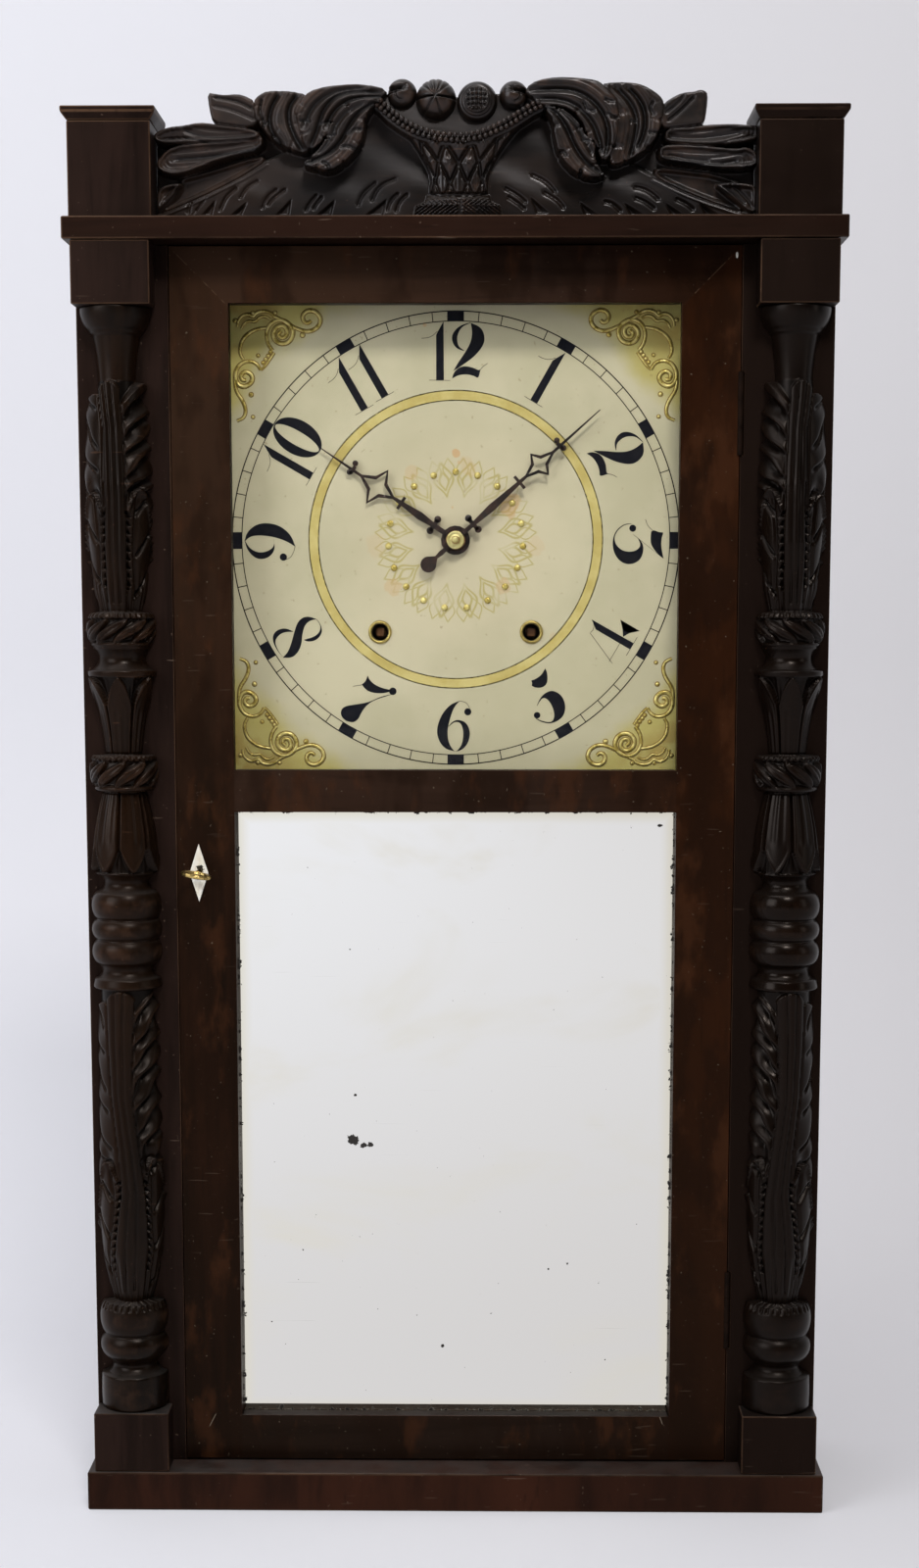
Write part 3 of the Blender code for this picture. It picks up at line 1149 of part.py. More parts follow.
def drum_profile(wheel_end):
    """A winding drum with two flanges, its axis local Z with the front end up."""
    rim = DRUM_RADIUS + DRUM_FLANGE
    return [
        (0.0, wheel_end), (WINDING_ARBOR_RADIUS, wheel_end), (WINDING_ARBOR_RADIUS, DRUM_LENGTH),
        (rim, DRUM_LENGTH),
        (rim, DRUM_LENGTH - DRUM_FLANGE_THICKNESS), (DRUM_RADIUS, DRUM_LENGTH - DRUM_FLANGE_THICKNESS),
        (DRUM_RADIUS, DRUM_FLANGE_THICKNESS), (rim, DRUM_FLANGE_THICKNESS), (rim, 0.0), (WINDING_ARBOR_RADIUS, 0.0),
        (WINDING_ARBOR_RADIUS, -PLATE_THICKNESS), (0.0, -PLATE_THICKNESS),
    ]


def build_drum(name, centre, kind):
    """A drum and its winding arbor, which ends in a square behind the dial's winding hole."""
    arbor_front = PLATE_FRONT_Y - 0.006
    drum = turned(name, drum_profile(DRUM_FRONT_Y + DRUM_LENGTH - arbor_front), 14)
    drum.rotation_euler = (math.pi / 2, 0.0, 0.0)
    drum.location = (centre[0], DRUM_FRONT_Y + DRUM_LENGTH, centre[1])
    square = WINDING_ARBOR_RADIUS * 0.62
    join(drum, box(f"{name}_square", (centre[0] - square, DIAL_BACK_Y + 0.001, centre[1] - square),
                   (centre[0] + square, arbor_front + 0.002, centre[1] + square)))
    return smooth(finish(drum, kind))


def build_plates():
    """The two wooden plates; the back one carries the pillars."""
    half = RAIL_SPREAD - GAP
    front = box("front_plate", (-half, PLATE_FRONT_Y, PLATE_BOTTOM_Z), (half, WORKS_FRONT_Y, PLATE_TOP_Z))
    back = box("back_plate", (-half, WORKS_BACK_Y, PLATE_BOTTOM_Z), (half, PLATE_BACK_Y, PLATE_TOP_Z))
    holes = (
        ("time", TIME_WINDING, WINDING_ARBOR_RADIUS), ("strike", STRIKE_WINDING, WINDING_ARBOR_RADIUS),
        ("centre", CENTRE, ARBOR_RADIUS), ("third", THIRD, SMALL_ARBOR_RADIUS),
        ("escape", ESCAPE, SMALL_ARBOR_RADIUS), ("hammer", HAMMER_PIVOT, HAMMER_WIRE_RADIUS),
    )
    for label, centre, arbor in holes:
        radius = arbor + RUNNING_GAP
        cut(front, rod(f"front_{label}_hole", centre, radius, PLATE_FRONT_Y - 0.001, WORKS_FRONT_Y + 0.001))
        cut(back, rod(f"back_{label}_hole", centre, radius, WORKS_BACK_Y - 0.001, PLATE_BACK_Y + 0.001))
    inset = PILLAR_RADIUS * 2
    corners = ((half - inset, PLATE_BOTTOM_Z + inset), (UPPER_PILLAR_X, PLATE_TOP_Z - inset))
    for side in (-1, 1):
        for x, z in corners:
            join(back, rod(f"pillar_{side * x:.2f}_{z:.2f}", (side * x, z), PILLAR_RADIUS,
                           WORKS_FRONT_Y + GAP, WORKS_BACK_Y + 0.001, 12))
    join(front, rod("minute_stud", MINUTE_STUD, MINUTE_STUD_RADIUS, DIAL_BACK_Y + 0.002, PLATE_FRONT_Y + 0.001, 10))
    pendulum_y = DIAL_BACK_Y + PENDULUM_FROM_DIAL
    join(front, rod("verge_stud", (ESCAPE_X, VERGE_Z), STUD_RADIUS, pendulum_y + PENDULUM_WIRE_RADIUS + 0.001,
                    PLATE_FRONT_Y + 0.001, 10))
    join(front, rod("suspension_stud", (ESCAPE_X, PENDULUM_Z), STUD_RADIUS, pendulum_y - 0.0025,
                    PLATE_FRONT_Y + 0.001, 10))
    finish(front, "cherry")
    finish(back, "cherry")
    return front, back


def build_escapement():
    """The verge: a strip whose pallets stand over the escape wheel, its boss, and the crutch to the pendulum."""
    verge_y = PLATE_FRONT_Y - 0.0028
    reach = ESCAPE_RADIUS + PALLET_CLEARANCE
    outer = []
    inner = []
    steps = 8
    for i in range(steps + 1):
        angle = math.pi / 2 - VERGE_SPAN + 2 * VERGE_SPAN * i / steps
        lift = VERGE_CROWN * math.sin(math.pi * i / steps)
        for points, radius in ((inner, reach + lift), (outer, reach + VERGE_STRIP + lift)):
            points.append((radius * math.cos(angle), radius * math.sin(angle) - VERGE_RISE))
    pivot = (ESCAPE_X, VERGE_Z)
    verge = flat_shape("verge", [inner + outer[::-1]], verge_y, verge_y + 0.0018, pivot)
    boss_front = verge_y - 0.0026
    join(verge, rod("verge_boss", pivot, VERGE_BOSS_RADIUS, boss_front, verge_y + 0.0018, 12))
    crutch_y = boss_front + VERGE_WIRE
    crutch_z = VERGE_Z - CRUTCH_LENGTH
    join(verge, upright_rod("crutch_wire", (ESCAPE_X, crutch_y), VERGE_WIRE, crutch_z, VERGE_Z - 0.0020, 8))
    half = CRUTCH_SLOT + 2 * VERGE_WIRE
    wire_y = DIAL_BACK_Y + PENDULUM_FROM_DIAL
    join(verge, box("crutch_foot", (ESCAPE_X - half, crutch_y - VERGE_WIRE, crutch_z - VERGE_WIRE),
                    (ESCAPE_X + half, crutch_y + VERGE_WIRE, crutch_z + VERGE_WIRE)))
    for side in (-1, 1):
        low_x, high_x = sorted((ESCAPE_X + side * CRUTCH_SLOT, ESCAPE_X + side * half))
        join(verge, box(f"crutch_prong_{side}", (low_x, wire_y - 0.0015, crutch_z - VERGE_WIRE * 0.9),
                        (high_x, crutch_y, crutch_z + VERGE_WIRE * 0.9)))
    cut(verge, rod("verge_bore", pivot, STUD_RADIUS + GAP, boss_front - 0.001, verge_y + 0.003, 10))
    return smooth(finish(verge, "iron"))


def build_pendulum():
    """An eye on the suspension stud, a wire, and a lens-shaped bob."""
    wire_y = DIAL_BACK_Y + PENDULUM_FROM_DIAL
    half = PENDULUM_WIRE_RADIUS
    pendulum = rod("pendulum", (ESCAPE_X, PENDULUM_Z), 0.0030, wire_y - half, wire_y + half, 12)
    bob_z = PENDULUM_Z - PENDULUM_LENGTH
    join(pendulum, upright_rod("pendulum_wire", (ESCAPE_X, wire_y), half, bob_z, PENDULUM_Z - 0.0020, 8))
    rim = 0.0012
    bulge = BOB_THICKNESS / 2
    profile = [(0.0, bulge), (BOB_RADIUS * 0.45, bulge * 0.88), (BOB_RADIUS * 0.8, bulge * 0.55),
               (BOB_RADIUS, rim / 2), (BOB_RADIUS, -rim / 2), (BOB_RADIUS * 0.8, -bulge * 0.55),
               (BOB_RADIUS * 0.45, -bulge * 0.88), (0.0, -bulge)]
    bob = turned("pendulum_bob", profile, 18)
    bob.rotation_euler = (math.pi / 2, 0.0, 0.0)
    bob.location = (ESCAPE_X, wire_y, bob_z)
    join(pendulum, bob)
    cut(pendulum, rod("pendulum_eye", (ESCAPE_X, PENDULUM_Z), STUD_RADIUS + GAP, wire_y - 0.002, wire_y + 0.002, 10))
    return smooth(finish(pendulum, "brass"))


def build_strike():
    """The strike drum with its own great wheel, the hammer, and the bell on its post."""
    drum = build_drum("strike_drum", STRIKE_WINDING, "cherry")
    wheel_y = WORKS_FRONT_Y + 0.002 + WHEEL_THICKNESS + 0.001
    pitch = STRIKE_WHEEL_RADIUS - 0.8 * STRIKE_WHEEL_RADIUS * 2 / STRIKE_TEETH
    join(drum, wheel("strike_great_wheel", gear_outline(STRIKE_TEETH, pitch, 0.0), STRIKE_WINDING,
                     wheel_y, DRUM_FRONT_Y + 0.0005 - wheel_y))
    bell = build_bell()
    hammer = build_hammer()
    return drum, hammer, bell


def hammer_head_place():
    """The head hangs beside the bell's rim, one rest gap away."""
    head_x = BELL_X - BELL_RADIUS - HAMMER_REST_GAP - HAMMER_HEAD_RADIUS
    across = head_x - HAMMER_PIVOT_X
    return head_x, HAMMER_PIVOT_Z - math.sqrt(HAMMER_ARM_LENGTH**2 - across**2)


def build_hammer():
    middle_y = (WORKS_FRONT_Y + WORKS_BACK_Y) / 2
    head_x, head_z = hammer_head_place()
    hammer = rod("strike_hammer", HAMMER_PIVOT, HAMMER_WIRE_RADIUS,
                 PLATE_FRONT_Y + 0.001, PLATE_BACK_Y - 0.001, 8)
    arm = upright_rod("hammer_arm", (0.0, 0.0), HAMMER_WIRE_RADIUS * 0.8, 0.0, HAMMER_ARM_LENGTH, 8)
    arm.location = ((HAMMER_PIVOT_X + head_x) / 2, middle_y, (HAMMER_PIVOT_Z + head_z) / 2)
    arm.rotation_euler = (0.0, math.atan2(HAMMER_PIVOT_X - head_x, HAMMER_PIVOT_Z - head_z), 0.0)
    join(hammer, arm)
    half = HAMMER_HEAD_LENGTH / 2
    join(hammer, rod("hammer_head", (head_x, head_z), HAMMER_HEAD_RADIUS, middle_y - half, middle_y + half, 14))
    return smooth(finish(hammer, "iron"))


def build_bell():
    """A cast bell, mouth to the front, on a screw from the back board."""
    middle_y = (WORKS_FRONT_Y + WORKS_BACK_Y) / 2
    _, bell_z = hammer_head_place()
    steps = 6
    outer = []
    inner = []
    for i in range(steps + 1):
        turn = math.pi / 2 * i / steps
        outer.append((BELL_RADIUS * math.sin(turn), BELL_DEPTH * math.cos(turn)))
        inner.append(((BELL_RADIUS - BELL_WALL) * math.sin(turn), (BELL_DEPTH - BELL_WALL) * math.cos(turn)))
    bell = turned("bell", [*outer, *reversed(inner)], 18)
    bell.rotation_euler = (-math.pi / 2, 0.0, 0.0)
    mouth_y = middle_y - HAMMER_HEAD_LENGTH / 2
    bell.location = (BELL_X, mouth_y, bell_z)
    join(bell, rod("bell_screw", (BELL_X, bell_z), BELL_POST_RADIUS, mouth_y + BELL_DEPTH - BELL_WALL / 2,
                   BACK_FRONT_Y - GAP, 12))
    return smooth(finish(bell, "iron"))


def build_weight(name, side):
    """A cast cylinder with a wire eye on top."""
    profile = [(0.0, WEIGHT_LENGTH), (WEIGHT_RADIUS * 0.55, WEIGHT_LENGTH), (WEIGHT_RADIUS, WEIGHT_LENGTH - 0.006),
               (WEIGHT_RADIUS, 0.0), (0.0, 0.0)]
    weight = turned(name, profile, 20)
    place = (side * CORD_DROP_X, CORD_Y, WEIGHT_TOP_Z - WEIGHT_LENGTH)
    weight.location = place
    join(weight, upright_rod(f"{name}_eye", (place[0], CORD_Y), CORD_RADIUS * 2, WEIGHT_TOP_Z - 0.002,
                             WEIGHT_TOP_Z + WEIGHT_EYE_HEIGHT, 8))
    return smooth(finish(weight, "iron"))


def build_pulley(name, side):
    """A grooved wooden wheel on a wire pin that lies in the cornice board."""
    half = PULLEY_WIDTH / 2
    groove = PULLEY_RADIUS - PULLEY_GROOVE
    pin_end = half + PULLEY_SIDE_GAP + PULLEY_PIN_REACH - GAP
    profile = [
        (0.0, pin_end), (PULLEY_PIN_RADIUS, pin_end), (PULLEY_PIN_RADIUS, half), (PULLEY_RADIUS, half),
        (PULLEY_RADIUS, half * 0.7), (groove, CORD_RADIUS), (groove, -CORD_RADIUS), (PULLEY_RADIUS, -half * 0.7),
        (PULLEY_RADIUS, -half), (PULLEY_PIN_RADIUS, -half), (PULLEY_PIN_RADIUS, -pin_end), (0.0, -pin_end),
    ]
    pulley = turned(name, profile, 16)
    pulley.rotation_euler = (math.pi / 2, 0.0, 0.0)
    pulley.location = (side * PULLEY_X, CORD_Y, PULLEY_Z)
    return smooth(finish(pulley, "cherry"))


def tube(name, points, radius):
    curve = bpy.data.curves.new(name, "CURVE")
    curve.dimensions = "3D"
    curve.bevel_depth = radius
    curve.bevel_resolution = 1
    curve.use_fill_caps = True
    spline = curve.splines.new("POLY")
    spline.points.add(len(points) - 1)
    for point, place in zip(spline.points, points):
        point.co = (*place, 1.0)
    return smooth(as_mesh(link(name, curve)), 60)


def build_cord_run(name, side):
    """From the drum's crown, tangent to the pulley, over it, to where the drop begins."""
    drum_reach = DRUM_RADIUS + CORD_RADIUS + GAP
    pulley_reach = PULLEY_RADIUS - PULLEY_GROOVE + CORD_RADIUS + GAP
    start = Vector((WINDING_OFFSET_X, WINDING_Z))
    end = Vector((PULLEY_X, PULLEY_Z))
    span = end - start
    lean = math.asin((drum_reach - pulley_reach) / span.length)
    leave = math.atan2(span.y, span.x) + math.pi / 2 - lean
    drum_arc = [leave + 0.9 * (1 - i / 4) for i in range(5)]
    pulley_arc = [leave * (1 - i / 8) for i in range(9)]
    flat = [start + drum_reach * Vector((math.cos(a), math.sin(a))) for a in drum_arc]
    flat += [end + pulley_reach * Vector((math.cos(a), math.sin(a))) for a in pulley_arc]
    cord = tube(name, [(side * x, CORD_Y, z) for x, z in flat], CORD_RADIUS)
    return finish(cord, "cord")


def build_cord_drop(name, side):
    top = PULLEY_Z - GAP
    bottom = WEIGHT_TOP_Z + WEIGHT_EYE_HEIGHT + GAP
    drop = upright_rod(name, (side * CORD_DROP_X, CORD_Y), CORD_RADIUS, bottom, top, 6)
    return finish(drop, "cord")


def build_movement():
    build_plates()
    great, centre, third, escape, minute, hour = build_going_train()
    verge = build_escapement()
    pendulum = build_pendulum()
    time_drum = build_drum("time_drum", TIME_WINDING, "cherry")
    strike_drum, hammer, _ = build_strike()
    hour_hand = build_hour_hand()
    minute_hand = build_minute_hand()
    washer = rod("hand_washer", CENTRE, WASHER_RADIUS, hand_y(2), hand_y(2) + HAND_THICKNESS, 16)
    cut(washer, rod("washer_bore", CENTRE, ARBOR_RADIUS + GAP, hand_y(2) - 0.001, hand_y(2) + 0.003, 12))
    finish(washer, "brass")
    arbors = (
        ("minute_axis", CENTRE, (minute_hand, washer, centre)), ("hour_axis", CENTRE, (hour_hand, hour)),
        ("minute_wheel_axis", MINUTE_STUD, (minute,)), ("great_wheel_axis", TIME_WINDING, (great,)),
        ("third_axis", THIRD, (third,)), ("escape_axis", ESCAPE, (escape,)),
        ("verge_axis", (ESCAPE_X, VERGE_Z), (verge,)), ("pendulum_axis", (ESCAPE_X, PENDULUM_Z), (pendulum,)),
        ("time_winding_axis", TIME_WINDING, (time_drum,)), ("strike_winding_axis", STRIKE_WINDING, (strike_drum,)),
        ("hammer_axis", HAMMER_PIVOT, (hammer,)),
    )
    for name, (x, z), pieces in arbors:
        hang_on(axis_empty(name, (x, WORKS_FRONT_Y, z)), *pieces)
    for kind, side in (("time", 1), ("strike", -1)):
        build_weight(f"{kind}_weight", side)
        build_pulley(f"{kind}_pulley", side)
        build_cord_run(f"{kind}_cord_run", side)
        build_cord_drop(f"{kind}_cord_drop", side)


build_case()
build_door()
build_dial()
build_movement()
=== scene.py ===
# %% [markdown]
# # A carved column and splat shelf clock
# The clock is a tall mahogany box with a door. Two carved half columns stand on its front, and a carved
# crest with a basket of fruit sits on top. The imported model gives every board, wheel and hand its place.
# This lesson dresses that frame: first the camera and the room, then the finishes, then piece by piece.

# %% Load the frame
import json
import math

import bpy
import bmesh
import numpy as np
from mathutils import Matrix, Vector


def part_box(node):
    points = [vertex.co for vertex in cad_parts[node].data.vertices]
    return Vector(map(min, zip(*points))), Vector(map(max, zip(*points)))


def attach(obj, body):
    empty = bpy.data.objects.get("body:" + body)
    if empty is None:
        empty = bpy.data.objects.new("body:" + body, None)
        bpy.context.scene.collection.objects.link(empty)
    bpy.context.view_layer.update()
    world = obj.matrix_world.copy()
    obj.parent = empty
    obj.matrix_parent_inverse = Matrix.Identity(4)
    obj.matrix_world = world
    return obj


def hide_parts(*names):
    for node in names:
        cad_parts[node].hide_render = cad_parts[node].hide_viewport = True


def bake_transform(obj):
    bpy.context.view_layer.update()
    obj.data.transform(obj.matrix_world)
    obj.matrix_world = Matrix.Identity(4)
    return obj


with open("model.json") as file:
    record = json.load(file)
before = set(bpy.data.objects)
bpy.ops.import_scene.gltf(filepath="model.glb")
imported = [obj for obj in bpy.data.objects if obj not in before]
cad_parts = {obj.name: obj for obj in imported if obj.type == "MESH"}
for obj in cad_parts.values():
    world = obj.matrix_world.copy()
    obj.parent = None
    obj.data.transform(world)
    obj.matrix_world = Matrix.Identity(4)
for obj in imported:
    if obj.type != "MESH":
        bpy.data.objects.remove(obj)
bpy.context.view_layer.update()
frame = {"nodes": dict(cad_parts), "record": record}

# %% [markdown]
# ## The camera
# The lens was fitted to the clock's own straight edges: a 54 mm lens from a metre and a half, looking
# slightly down. A small vertical shift puts the vanishing point where the edges meet in the picture.


# %% Camera
def placed(name, data):
    """A new object in the scene."""
    obj = bpy.data.objects.new(name, data)
    bpy.context.collection.objects.link(obj)
    return obj


camera_data = bpy.data.cameras.new("camera")
camera_data.lens = 54.0
camera_data.shift_y = 0.1
camera = placed("camera", camera_data)
camera.location = (0.0226, -1.5133, 0.5595)
camera.rotation_euler = (math.radians(90 - 7.542), 0.0, math.radians(0.773))
bpy.context.scene.camera = camera
bpy.context.scene.view_settings.view_transform = "Standard"

# %% [markdown]
# ## Small helpers for shader trees
# Every finish below is a tree of nodes. `node` adds one node, sets its options, and either wires a socket
# or types a number into it, so that a tree reads from top to bottom like a recipe.


# %% Helpers for node trees
def fill(tree, target, sockets):
    """Wires or sets the named inputs of one node."""
    for key, value in sockets.items():
        if isinstance(value, bpy.types.NodeSocket):
            tree.links.new(value, target.inputs[key])
        else:
            target.inputs[key].default_value = value


def node(tree, kind, sockets=None, **options):
    made = tree.nodes.new(kind)
    for name, value in options.items():
        setattr(made, name, value)
    fill(tree, made, sockets or {})
    return made


def noise(tree, vector, scale, detail=3.0, roughness=0.55, distortion=0.0):
    made = node(tree, "ShaderNodeTexNoise", {"Vector": vector, "Scale": scale, "Detail": detail,
                                             "Roughness": roughness, "Distortion": distortion})
    return made.outputs["Fac"]


def ramp(tree, value, low, high, to_low=0.0, to_high=1.0):
    """Maps a value from one range to another, held at both ends, with soft shoulders."""
    made = node(tree, "ShaderNodeMapRange", {"Value": value, "From Min": low, "From Max": high,
                                             "To Min": to_low, "To Max": to_high},
                interpolation_type="SMOOTHSTEP")
    return made.outputs["Result"]


def maths(tree, operation, first, second=0.0):
    return node(tree, "ShaderNodeMath", {0: first, 1: second}, operation=operation).outputs[0]


def times(tree, first, *others):
    for other in others:
        first = maths(tree, "MULTIPLY", first, other)
    return first


def plus(tree, first, second):
    return maths(tree, "ADD", first, second)


def minus(tree, first, second):
    return maths(tree, "SUBTRACT", first, second)


def larger(tree, first, *others):
    for other in others:
        first = maths(tree, "MAXIMUM", first, other)
    return first


def unsigned(tree, value):
    return maths(tree, "ABSOLUTE", value)


def axes_of(tree, vector):
    return node(tree, "ShaderNodeSeparateXYZ", {0: vector}).outputs


def mapped(tree, vector, scale, location=(0.0, 0.0, 0.0), turn=(0.0, 0.0, 0.0)):
    return node(tree, "ShaderNodeMapping", {"Vector": vector, "Location": location, "Rotation": turn,
                                            "Scale": scale}).outputs[0]


def raised(tree, height, strength, distance):
    """The normal that a height gives to the surface."""
    return node(tree, "ShaderNodeBump", {"Height": height, "Strength": strength,
                                         "Distance": distance}).outputs["Normal"]


def blend_colour(tree, factor, first, second):
    return node(tree, "ShaderNodeMix", {0: factor, 6: first, 7: second}, data_type="RGBA").outputs[2]


def new_effect(name, inputs, outputs):
    """An empty node group with named sockets, and its two end nodes."""
    tree = bpy.data.node_groups.new(name, "ShaderNodeTree")
    for label, kind, value in inputs:
        socket = tree.interface.new_socket(name=label, in_out="INPUT", socket_type=kind)
        if value is not None:
            socket.default_value = value
    for label, kind in outputs:
        tree.interface.new_socket(name=label, in_out="OUTPUT", socket_type=kind)
    start = tree.nodes.new("NodeGroupInput")
    end = tree.nodes.new("NodeGroupOutput")
    return tree, start.outputs, end.inputs


def use_effect(tree, effect, **values):
    return node(tree, "ShaderNodeGroup", values, node_tree=effect).outputs


COLOUR, NUMBER, VECTOR = "NodeSocketColor", "NodeSocketFloat", "NodeSocketVector"

# %% [markdown]
# ## Effects that several finishes share
# Wood figure: long streaks along the grain, slow cloudy changes across a board, and fine open pores.
# Old finish: shellac that is shinier where hands rub, dust that settles on whatever faces up, and the fine
# pale scratches and chips that two centuries leave. Each is a group, built once.


# %% Wood figure
def build_wood_figure():
    tree, given, out = new_effect(
        "wood_figure",
        [("Vector", VECTOR, None), ("Dark", COLOUR, (0.01, 0.004, 0.003, 1)),
         ("Mid", COLOUR, (0.03, 0.01, 0.006, 1)), ("Light", COLOUR, (0.08, 0.03, 0.015, 1)),
         ("Fineness", NUMBER, 60.0), ("Figure", NUMBER, 0.5)],
        [("Color", COLOUR), ("Height", NUMBER)])
    streak = noise(tree, given["Vector"], given["Fineness"], 5.0, 0.6, 0.4)
    slow = noise(tree, given["Vector"], times(tree, given["Fineness"], 0.12), 3.0, 0.5, 0.8)
    pores = noise(tree, given["Vector"], times(tree, given["Fineness"], 5.0), 2.0, 0.5)
    body = blend_colour(tree, ramp(tree, streak, 0.34, 0.62), given["Dark"], given["Mid"])
    glow = times(tree, ramp(tree, slow, 0.42, 0.72), given["Figure"])
    body = blend_colour(tree, glow, body, given["Light"])
    pore_dark = ramp(tree, pores, 0.25, 0.42, 0.45, 0.0)
    tree.links.new(blend_colour(tree, pore_dark, body, given["Dark"]), out["Color"])
    tree.links.new(plus(tree, times(tree, streak, 0.4), times(tree, pores, 0.35)), out["Height"])
    return tree


def build_old_finish():
    tree, given, out = new_effect(
        "old_finish",
        [("Vector", VECTOR, None), ("Normal", VECTOR, None), ("Gloss", NUMBER, 0.4), ("Dust", NUMBER, 0.5),
         ("Wear", NUMBER, 0.3)],
        [("Roughness", NUMBER), ("Dust", NUMBER), ("Scratch", NUMBER)])
    smear = noise(tree, given["Vector"], 9.0, 4.0, 0.6, 0.3)
    tree.links.new(plus(tree, given["Gloss"], ramp(tree, smear, 0.3, 0.7, -0.08, 0.12)), out["Roughness"])
    up = axes_of(tree, given["Normal"])["Z"]
    drift = ramp(tree, noise(tree, given["Vector"], 45.0, 4.0, 0.65), 0.3, 0.6, 0.45, 1.0)
    tree.links.new(times(tree, ramp(tree, up, 0.45, 0.95), drift, given["Dust"]), out["Dust"])
    slanting = mapped(tree, given["Vector"], (14.0, 14.0, 160.0), turn=(0.3, 0.9, 0.4))
    lines = ramp(tree, noise(tree, slanting, 3.0, 1.0, 0.4), 0.735, 0.76)
    place = ramp(tree, noise(tree, given["Vector"], 6.0, 2.0), 0.5, 0.62)
    specks = ramp(tree, noise(tree, given["Vector"], 420.0, 1.0), 0.76, 0.79)
    marks = larger(tree, times(tree, lines, place), specks)
    tree.links.new(times(tree, marks, given["Wear"]), out["Scratch"])
    return tree


WOOD_FIGURE = build_wood_figure()
OLD_FINISH = build_old_finish()

# %% [markdown]
# ## Wood finishes
# One recipe makes every wood. The grain direction is a Mapping node that squeezes the pattern along one
# axis. The dark case wood reflects a little red, so its specular tint is warm, and bare arrises show a
# paler brown. Each wood is also painted darker on the side away from the window, a painted shade. Carved
# wood reads an attribute, `relief`, that is high on the worn tops of the leaves and low in the hollows,
# where the colour is painted almost black as shade.


# %% Wood recipe
# Near black: the painted shade in the hollows of the carving.
RECESS_SHADE = (0.0015, 0.0011, 0.0009, 1)
SHADE = (0.0022, 0.0012, 0.0008, 1)
DUST = (0.11, 0.105, 0.10, 1)
SCUFF = (0.16, 0.11, 0.08, 1)
WARM_SHINE = (1.0, 0.62, 0.46, 1)
WHITE = (1, 1, 1, 1)


def plain_skin(name):
    material = bpy.data.materials.new(name)
    material.use_nodes = True
    tree = material.node_tree
    return material, tree, tree.nodes["Principled BSDF"], node(tree, "ShaderNodeTexCoord").outputs["Object"]


def grain(axis, squeeze=0.05):
    return tuple(squeeze if i == "xyz".index(axis) else 1.0 for i in range(3))


def wood(name, dark, mid, light, stretch, fineness=60.0, figure=0.5, gloss=0.42, dust=0.22, wear=0.3,
         shine=0.10, tint=WARM_SHINE, bump=0.25, relief=False, mark=SCUFF, far_side_shade=0.45):
    """The last argument paints shade: how far the colour darkens from the window side of the clock to the other side.
    """
    material, tree, skin, place = plain_skin(name)
    facing = node(tree, "ShaderNodeNewGeometry").outputs["Normal"]
    pattern = use_effect(tree, WOOD_FIGURE, Vector=mapped(tree, place, stretch), Dark=dark, Mid=mid,
                         Light=light, Fineness=fineness, Figure=figure)
    finish = use_effect(tree, OLD_FINISH, Vector=place, Normal=facing, Gloss=gloss, Dust=dust, Wear=wear)
    colour = pattern["Color"]
    if relief:
        tops = node(tree, "ShaderNodeAttribute", attribute_name="relief").outputs["Fac"]
        worn = times(tree, ramp(tree, tops, 0.62, 1.0), ramp(tree, noise(tree, place, 90.0, 3.0), 0.42, 0.66))
        colour = blend_colour(tree, times(tree, worn, 0.35), colour, mark)
        # Painted shade: where the relief value is low, in hollows, cuts and under leaf lips, the colour goes almost
        # black.
        colour = blend_colour(tree, ramp(tree, tops, 0.0, 0.35, 0.85, 0.0), colour, RECESS_SHADE)
    colour = blend_colour(tree, finish["Scratch"], colour, mark)
    colour = blend_colour(tree, finish["Dust"], colour, DUST)
    # Painted shade: the colour darkens towards SHADE from the window side of the clock to the far side.
    painted_side_shade = ramp(tree, axes_of(tree, place)["X"], -0.10, 0.20, 0.0, far_side_shade)
    colour = blend_colour(tree, painted_side_shade, colour, SHADE)
    fill(tree, skin, {"Base Color": colour, "Roughness": finish["Roughness"], "Specular IOR Level": shine,
                      "Specular Tint": tint, "Normal": raised(tree, pattern["Height"], bump, 0.0004)})
    return material


# %% The woods of this clock
STILE_WOOD = wood("veneer_upright", (0.006, 0.0028, 0.0018, 1), (0.016, 0.0058, 0.0032, 1),
                  (0.036, 0.0105, 0.0045, 1), grain("z", 0.07), 70.0, 0.75)
RAIL_WOOD = wood("veneer_crosswise", (0.0045, 0.0023, 0.0016, 1), (0.0110, 0.0048, 0.0031, 1),
                 (0.021, 0.0082, 0.0050, 1), grain("x", 0.07), 70.0, 0.6)
BASE_WOOD = wood("veneer_base", (0.010, 0.0040, 0.0026, 1), (0.022, 0.0075, 0.0042, 1),
                 (0.045, 0.0140, 0.0070, 1), (1.0, 1.0, 0.22), 55.0, 0.8)
CASE_WOOD = wood("stained_case", (0.005, 0.003, 0.0025, 1), (0.013, 0.0070, 0.0055, 1),
                 (0.022, 0.0125, 0.0100, 1), grain("z", 0.1), 60.0, 0.5, wear=0.4, far_side_shade=0.8)
SIDE_WOOD = wood("case_side", (0.030, 0.0110, 0.0040, 1), (0.065, 0.0230, 0.0075, 1),
                 (0.110, 0.0420, 0.0140, 1), grain("z", 0.06), 60.0, 0.6, gloss=0.5)
WORN_EDGE = wood("worn_arris", (0.010, 0.0055, 0.0035, 1), (0.030, 0.0160, 0.0100, 1),
                 (0.095, 0.0520, 0.0300, 1), (1.0, 1.0, 1.0), 40.0, 0.9, wear=0.6)
CARVED_WOOD = wood("carved_walnut_brown", (0.0016, 0.0009, 0.0005, 1), (0.0056, 0.0027, 0.0012, 1),
                   (0.0180, 0.0070, 0.0026, 1), grain("z", 0.12), 80.0, 0.6, gloss=0.27, dust=0.12, wear=0.35,
                   shine=0.115, tint=(1.0, 0.86, 0.78, 1), bump=0.3, relief=True, far_side_shade=0.75,
                   mark=(0.075, 0.036, 0.020, 1))
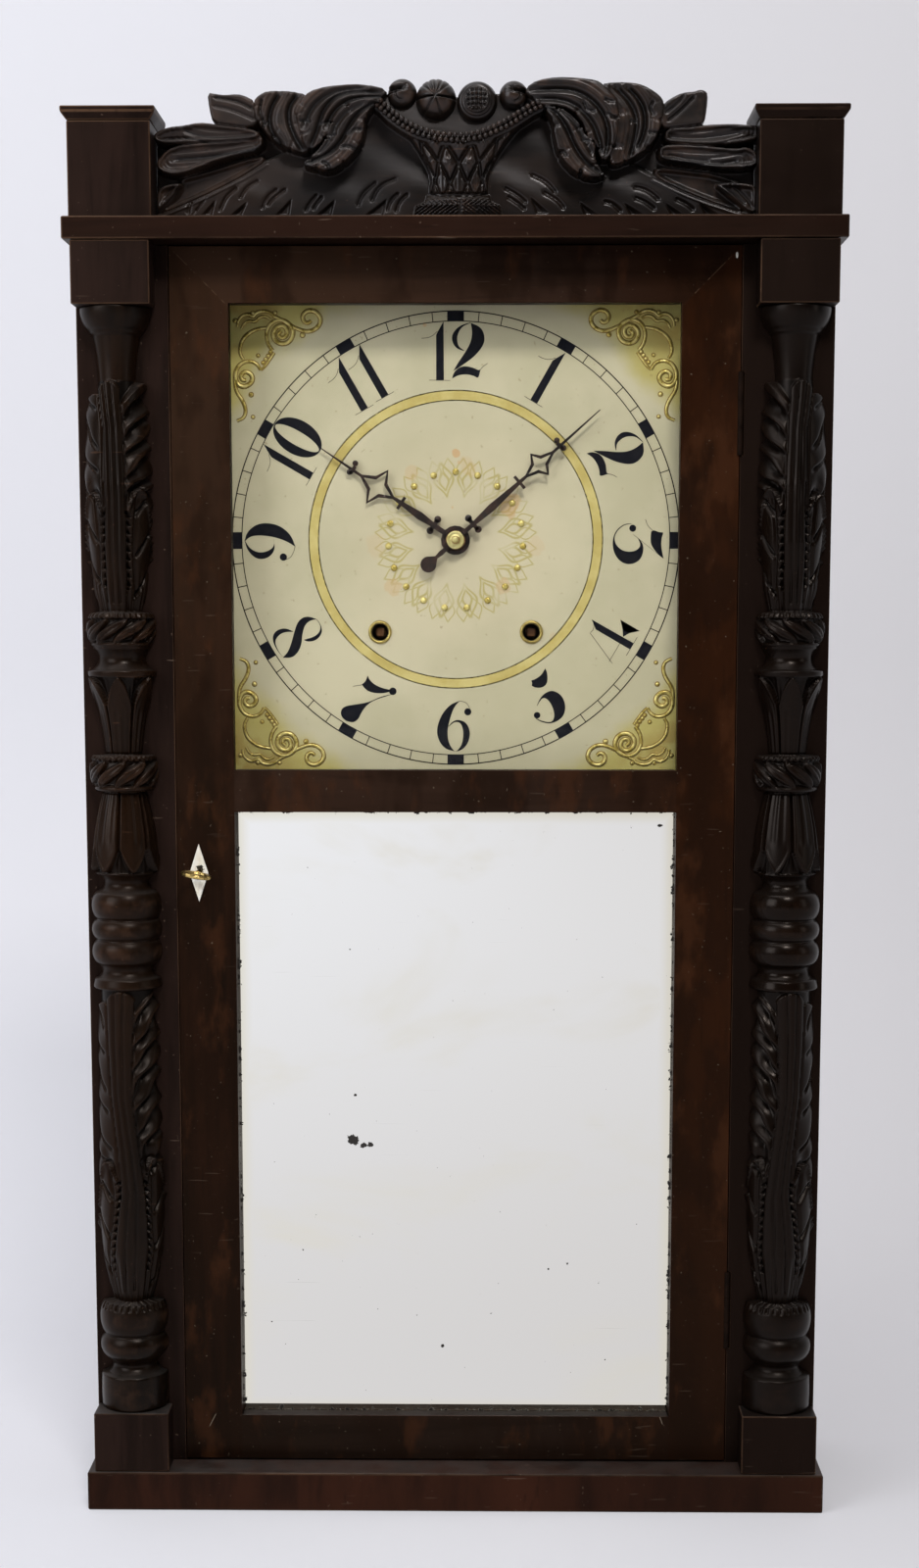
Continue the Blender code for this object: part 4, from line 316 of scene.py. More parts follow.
CREST_WOOD = wood("carved_crest", (0.0040, 0.0026, 0.0018, 1), (0.0100, 0.0058, 0.0038, 1),
                  (0.026, 0.0130, 0.0070, 1), grain("x", 0.2), 80.0, 0.6, gloss=0.35, dust=0.35, wear=0.35,
                  shine=0.30, tint=(1.0, 0.95, 0.97, 1), bump=0.3, relief=True,
                  mark=(0.085, 0.044, 0.027, 1), far_side_shade=0.1)
PINE = wood("old_pine", (0.16, 0.085, 0.035, 1), (0.27, 0.155, 0.068, 1), (0.38, 0.24, 0.115, 1),
            grain("z", 0.04), 55.0, 0.5, gloss=0.7, dust=0.3, shine=0.3, tint=WHITE, bump=0.5)
CHERRY = wood("cherry_wheel", (0.16, 0.060, 0.020, 1), (0.30, 0.125, 0.045, 1), (0.42, 0.21, 0.085, 1),
              grain("x", 0.12), 90.0, 0.5, gloss=0.5, dust=0.3, shine=0.4, tint=WHITE)
OAK_PLATE = wood("oak_plate", (0.040, 0.020, 0.009, 1), (0.080, 0.043, 0.019, 1), (0.130, 0.075, 0.035, 1),
                 grain("z", 0.06), 70.0, 0.5, gloss=0.6, dust=0.3, shine=0.3, tint=WHITE, bump=0.5)

# %% [markdown]
# ## Metals, bone and cord
# Brass and iron are old: their colour drifts between bright and tarnished, and roughness follows it.
# Bone is pale with faint yellow grain. Cord is twisted flax, drawn by a slanting wave along its height.


# %% Metal, bone and cord recipes
def metal(name, bright, dull, rough_low, rough_high, metallic=1.0, scale=70.0, shine=0.5):
    material, tree, skin, place = plain_skin(name)
    patches = noise(tree, place, scale, 4.0, 0.6, 0.5)
    fine = noise(tree, place, scale * 9, 2.0)
    tarnish = ramp(tree, patches, 0.36, 0.66)
    fill(tree, skin, {"Base Color": blend_colour(tree, tarnish, bright, dull), "Metallic": metallic,
                      "Roughness": ramp(tree, patches, 0.3, 0.7, rough_low, rough_high),
                      "Specular IOR Level": shine, "Normal": raised(tree, fine, 0.15, 0.0002)})
    return material


BRASS = metal("tarnished_brass", (0.50, 0.39, 0.13, 1), (0.20, 0.145, 0.045, 1), 0.28, 0.55)
WIRE_BRASS = metal("key_brass", (0.60, 0.44, 0.16, 1), (0.34, 0.23, 0.08, 1), 0.2, 0.4)
WASHER_BRASS = metal("pale_brass", (0.62, 0.56, 0.27, 1), (0.36, 0.29, 0.10, 1), 0.34, 0.55)
IRON = metal("brown_iron", (0.018, 0.011, 0.008, 1), (0.045, 0.020, 0.011, 1), 0.4, 0.65, 0.6)
BLACK_IRON = metal("black_iron", (0.0050, 0.0028, 0.0018, 1), (0.0110, 0.0055, 0.0034, 1), 0.5, 0.7, 0.0,
                   shine=0.03)
HAND_IRON = metal("hand_iron", (0.008, 0.005, 0.004, 1), (0.030, 0.013, 0.008, 1), 0.38, 0.6, 0.5, 140.0)
CAST_IRON = metal("cast_weight_iron", (0.030, 0.028, 0.027, 1), (0.075, 0.045, 0.028, 1), 0.6, 0.85, 0.4, 40.0)
BELL_IRON = metal("bell_metal", (0.16, 0.13, 0.10, 1), (0.07, 0.045, 0.03, 1), 0.35, 0.6)


def build_bone():
    material, tree, skin, place = plain_skin("polished_bone")
    cloudy = noise(tree, place, 110.0, 4.0)
    grains = noise(tree, mapped(tree, place, (1.0, 1.0, 0.15)), 700.0, 2.0)
    colour = blend_colour(tree, ramp(tree, cloudy, 0.4, 0.75), (0.78, 0.76, 0.70, 1), (0.66, 0.60, 0.48, 1))
    colour = blend_colour(tree, ramp(tree, grains, 0.58, 0.72, 0.0, 0.35), colour, (0.42, 0.33, 0.22, 1))
    key_low, key_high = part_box("door_key")
    key_x, key_z = (key_low[0] + key_high[0]) / 2, (key_low[2] + key_high[2]) / 2
    # The keyhole is not cut: a near-black spot on the bone paints the shade inside it.
    keyhole_shade = spot(tree, place, key_x + 0.0006, key_z + 0.0030, 0.0030, 0.0044, noise(tree, place, 600.0, 1.0))
    colour = blend_colour(tree, keyhole_shade, colour, (0.008, 0.006, 0.004, 1))
    fill(tree, skin, {"Base Color": colour, "Roughness": 0.32})
    return material


def build_cord():
    material, tree, skin, place = plain_skin("twisted_flax")
    slant = mapped(tree, place, (1.0, 1.0, 1.0), turn=(0.0, 0.6, 0.0))
    twist = node(tree, "ShaderNodeTexWave", {"Vector": slant, "Scale": 160.0, "Distortion": 1.5, "Detail": 2.0},
                 bands_direction="Z").outputs["Fac"]
    colour = blend_colour(tree, twist, (0.16, 0.11, 0.06, 1), (0.42, 0.33, 0.20, 1))
    fill(tree, skin, {"Base Color": colour, "Roughness": 0.85, "Normal": raised(tree, twist, 0.8, 0.0004)})
    return material


FLAX = build_cord()

# %% [markdown]
# ## Glass and looking glass
# The dial's glass has to let lamps through to the dial, so shadow rays and bounced rays pass it untouched.
# The looking glass is silver behind glass: near white, yellowed in soft bands, black where the silvering
# has gone along the edges and in one flower-shaped blemish.


# %% Glass
def either_shader(tree, factor, first, second):
    return node(tree, "ShaderNodeMixShader", {0: factor, 1: first, 2: second}).outputs[0]


def show(tree, shader):
    fill(tree, tree.nodes["Material Output"], {"Surface": shader})


def build_glass():
    material, tree, skin, place = plain_skin("old_window_glass")
    fill(tree, skin, {"Base Color": (0.97, 0.98, 0.965, 1), "Transmission Weight": 1.0, "IOR": 1.12,
                      "Roughness": 0.0, "Normal": raised(tree, noise(tree, place, 16.0, 2.0), 0.05, 0.0006)})
    rays = node(tree, "ShaderNodeLightPath").outputs
    passing = larger(tree, rays["Is Shadow Ray"], rays["Is Diffuse Ray"])
    clear = node(tree, "ShaderNodeBsdfTransparent").outputs[0]
    show(tree, either_shader(tree, passing, skin.outputs[0], clear))
    return material


DOOR_OPENING = 0.138
MIRROR_OPEN_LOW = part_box("door_bottom_rail")[1][2]
MIRROR_OPEN_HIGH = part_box("door_middle_rail")[0][2]


def near_edges(tree, place, half_x, low_z, high_z, reach):
    """One at the borders of an upright opening, falling to nothing a little way in."""
    axes = axes_of(tree, place)
    side = minus(tree, half_x, unsigned(tree, axes["X"]))
    foot = minus(tree, axes["Z"], low_z)
    head = minus(tree, high_z, axes["Z"])
    nearest = maths(tree, "MINIMUM", side, maths(tree, "MINIMUM", foot, head))
    return ramp(tree, nearest, 0.0, reach, 1.0, 0.0)


def spot(tree, place, x, z, radius_x, radius_z, ragged):
    """A ragged blot at one place of an upright surface."""
    moved = mapped(tree, place, (1.0 / radius_x, 0.0, 1.0 / radius_z), (-x / radius_x, 0.0, -z / radius_z))
    away = node(tree, "ShaderNodeVectorMath", {0: moved}, operation="LENGTH").outputs["Value"]
    return ramp(tree, plus(tree, away, times(tree, ragged, 1.7)), 1.45, 1.62, 1.0, 0.0)


BONE = build_bone()
BLEMISHES = (  # x, z, half width, half height (m)
    (-0.0655, 0.2350, 0.0055, 0.0048), (-0.0590, 0.2312, 0.0030, 0.0024), (-0.0545, 0.2318, 0.0028, 0.0030),
    (-0.0640, 0.2640, 0.0016, 0.0014), (-0.0085, 0.0985, 0.0018, 0.0018), (0.0600, 0.1500, 0.0009, 0.0009),
    (-0.1130, 0.0570, 0.0016, 0.0020), (0.1290, 0.4370, 0.0022, 0.0012),
)


def build_looking_glass():
    material, tree, skin, place = plain_skin("silvered_glass")
    bands = noise(tree, mapped(tree, place, (0.6, 1.0, 1.0)), 11.0, 4.0, 0.55, 0.6)
    edge = near_edges(tree, place, DOOR_OPENING, MIRROR_OPEN_LOW, MIRROR_OPEN_HIGH, 0.010)
    aged = larger(tree, ramp(tree, bands, 0.5, 0.78, 0.0, 0.75), times(tree, edge, 0.9))
    # Painted shade: the silver is darker towards the bottom of the glass and brighter towards the top.
    shaded_silver = blend_colour(tree, ramp(tree, axes_of(tree, place)["Z"], 0.08, 0.44),
                          (0.80, 0.79, 0.745, 1), (0.93, 0.935, 0.90, 1))
    colour = blend_colour(tree, aged, shaded_silver, (0.83, 0.80, 0.66, 1))
    crumbs = noise(tree, place, 230.0, 3.0, 0.65)
    rim = near_edges(tree, place, DOOR_OPENING, MIRROR_OPEN_LOW, MIRROR_OPEN_HIGH, 0.0035)
    lost = ramp(tree, plus(tree, crumbs, times(tree, rim, 0.20)), 0.71, 0.74)
    ragged = noise(tree, place, 240.0, 3.0, 0.7)
    for x, z, wide, tall in BLEMISHES:
        lost = larger(tree, lost, spot(tree, place, x, z, wide, tall, ragged))
    level = mapped(tree, place, (4.0, 1.0, 300.0))
    scratch = times(tree, ramp(tree, noise(tree, level, 3.0, 1.0), 0.73, 0.76, 0.0, 0.25),
                    ramp(tree, noise(tree, place, 9.0, 2.0), 0.52, 0.62))
    colour = blend_colour(tree, scratch, colour, (0.45, 0.44, 0.40, 1))
    colour = blend_colour(tree, lost, colour, (0.012, 0.009, 0.006, 1))
    fill(tree, skin, {"Base Color": colour, "Metallic": minus(tree, 1.0, lost),
                      "Roughness": times(tree, lost, 0.5)})
    return material


WINDOW_GLASS = build_glass()
LOOKING_GLASS = build_looking_glass()

# %% [markdown]
# ## The room
# A pale floor sweeps up into a pale wall behind the clock. The wall is lit by the same lamps, and a little
# of its tone is its own, for the camera and for reflections only, so the object gets no extra light from it.
# That tone and the paper's colour are painted darker towards the right, a painted shade away from the window.
# From behind, the camera looks through the wall.


# %% Backdrop
def build_backdrop():
    profile = [(-12.0, 0.0), (-5.0, 0.0), (-2.0, 0.0), (-0.5, 0.0), (0.30, 0.0)]
    for step in range(1, 13):
        turn = step / 12 * math.pi / 2
        profile.append((0.30 + 0.55 * math.sin(turn), 0.55 - 0.55 * math.cos(turn)))
    profile += [(0.85, 1.6), (0.85, 3.6)]
    verts = [(side, y, z) for y, z in profile for side in (-4.5, 4.5)]
    faces = [(2 * i, 2 * i + 1, 2 * i + 3, 2 * i + 2) for i in range(len(profile) - 1)]
    mesh = bpy.data.meshes.new("backdrop")
    mesh.from_pydata(verts, [], faces)
    for face in mesh.polygons:
        face.use_smooth = True
    sheet = placed("backdrop", mesh)
    material, tree, skin, place = plain_skin("pale_paper")
    # Painted shade: the paper and its own tone are darker towards the right, away from the window lamp.
    across = ramp(tree, axes_of(tree, place)["X"], -0.7, 0.7)
    tone = blend_colour(tree, across, (0.63, 0.63, 0.672, 1), (0.54, 0.53, 0.550, 1))
    fill(tree, skin, {"Base Color": tone, "Roughness": 0.9, "Specular IOR Level": 0.1})
    rays = node(tree, "ShaderNodeLightPath").outputs
    seen = larger(tree, rays["Is Glossy Ray"], rays["Is Transmission Ray"],
                  times(tree, rays["Is Camera Ray"], 0.30))
    glow = node(tree, "ShaderNodeEmission", {"Color": tone, "Strength": 1.42}).outputs[0]
    paper = either_shader(tree, seen, skin.outputs[0], glow)
    behind = times(tree, rays["Is Camera Ray"], node(tree, "ShaderNodeNewGeometry").outputs["Backfacing"])
    show(tree, either_shader(tree, behind, paper, node(tree, "ShaderNodeBsdfTransparent").outputs[0]))
    mesh.materials.append(material)


build_backdrop()

# %% [markdown]
# ## The light
# One large cool window to the left and above gives the grey sheen on the carving. A wide weak panel in front
# and a low one on the right keep the recesses readable, and the world is a dim even grey.


# %% Lamps and world
def softbox(name, place, target, size, watts, colour):
    data = bpy.data.lights.new(name, "AREA")
    data.shape = "RECTANGLE"
    data.size, data.size_y = size
    data.energy = watts
    data.color = colour
    lamp = placed(name, data)
    lamp.location = place
    lamp.rotation_euler = (Vector(target) - Vector(place)).to_track_quat("-Z", "Y").to_euler()


softbox("window_left", (-2.2, -1.9, 1.55), (0.0, 0.0, 0.5), (1.5, 1.7), 44.0, (0.93, 0.96, 1.0))
softbox("lamp_above", (0.35, -1.75, 2.35), (0.0, 0.0, 0.55), (0.55, 0.45), 36.0, (1.0, 0.985, 0.96))
softbox("panel_above", (-0.5, -0.5, 2.6), (0.0, 0.0, 0.4), (1.8, 1.2), 22.0, (0.97, 0.98, 1.0))
softbox("panel_right", (2.4, -1.2, 1.1), (0.0, 0.0, 0.45), (0.6, 1.4), 5.0, (1.0, 0.97, 0.93))

world = bpy.data.worlds.new("room")
bpy.context.scene.world = world
world.use_nodes = True
room = world.node_tree
rays = node(room, "ShaderNodeLightPath").outputs
way = axes_of(room, node(room, "ShaderNodeTexCoord").outputs["Generated"])
viewer_side = node(room, "ShaderNodeMapRange", {"Value": way["X"], "From Min": -0.6, "From Max": 0.25,
                                                "To Min": 0.16, "To Max": 0.01}).outputs["Result"]
mirrored = node(room, "ShaderNodeMapRange", {"Value": way["Y"], "From Min": -0.25, "From Max": 0.25,
                                             "To Min": viewer_side, "To Max": 0.80}).outputs["Result"]
seen = larger(room, rays["Is Glossy Ray"], rays["Is Transmission Ray"])
strength = node(room, "ShaderNodeMix", {0: seen, 2: 0.34, 3: mirrored}).outputs[0]
strength = node(room, "ShaderNodeMix", {0: rays["Is Camera Ray"], 2: strength, 3: 0.80}).outputs[0]
fill(room, room.nodes["Background"], {"Color": (0.97, 0.98, 1.0, 1), "Strength": strength})

# %% [markdown]
# ## Boards with softened arrises
# A real board has no razor edge. Each flat board of the frame is copied, its loose triangles are merged,
# and a bevel rounds every arris. Outside the door, the bevel's own faces get the worn finish, as hands and
# dusters wear it; on the door boards they keep the board's finish.

# %% Helpers for pieces
MM = 0.001
NODE_BODY = {name: body for body, names in frame["record"]["behaviour"]["bodies"].items() for name in names}


def settle(obj, name, body):
    """Names a piece and lets it ride on its body."""
    obj.name = name
    obj.data.name = name
    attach(obj, body)
    return obj


def from_lists(name, verts, faces, materials, smooth=True):
    mesh = bpy.data.meshes.new(name)
    mesh.from_pydata([tuple(v) for v in verts], [], [tuple(f) for f in faces])
    for material in materials:
        mesh.materials.append(material)
    if smooth:
        mesh.polygons.foreach_set("use_smooth", [True] * len(mesh.polygons))
    mesh.update()
    return placed(name, mesh)


def from_shape(name, shape, *materials):
    """Turns an edit mesh into an object and frees it."""
    mesh = bpy.data.meshes.new(name)
    shape.to_mesh(mesh)
    shape.free()
    for material in materials:
        mesh.materials.append(material)
    return placed(name, mesh)


def mark_relief(obj, values):
    """Stores how high and worn each point is, for the carved finishes to read; low points get painted shade."""
    mask = obj.data.attributes.new("relief", "FLOAT", "POINT")
    mask.data.foreach_set("value", np.asarray(values).reshape(-1).astype(np.float32))


def flattened(obj):
    """The mesh that an object with modifiers or curves evaluates to."""
    bpy.context.view_layer.update()
    return bpy.data.meshes.new_from_object(obj.evaluated_get(bpy.context.evaluated_depsgraph_get()))


def bake(obj):
    """Turns an object with modifiers into a plain mesh and drops the modifiers."""
    baked = flattened(obj)
    if obj.type == "MESH":
        obj.modifiers.clear()
        obj.data = baked
        return obj
    plain = placed(obj.name + "_plain", baked)
    bpy.data.objects.remove(obj)
    return plain


def round_arrises(obj, width, segments, sharpest=30.0):
    """Bevels every sharp edge; the new faces get the second finish."""
    bevel = obj.modifiers.new("arris", "BEVEL")
    bevel.width = width
    bevel.segments = segments
    bevel.limit_method = "ANGLE"
    bevel.angle_limit = math.radians(sharpest)
    bevel.material = 1


def planed(name, face, arris, width, segments=2):
    """A copy of one solid with its loose triangles merged and its arrises rounded."""
    shape = bmesh.new()
    shape.from_mesh(frame["nodes"][name].data)
    bmesh.ops.remove_doubles(shape, verts=shape.verts, dist=1e-5)
    bmesh.ops.dissolve_limit(shape, angle_limit=math.radians(0.5), verts=shape.verts, edges=shape.edges)
    obj = from_shape(name + "_planed", shape, face, arris)
    round_arrises(obj, width, segments, 35.0)
    bake(obj)
    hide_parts(name)
    return settle(obj, name + "_planed", NODE_BODY[name])


def both_sides(*names):
    return [f"{name}_{side}" for name in names for side in ("left", "right")]


# %% Case and door boards
BOARD_FINISHES = (
    (RAIL_WOOD, 0.0009, ["cornice_board", "door_top_rail", "door_middle_rail", "door_bottom_rail"]),
    (BASE_WOOD, 0.0011, ["base_board"]),
    (STILE_WOOD, 0.0007, ["door_lock_stile", "door_hinge_stile"]),
    (CASE_WOOD, 0.0008, both_sides("front_stile", "capital_block", "plinth_block", "chimney_block",
                                   "chimney_cap")),
    (SIDE_WOOD, 0.0008, both_sides("side_board")),
)
for finish, width, names in BOARD_FINISHES:
    for name in names:
        planed(name, finish, finish if name.startswith("door_") else WORN_EDGE, width)

# %% [markdown]
# ## The carved half columns
# A turner makes the rings and hollows, then a carver cuts the leaves. The mesh works the same way: a table
# of members gives the radius at each height, and the carving is taken off or added by small functions of
# height and of distance round the shaft. The right column is the mirror of the left one.

# %% Turned members
COLUMN_LOW, COLUMN_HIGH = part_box("column_left")
COLUMN_X = 0.2065
COLUMN_Y = COLUMN_HIGH[1]
LOWER_LEAF = (0.1337, 0.3353)
UPPER_LEAF = (0.5696, 0.7090)
LOWER_RING = (0.4595, 0.4827)
UPPER_RING = (0.5484, 0.5696)
TURNED = (  # foot, head, radius at each, swell (+) or hollow (-), fullness
    (0.0630, 0.0649, 0.0204, 0.0213, 0.0, 1.0), (0.0649, 0.0851, 0.0213, 0.0213, 0.0003, 1.0),
    (0.0851, 0.0866, 0.0213, 0.0200, 0.0, 1.0), (0.0866, 0.0969, 0.0180, 0.0186, -0.0037, 1.0),
    (0.0969, 0.1121, 0.0178, 0.0180, 0.0038, 0.55), (0.1121, 0.1337, 0.0182, 0.0184, 0.0034, 0.5),
    (0.3353, 0.3368, 0.0200, 0.0217, 0.0, 1.0), (0.3368, 0.3423, 0.0217, 0.0205, 0.0, 1.0),
    (0.3423, 0.3514, 0.0188, 0.0182, -0.0024, 1.0), (0.3514, 0.3666, 0.0182, 0.0182, 0.0038, 0.5),
    (0.3666, 0.3797, 0.0182, 0.0182, 0.0038, 0.5), (0.3797, 0.3969, 0.0182, 0.0180, 0.0038, 0.5),
    (0.3969, 0.4080, 0.0172, 0.0178, -0.0034, 1.0), (0.4080, 0.4100, 0.0192, 0.0199, 0.0, 1.0),
    (0.4100, 0.4595, 0.0199, 0.0122, 0.0016, 1.0), (0.4595, 0.4827, 0.0168, 0.0180, 0.0042, 0.5),
    (0.4827, 0.5290, 0.0098, 0.0200, -0.0016, 1.0), (0.5290, 0.5345, 0.0210, 0.0213, 0.0, 1.0),
    (0.5345, 0.5484, 0.0186, 0.0180, -0.0038, 1.0), (0.5484, 0.5696, 0.0168, 0.0182, 0.0042, 0.5),
    (0.7090, 0.7370, 0.0113, 0.0147, -0.0006, 1.0), (0.7370, 0.7395, 0.0160, 0.0172, 0.0, 1.0),
    (0.7395, 0.7540, 0.0176, 0.0215, 0.0016, 0.8),
)


def soft_step(value, low, high):
    t = np.clip((value - low) / (high - low), 0.0, 1.0)
    return t * t * (3 - 2 * t)


def turned_radius(z):
    radius = np.full_like(z, 0.0125)
    for foot, head, low, high, swell, fullness in TURNED:
        t = (z - foot) / (head - foot)
        here = (t >= 0) & (t < 1)
        curve = np.sin(np.pi * np.clip(t, 0.0, 1.0)) ** fullness
        radius = np.where(here, low + (high - low) * t + swell * curve, radius)
    return radius


# %% Shapes of a cut
def share_of(value):
    """How far a value has got from one whole number to the next."""
    return value - np.floor(value)


def hump(value, middle, width):
    """One at the middle, fading to nothing on both sides."""
    return np.exp(-((value - middle) / width) ** 2)


# %% Leaf shafts

def leaf_shaft(z, round_, span, outline, stem, pitch, rise, second, core):
    """A grooved strap runs up the middle. Bold fingers rise on one side of it, a smooth leaf with a notched
    edge lies on the other, and a second leaf covers the lower half of both. The bare shaft above the tips
    has the core's radius. Returns the radius at each point and a relief value: high where the carving is
    worn, low in the hollows and under the leaf's lip, which the finish paints with shade."""
    low, high = span
    t = np.clip((z - low) / (high - low), 0.0, 1.0)
    full = np.interp(t, *zip(*outline))
    at, middles, halves = zip(*stem)
    half = np.interp(t, at, halves)
    away = round_ - np.interp(t, at, middles)
    right = away > 0
    gap = np.abs(away) - half
    out = np.clip(gap / (0.030 - half), 0.0, 1.0)
    level = z - rise * out ** 0.65
    top = high - 0.026
    wander = (0.12 * np.sin(z * 310.0) + 0.08 * np.sin(z * 143.0 + 2.1)) * soft_step(top - level, 0.0, 0.012)
    blade = share_of(np.where(level > top, (level - top) / 0.032, (level - top) / pitch + wander))
    blade = soft_step(blade, 0.0, 0.16) * (1.0 - 0.95 * soft_step(blade, 0.28, 0.97))
    fingers = full - 0.0052 * (1.0 - blade) * (0.22 + 0.78 * np.clip(out * 3.0, 0.0, 1.0))
    lobe = share_of((z - low - 0.020 * out ** 1.4) / 0.0195 + 0.15 * np.sin(z * 190.0))
    cuts = hump(lobe, 0.12, 0.09) * soft_step(out, 0.10, 0.30)
    smooth = full - 0.0002 - 0.0030 * cuts - 0.0012 * soft_step(lobe, 0.35, 1.0) * np.clip(out * 2.0, 0.0, 1.0)
    carved = np.where(right, fingers, smooth)
    tops = np.where(right, 0.10 + 0.70 * blade ** 2, 0.55 - 0.5 * cuts)
    below = second + np.where(right, 0.002, 0.0) - 0.115 * (out - 0.40) ** 2 - z
    lip = np.exp(-np.clip(-below, 0.0, 1.0) / 0.0040) * (below < 0) * soft_step(out, 0.06, 0.22)
    carved = carved - 0.0044 * lip
    tops = tops * (1 - 0.9 * lip)
    arc = share_of((z - low - 0.022 * out ** 1.3) / 0.0250 + 0.35 * right) - 0.5
    arc = hump(arc, 0.06, 0.075) * soft_step(out, 0.22, 0.38)
    flute = hump(out, 0.28 + 0.06 * np.sin(z * 90.0), 0.045)
    rim = hump(below, 0.0009, 0.0008)
    leaf = full + 0.0006 + 0.0009 * rim - 0.0032 * arc - 0.0018 * flute
    leaf = leaf - 0.0013 * soft_step(below, 0.0015, 0.006)
    cover = soft_step(below, -0.0002, 0.0005)
    carved = carved * (1 - cover) + leaf * cover
    tops = tops * (1 - cover) + np.clip(0.50 + 0.5 * rim - 0.5 * arc - 0.3 * flute, 0.0, 1.0) * cover
    chain = soft_step(0.0038 * (1 - share_of((z - low) / 0.0052)) - gap, 0.0, 0.0005)
    chain = chain * (z < second - 0.012) * (t > 0.10)
    carved = carved - 0.0026 * chain - 0.0018 * hump(gap, 0.0, 0.0008)
    tops = tops * (1 - 0.9 * chain)
    grooves = np.minimum(np.abs(away - 0.22 * half), np.abs(away + 0.42 * half))
    grooves = hump(grooves, 0.0, 0.00070) * (t > 0.04)
    foot = 0.0004 * np.cos(2 * np.pi * round_ / 0.0052) * (1 - soft_step(t, 0.10, 0.20))
    strap = full + 0.0006 - 0.0016 * grooves - 0.0011 * (away / half) ** 4
    on_strap = gap < 0
    radius = np.where(on_strap, strap, carved) + foot
    tops = np.where(on_strap, 0.66 - 0.5 * grooves, tops)
    end = np.where(right, high - 0.0005 - 0.014 * (1 - out) ** 1.7, high - 0.0075 - 0.022 * (out - 0.22) ** 2)
    end = np.where(on_strap, high - 0.0050 * (away / half) ** 2, end)
    present = soft_step(end - z, -0.0003, 0.0006)
    radius = core + (radius - core) * present
    return radius, np.maximum(tops * present, hump(end - z, 0.0006, 0.0009))


UPPER_OUTLINE = ((0.0, 0.0136), (0.10, 0.0168), (0.30, 0.0200), (0.55, 0.0213), (0.85, 0.0196), (1.0, 0.0180))
UPPER_STEM = ((0.0, -0.0002, 0.0092), (0.2, 0.0, 0.0072), (0.5, 0.0004, 0.0060), (0.8, -0.0006, 0.0060),
              (0.93, -0.0026, 0.0072), (1.0, -0.0036, 0.0082))
LOWER_OUTLINE = ((0.0, 0.0129), (0.06, 0.0160), (0.16, 0.0200), (0.28, 0.0214), (0.6, 0.0200), (1.0, 0.0196))
LOWER_STEM = ((0.0, 0.0005, 0.0125), (0.18, 0.0022, 0.0110), (0.36, 0.0038, 0.0074), (0.50, 0.0010, 0.0066),
              (0.66, -0.0030, 0.0066), (0.84, -0.0036, 0.0082), (1.0, -0.0028, 0.0100))


# %% Rings, tulip and tongues
def twisted_ring(z, round_, span, lean, spacing, bead_rows):
    """Pointed leaves laid slanting round a ring, with a row or two of beads along its top."""
    low, high = span
    t = (z - low) / (high - low)
    part = np.abs(share_of((round_ - (z - low) * lean) / spacing) - 0.5)
    width = 0.48 * np.sin(np.pi * np.clip((t - 0.12) / 0.72, 0.0, 1.0)) ** 0.6
    blade = soft_step(width - part, 0.0, 0.15)
    vein = hump(part, 0.0, 0.045) * blade
    band = soft_step(t, 0.08, 0.22) * (1 - soft_step(t, 0.80, 0.86))
    cut = band * (0.0036 * (1 - blade) + 0.0011 * vein)
    row = np.floor((t - 0.80) / (0.20 / bead_rows))
    beads = 0.5 + 0.5 * np.cos(2 * np.pi * (round_ / 0.0038 + 0.5 * row))
    cut = cut + 0.0013 * (beads < 0.36) * soft_step(t, 0.80, 0.84) * (1 - soft_step(t, 0.985, 1.0))
    here = (t > 0) & (t < 1)
    return np.where(here, cut, 0.0), np.where(here, np.where(band > 0.5, 0.12 + 0.70 * blade, 0.7), 0.0)


def pointed_leaves(z, angle, tip, shoulder, foot, turn, direction, step):
    """Broad leaves whose points lie at one height, with deep gaps between the points."""
    step = math.radians(step)
    off = (angle - math.radians(turn) + step / 2) % step - step / 2
    along = np.clip((tip - z) * direction / (abs(tip - shoulder)), 0.0, 1.0)
    half = step * 0.485 * along ** 0.62
    inside = soft_step(half - np.abs(off), 0.0, 0.05)
    border = hump(np.abs(off), half - 0.07, 0.045)
    reeds = 0.7 * np.cos(off * 21.0) * soft_step((shoulder - z) * direction, 0.0, 0.008)
    off_middle = np.abs(step / 2 - np.abs(off))
    under = soft_step(np.abs(off) - half, 0.0, 0.05) * np.clip(1.0 - off_middle / 0.12, 0.0, 1.0)
    span = (min(tip, foot) < z) & (z < max(tip, foot))
    lift = inside * (0.0013 + 0.0007 * border + 0.0004 * reeds) - (1 - inside) * 0.0034 + 0.0011 * under
    lift = np.where(span, lift, 0.0)
    return lift, np.where(span, 0.12 + 0.38 * inside + 0.35 * border * inside, 0.0)


LEAF_SHAFTS = (  # span, outline, stem, pitch of the fingers, their rise, top of the second leaf, core
    (UPPER_LEAF, UPPER_OUTLINE, UPPER_STEM, 0.0112, 0.017, 0.6425, 0.0116),
    (LOWER_LEAF, LOWER_OUTLINE, LOWER_STEM, 0.0140, 0.024, 0.2260, 0.0170),
)
RINGS = ((UPPER_RING, 1.45, 0.0128, 1), (LOWER_RING, 1.20, 0.0132, 2))  # span, slant, spacing, rows of beads
TULIPS = (  # tip, shoulder, foot, turn, way that the leaves point, degrees for each leaf
    (0.5305, 0.5130, 0.4830, 0, 1, 60), (0.4092, 0.4240, 0.4590, 22, -1, 54),
)
COLUMN_ROWS, COLUMN_TURNS = 930, 80
MEAN_RADIUS, GREATEST_RADIUS = 0.0195, 0.0222
FOOT_NOTCHES = (0.1292, 0.1330)


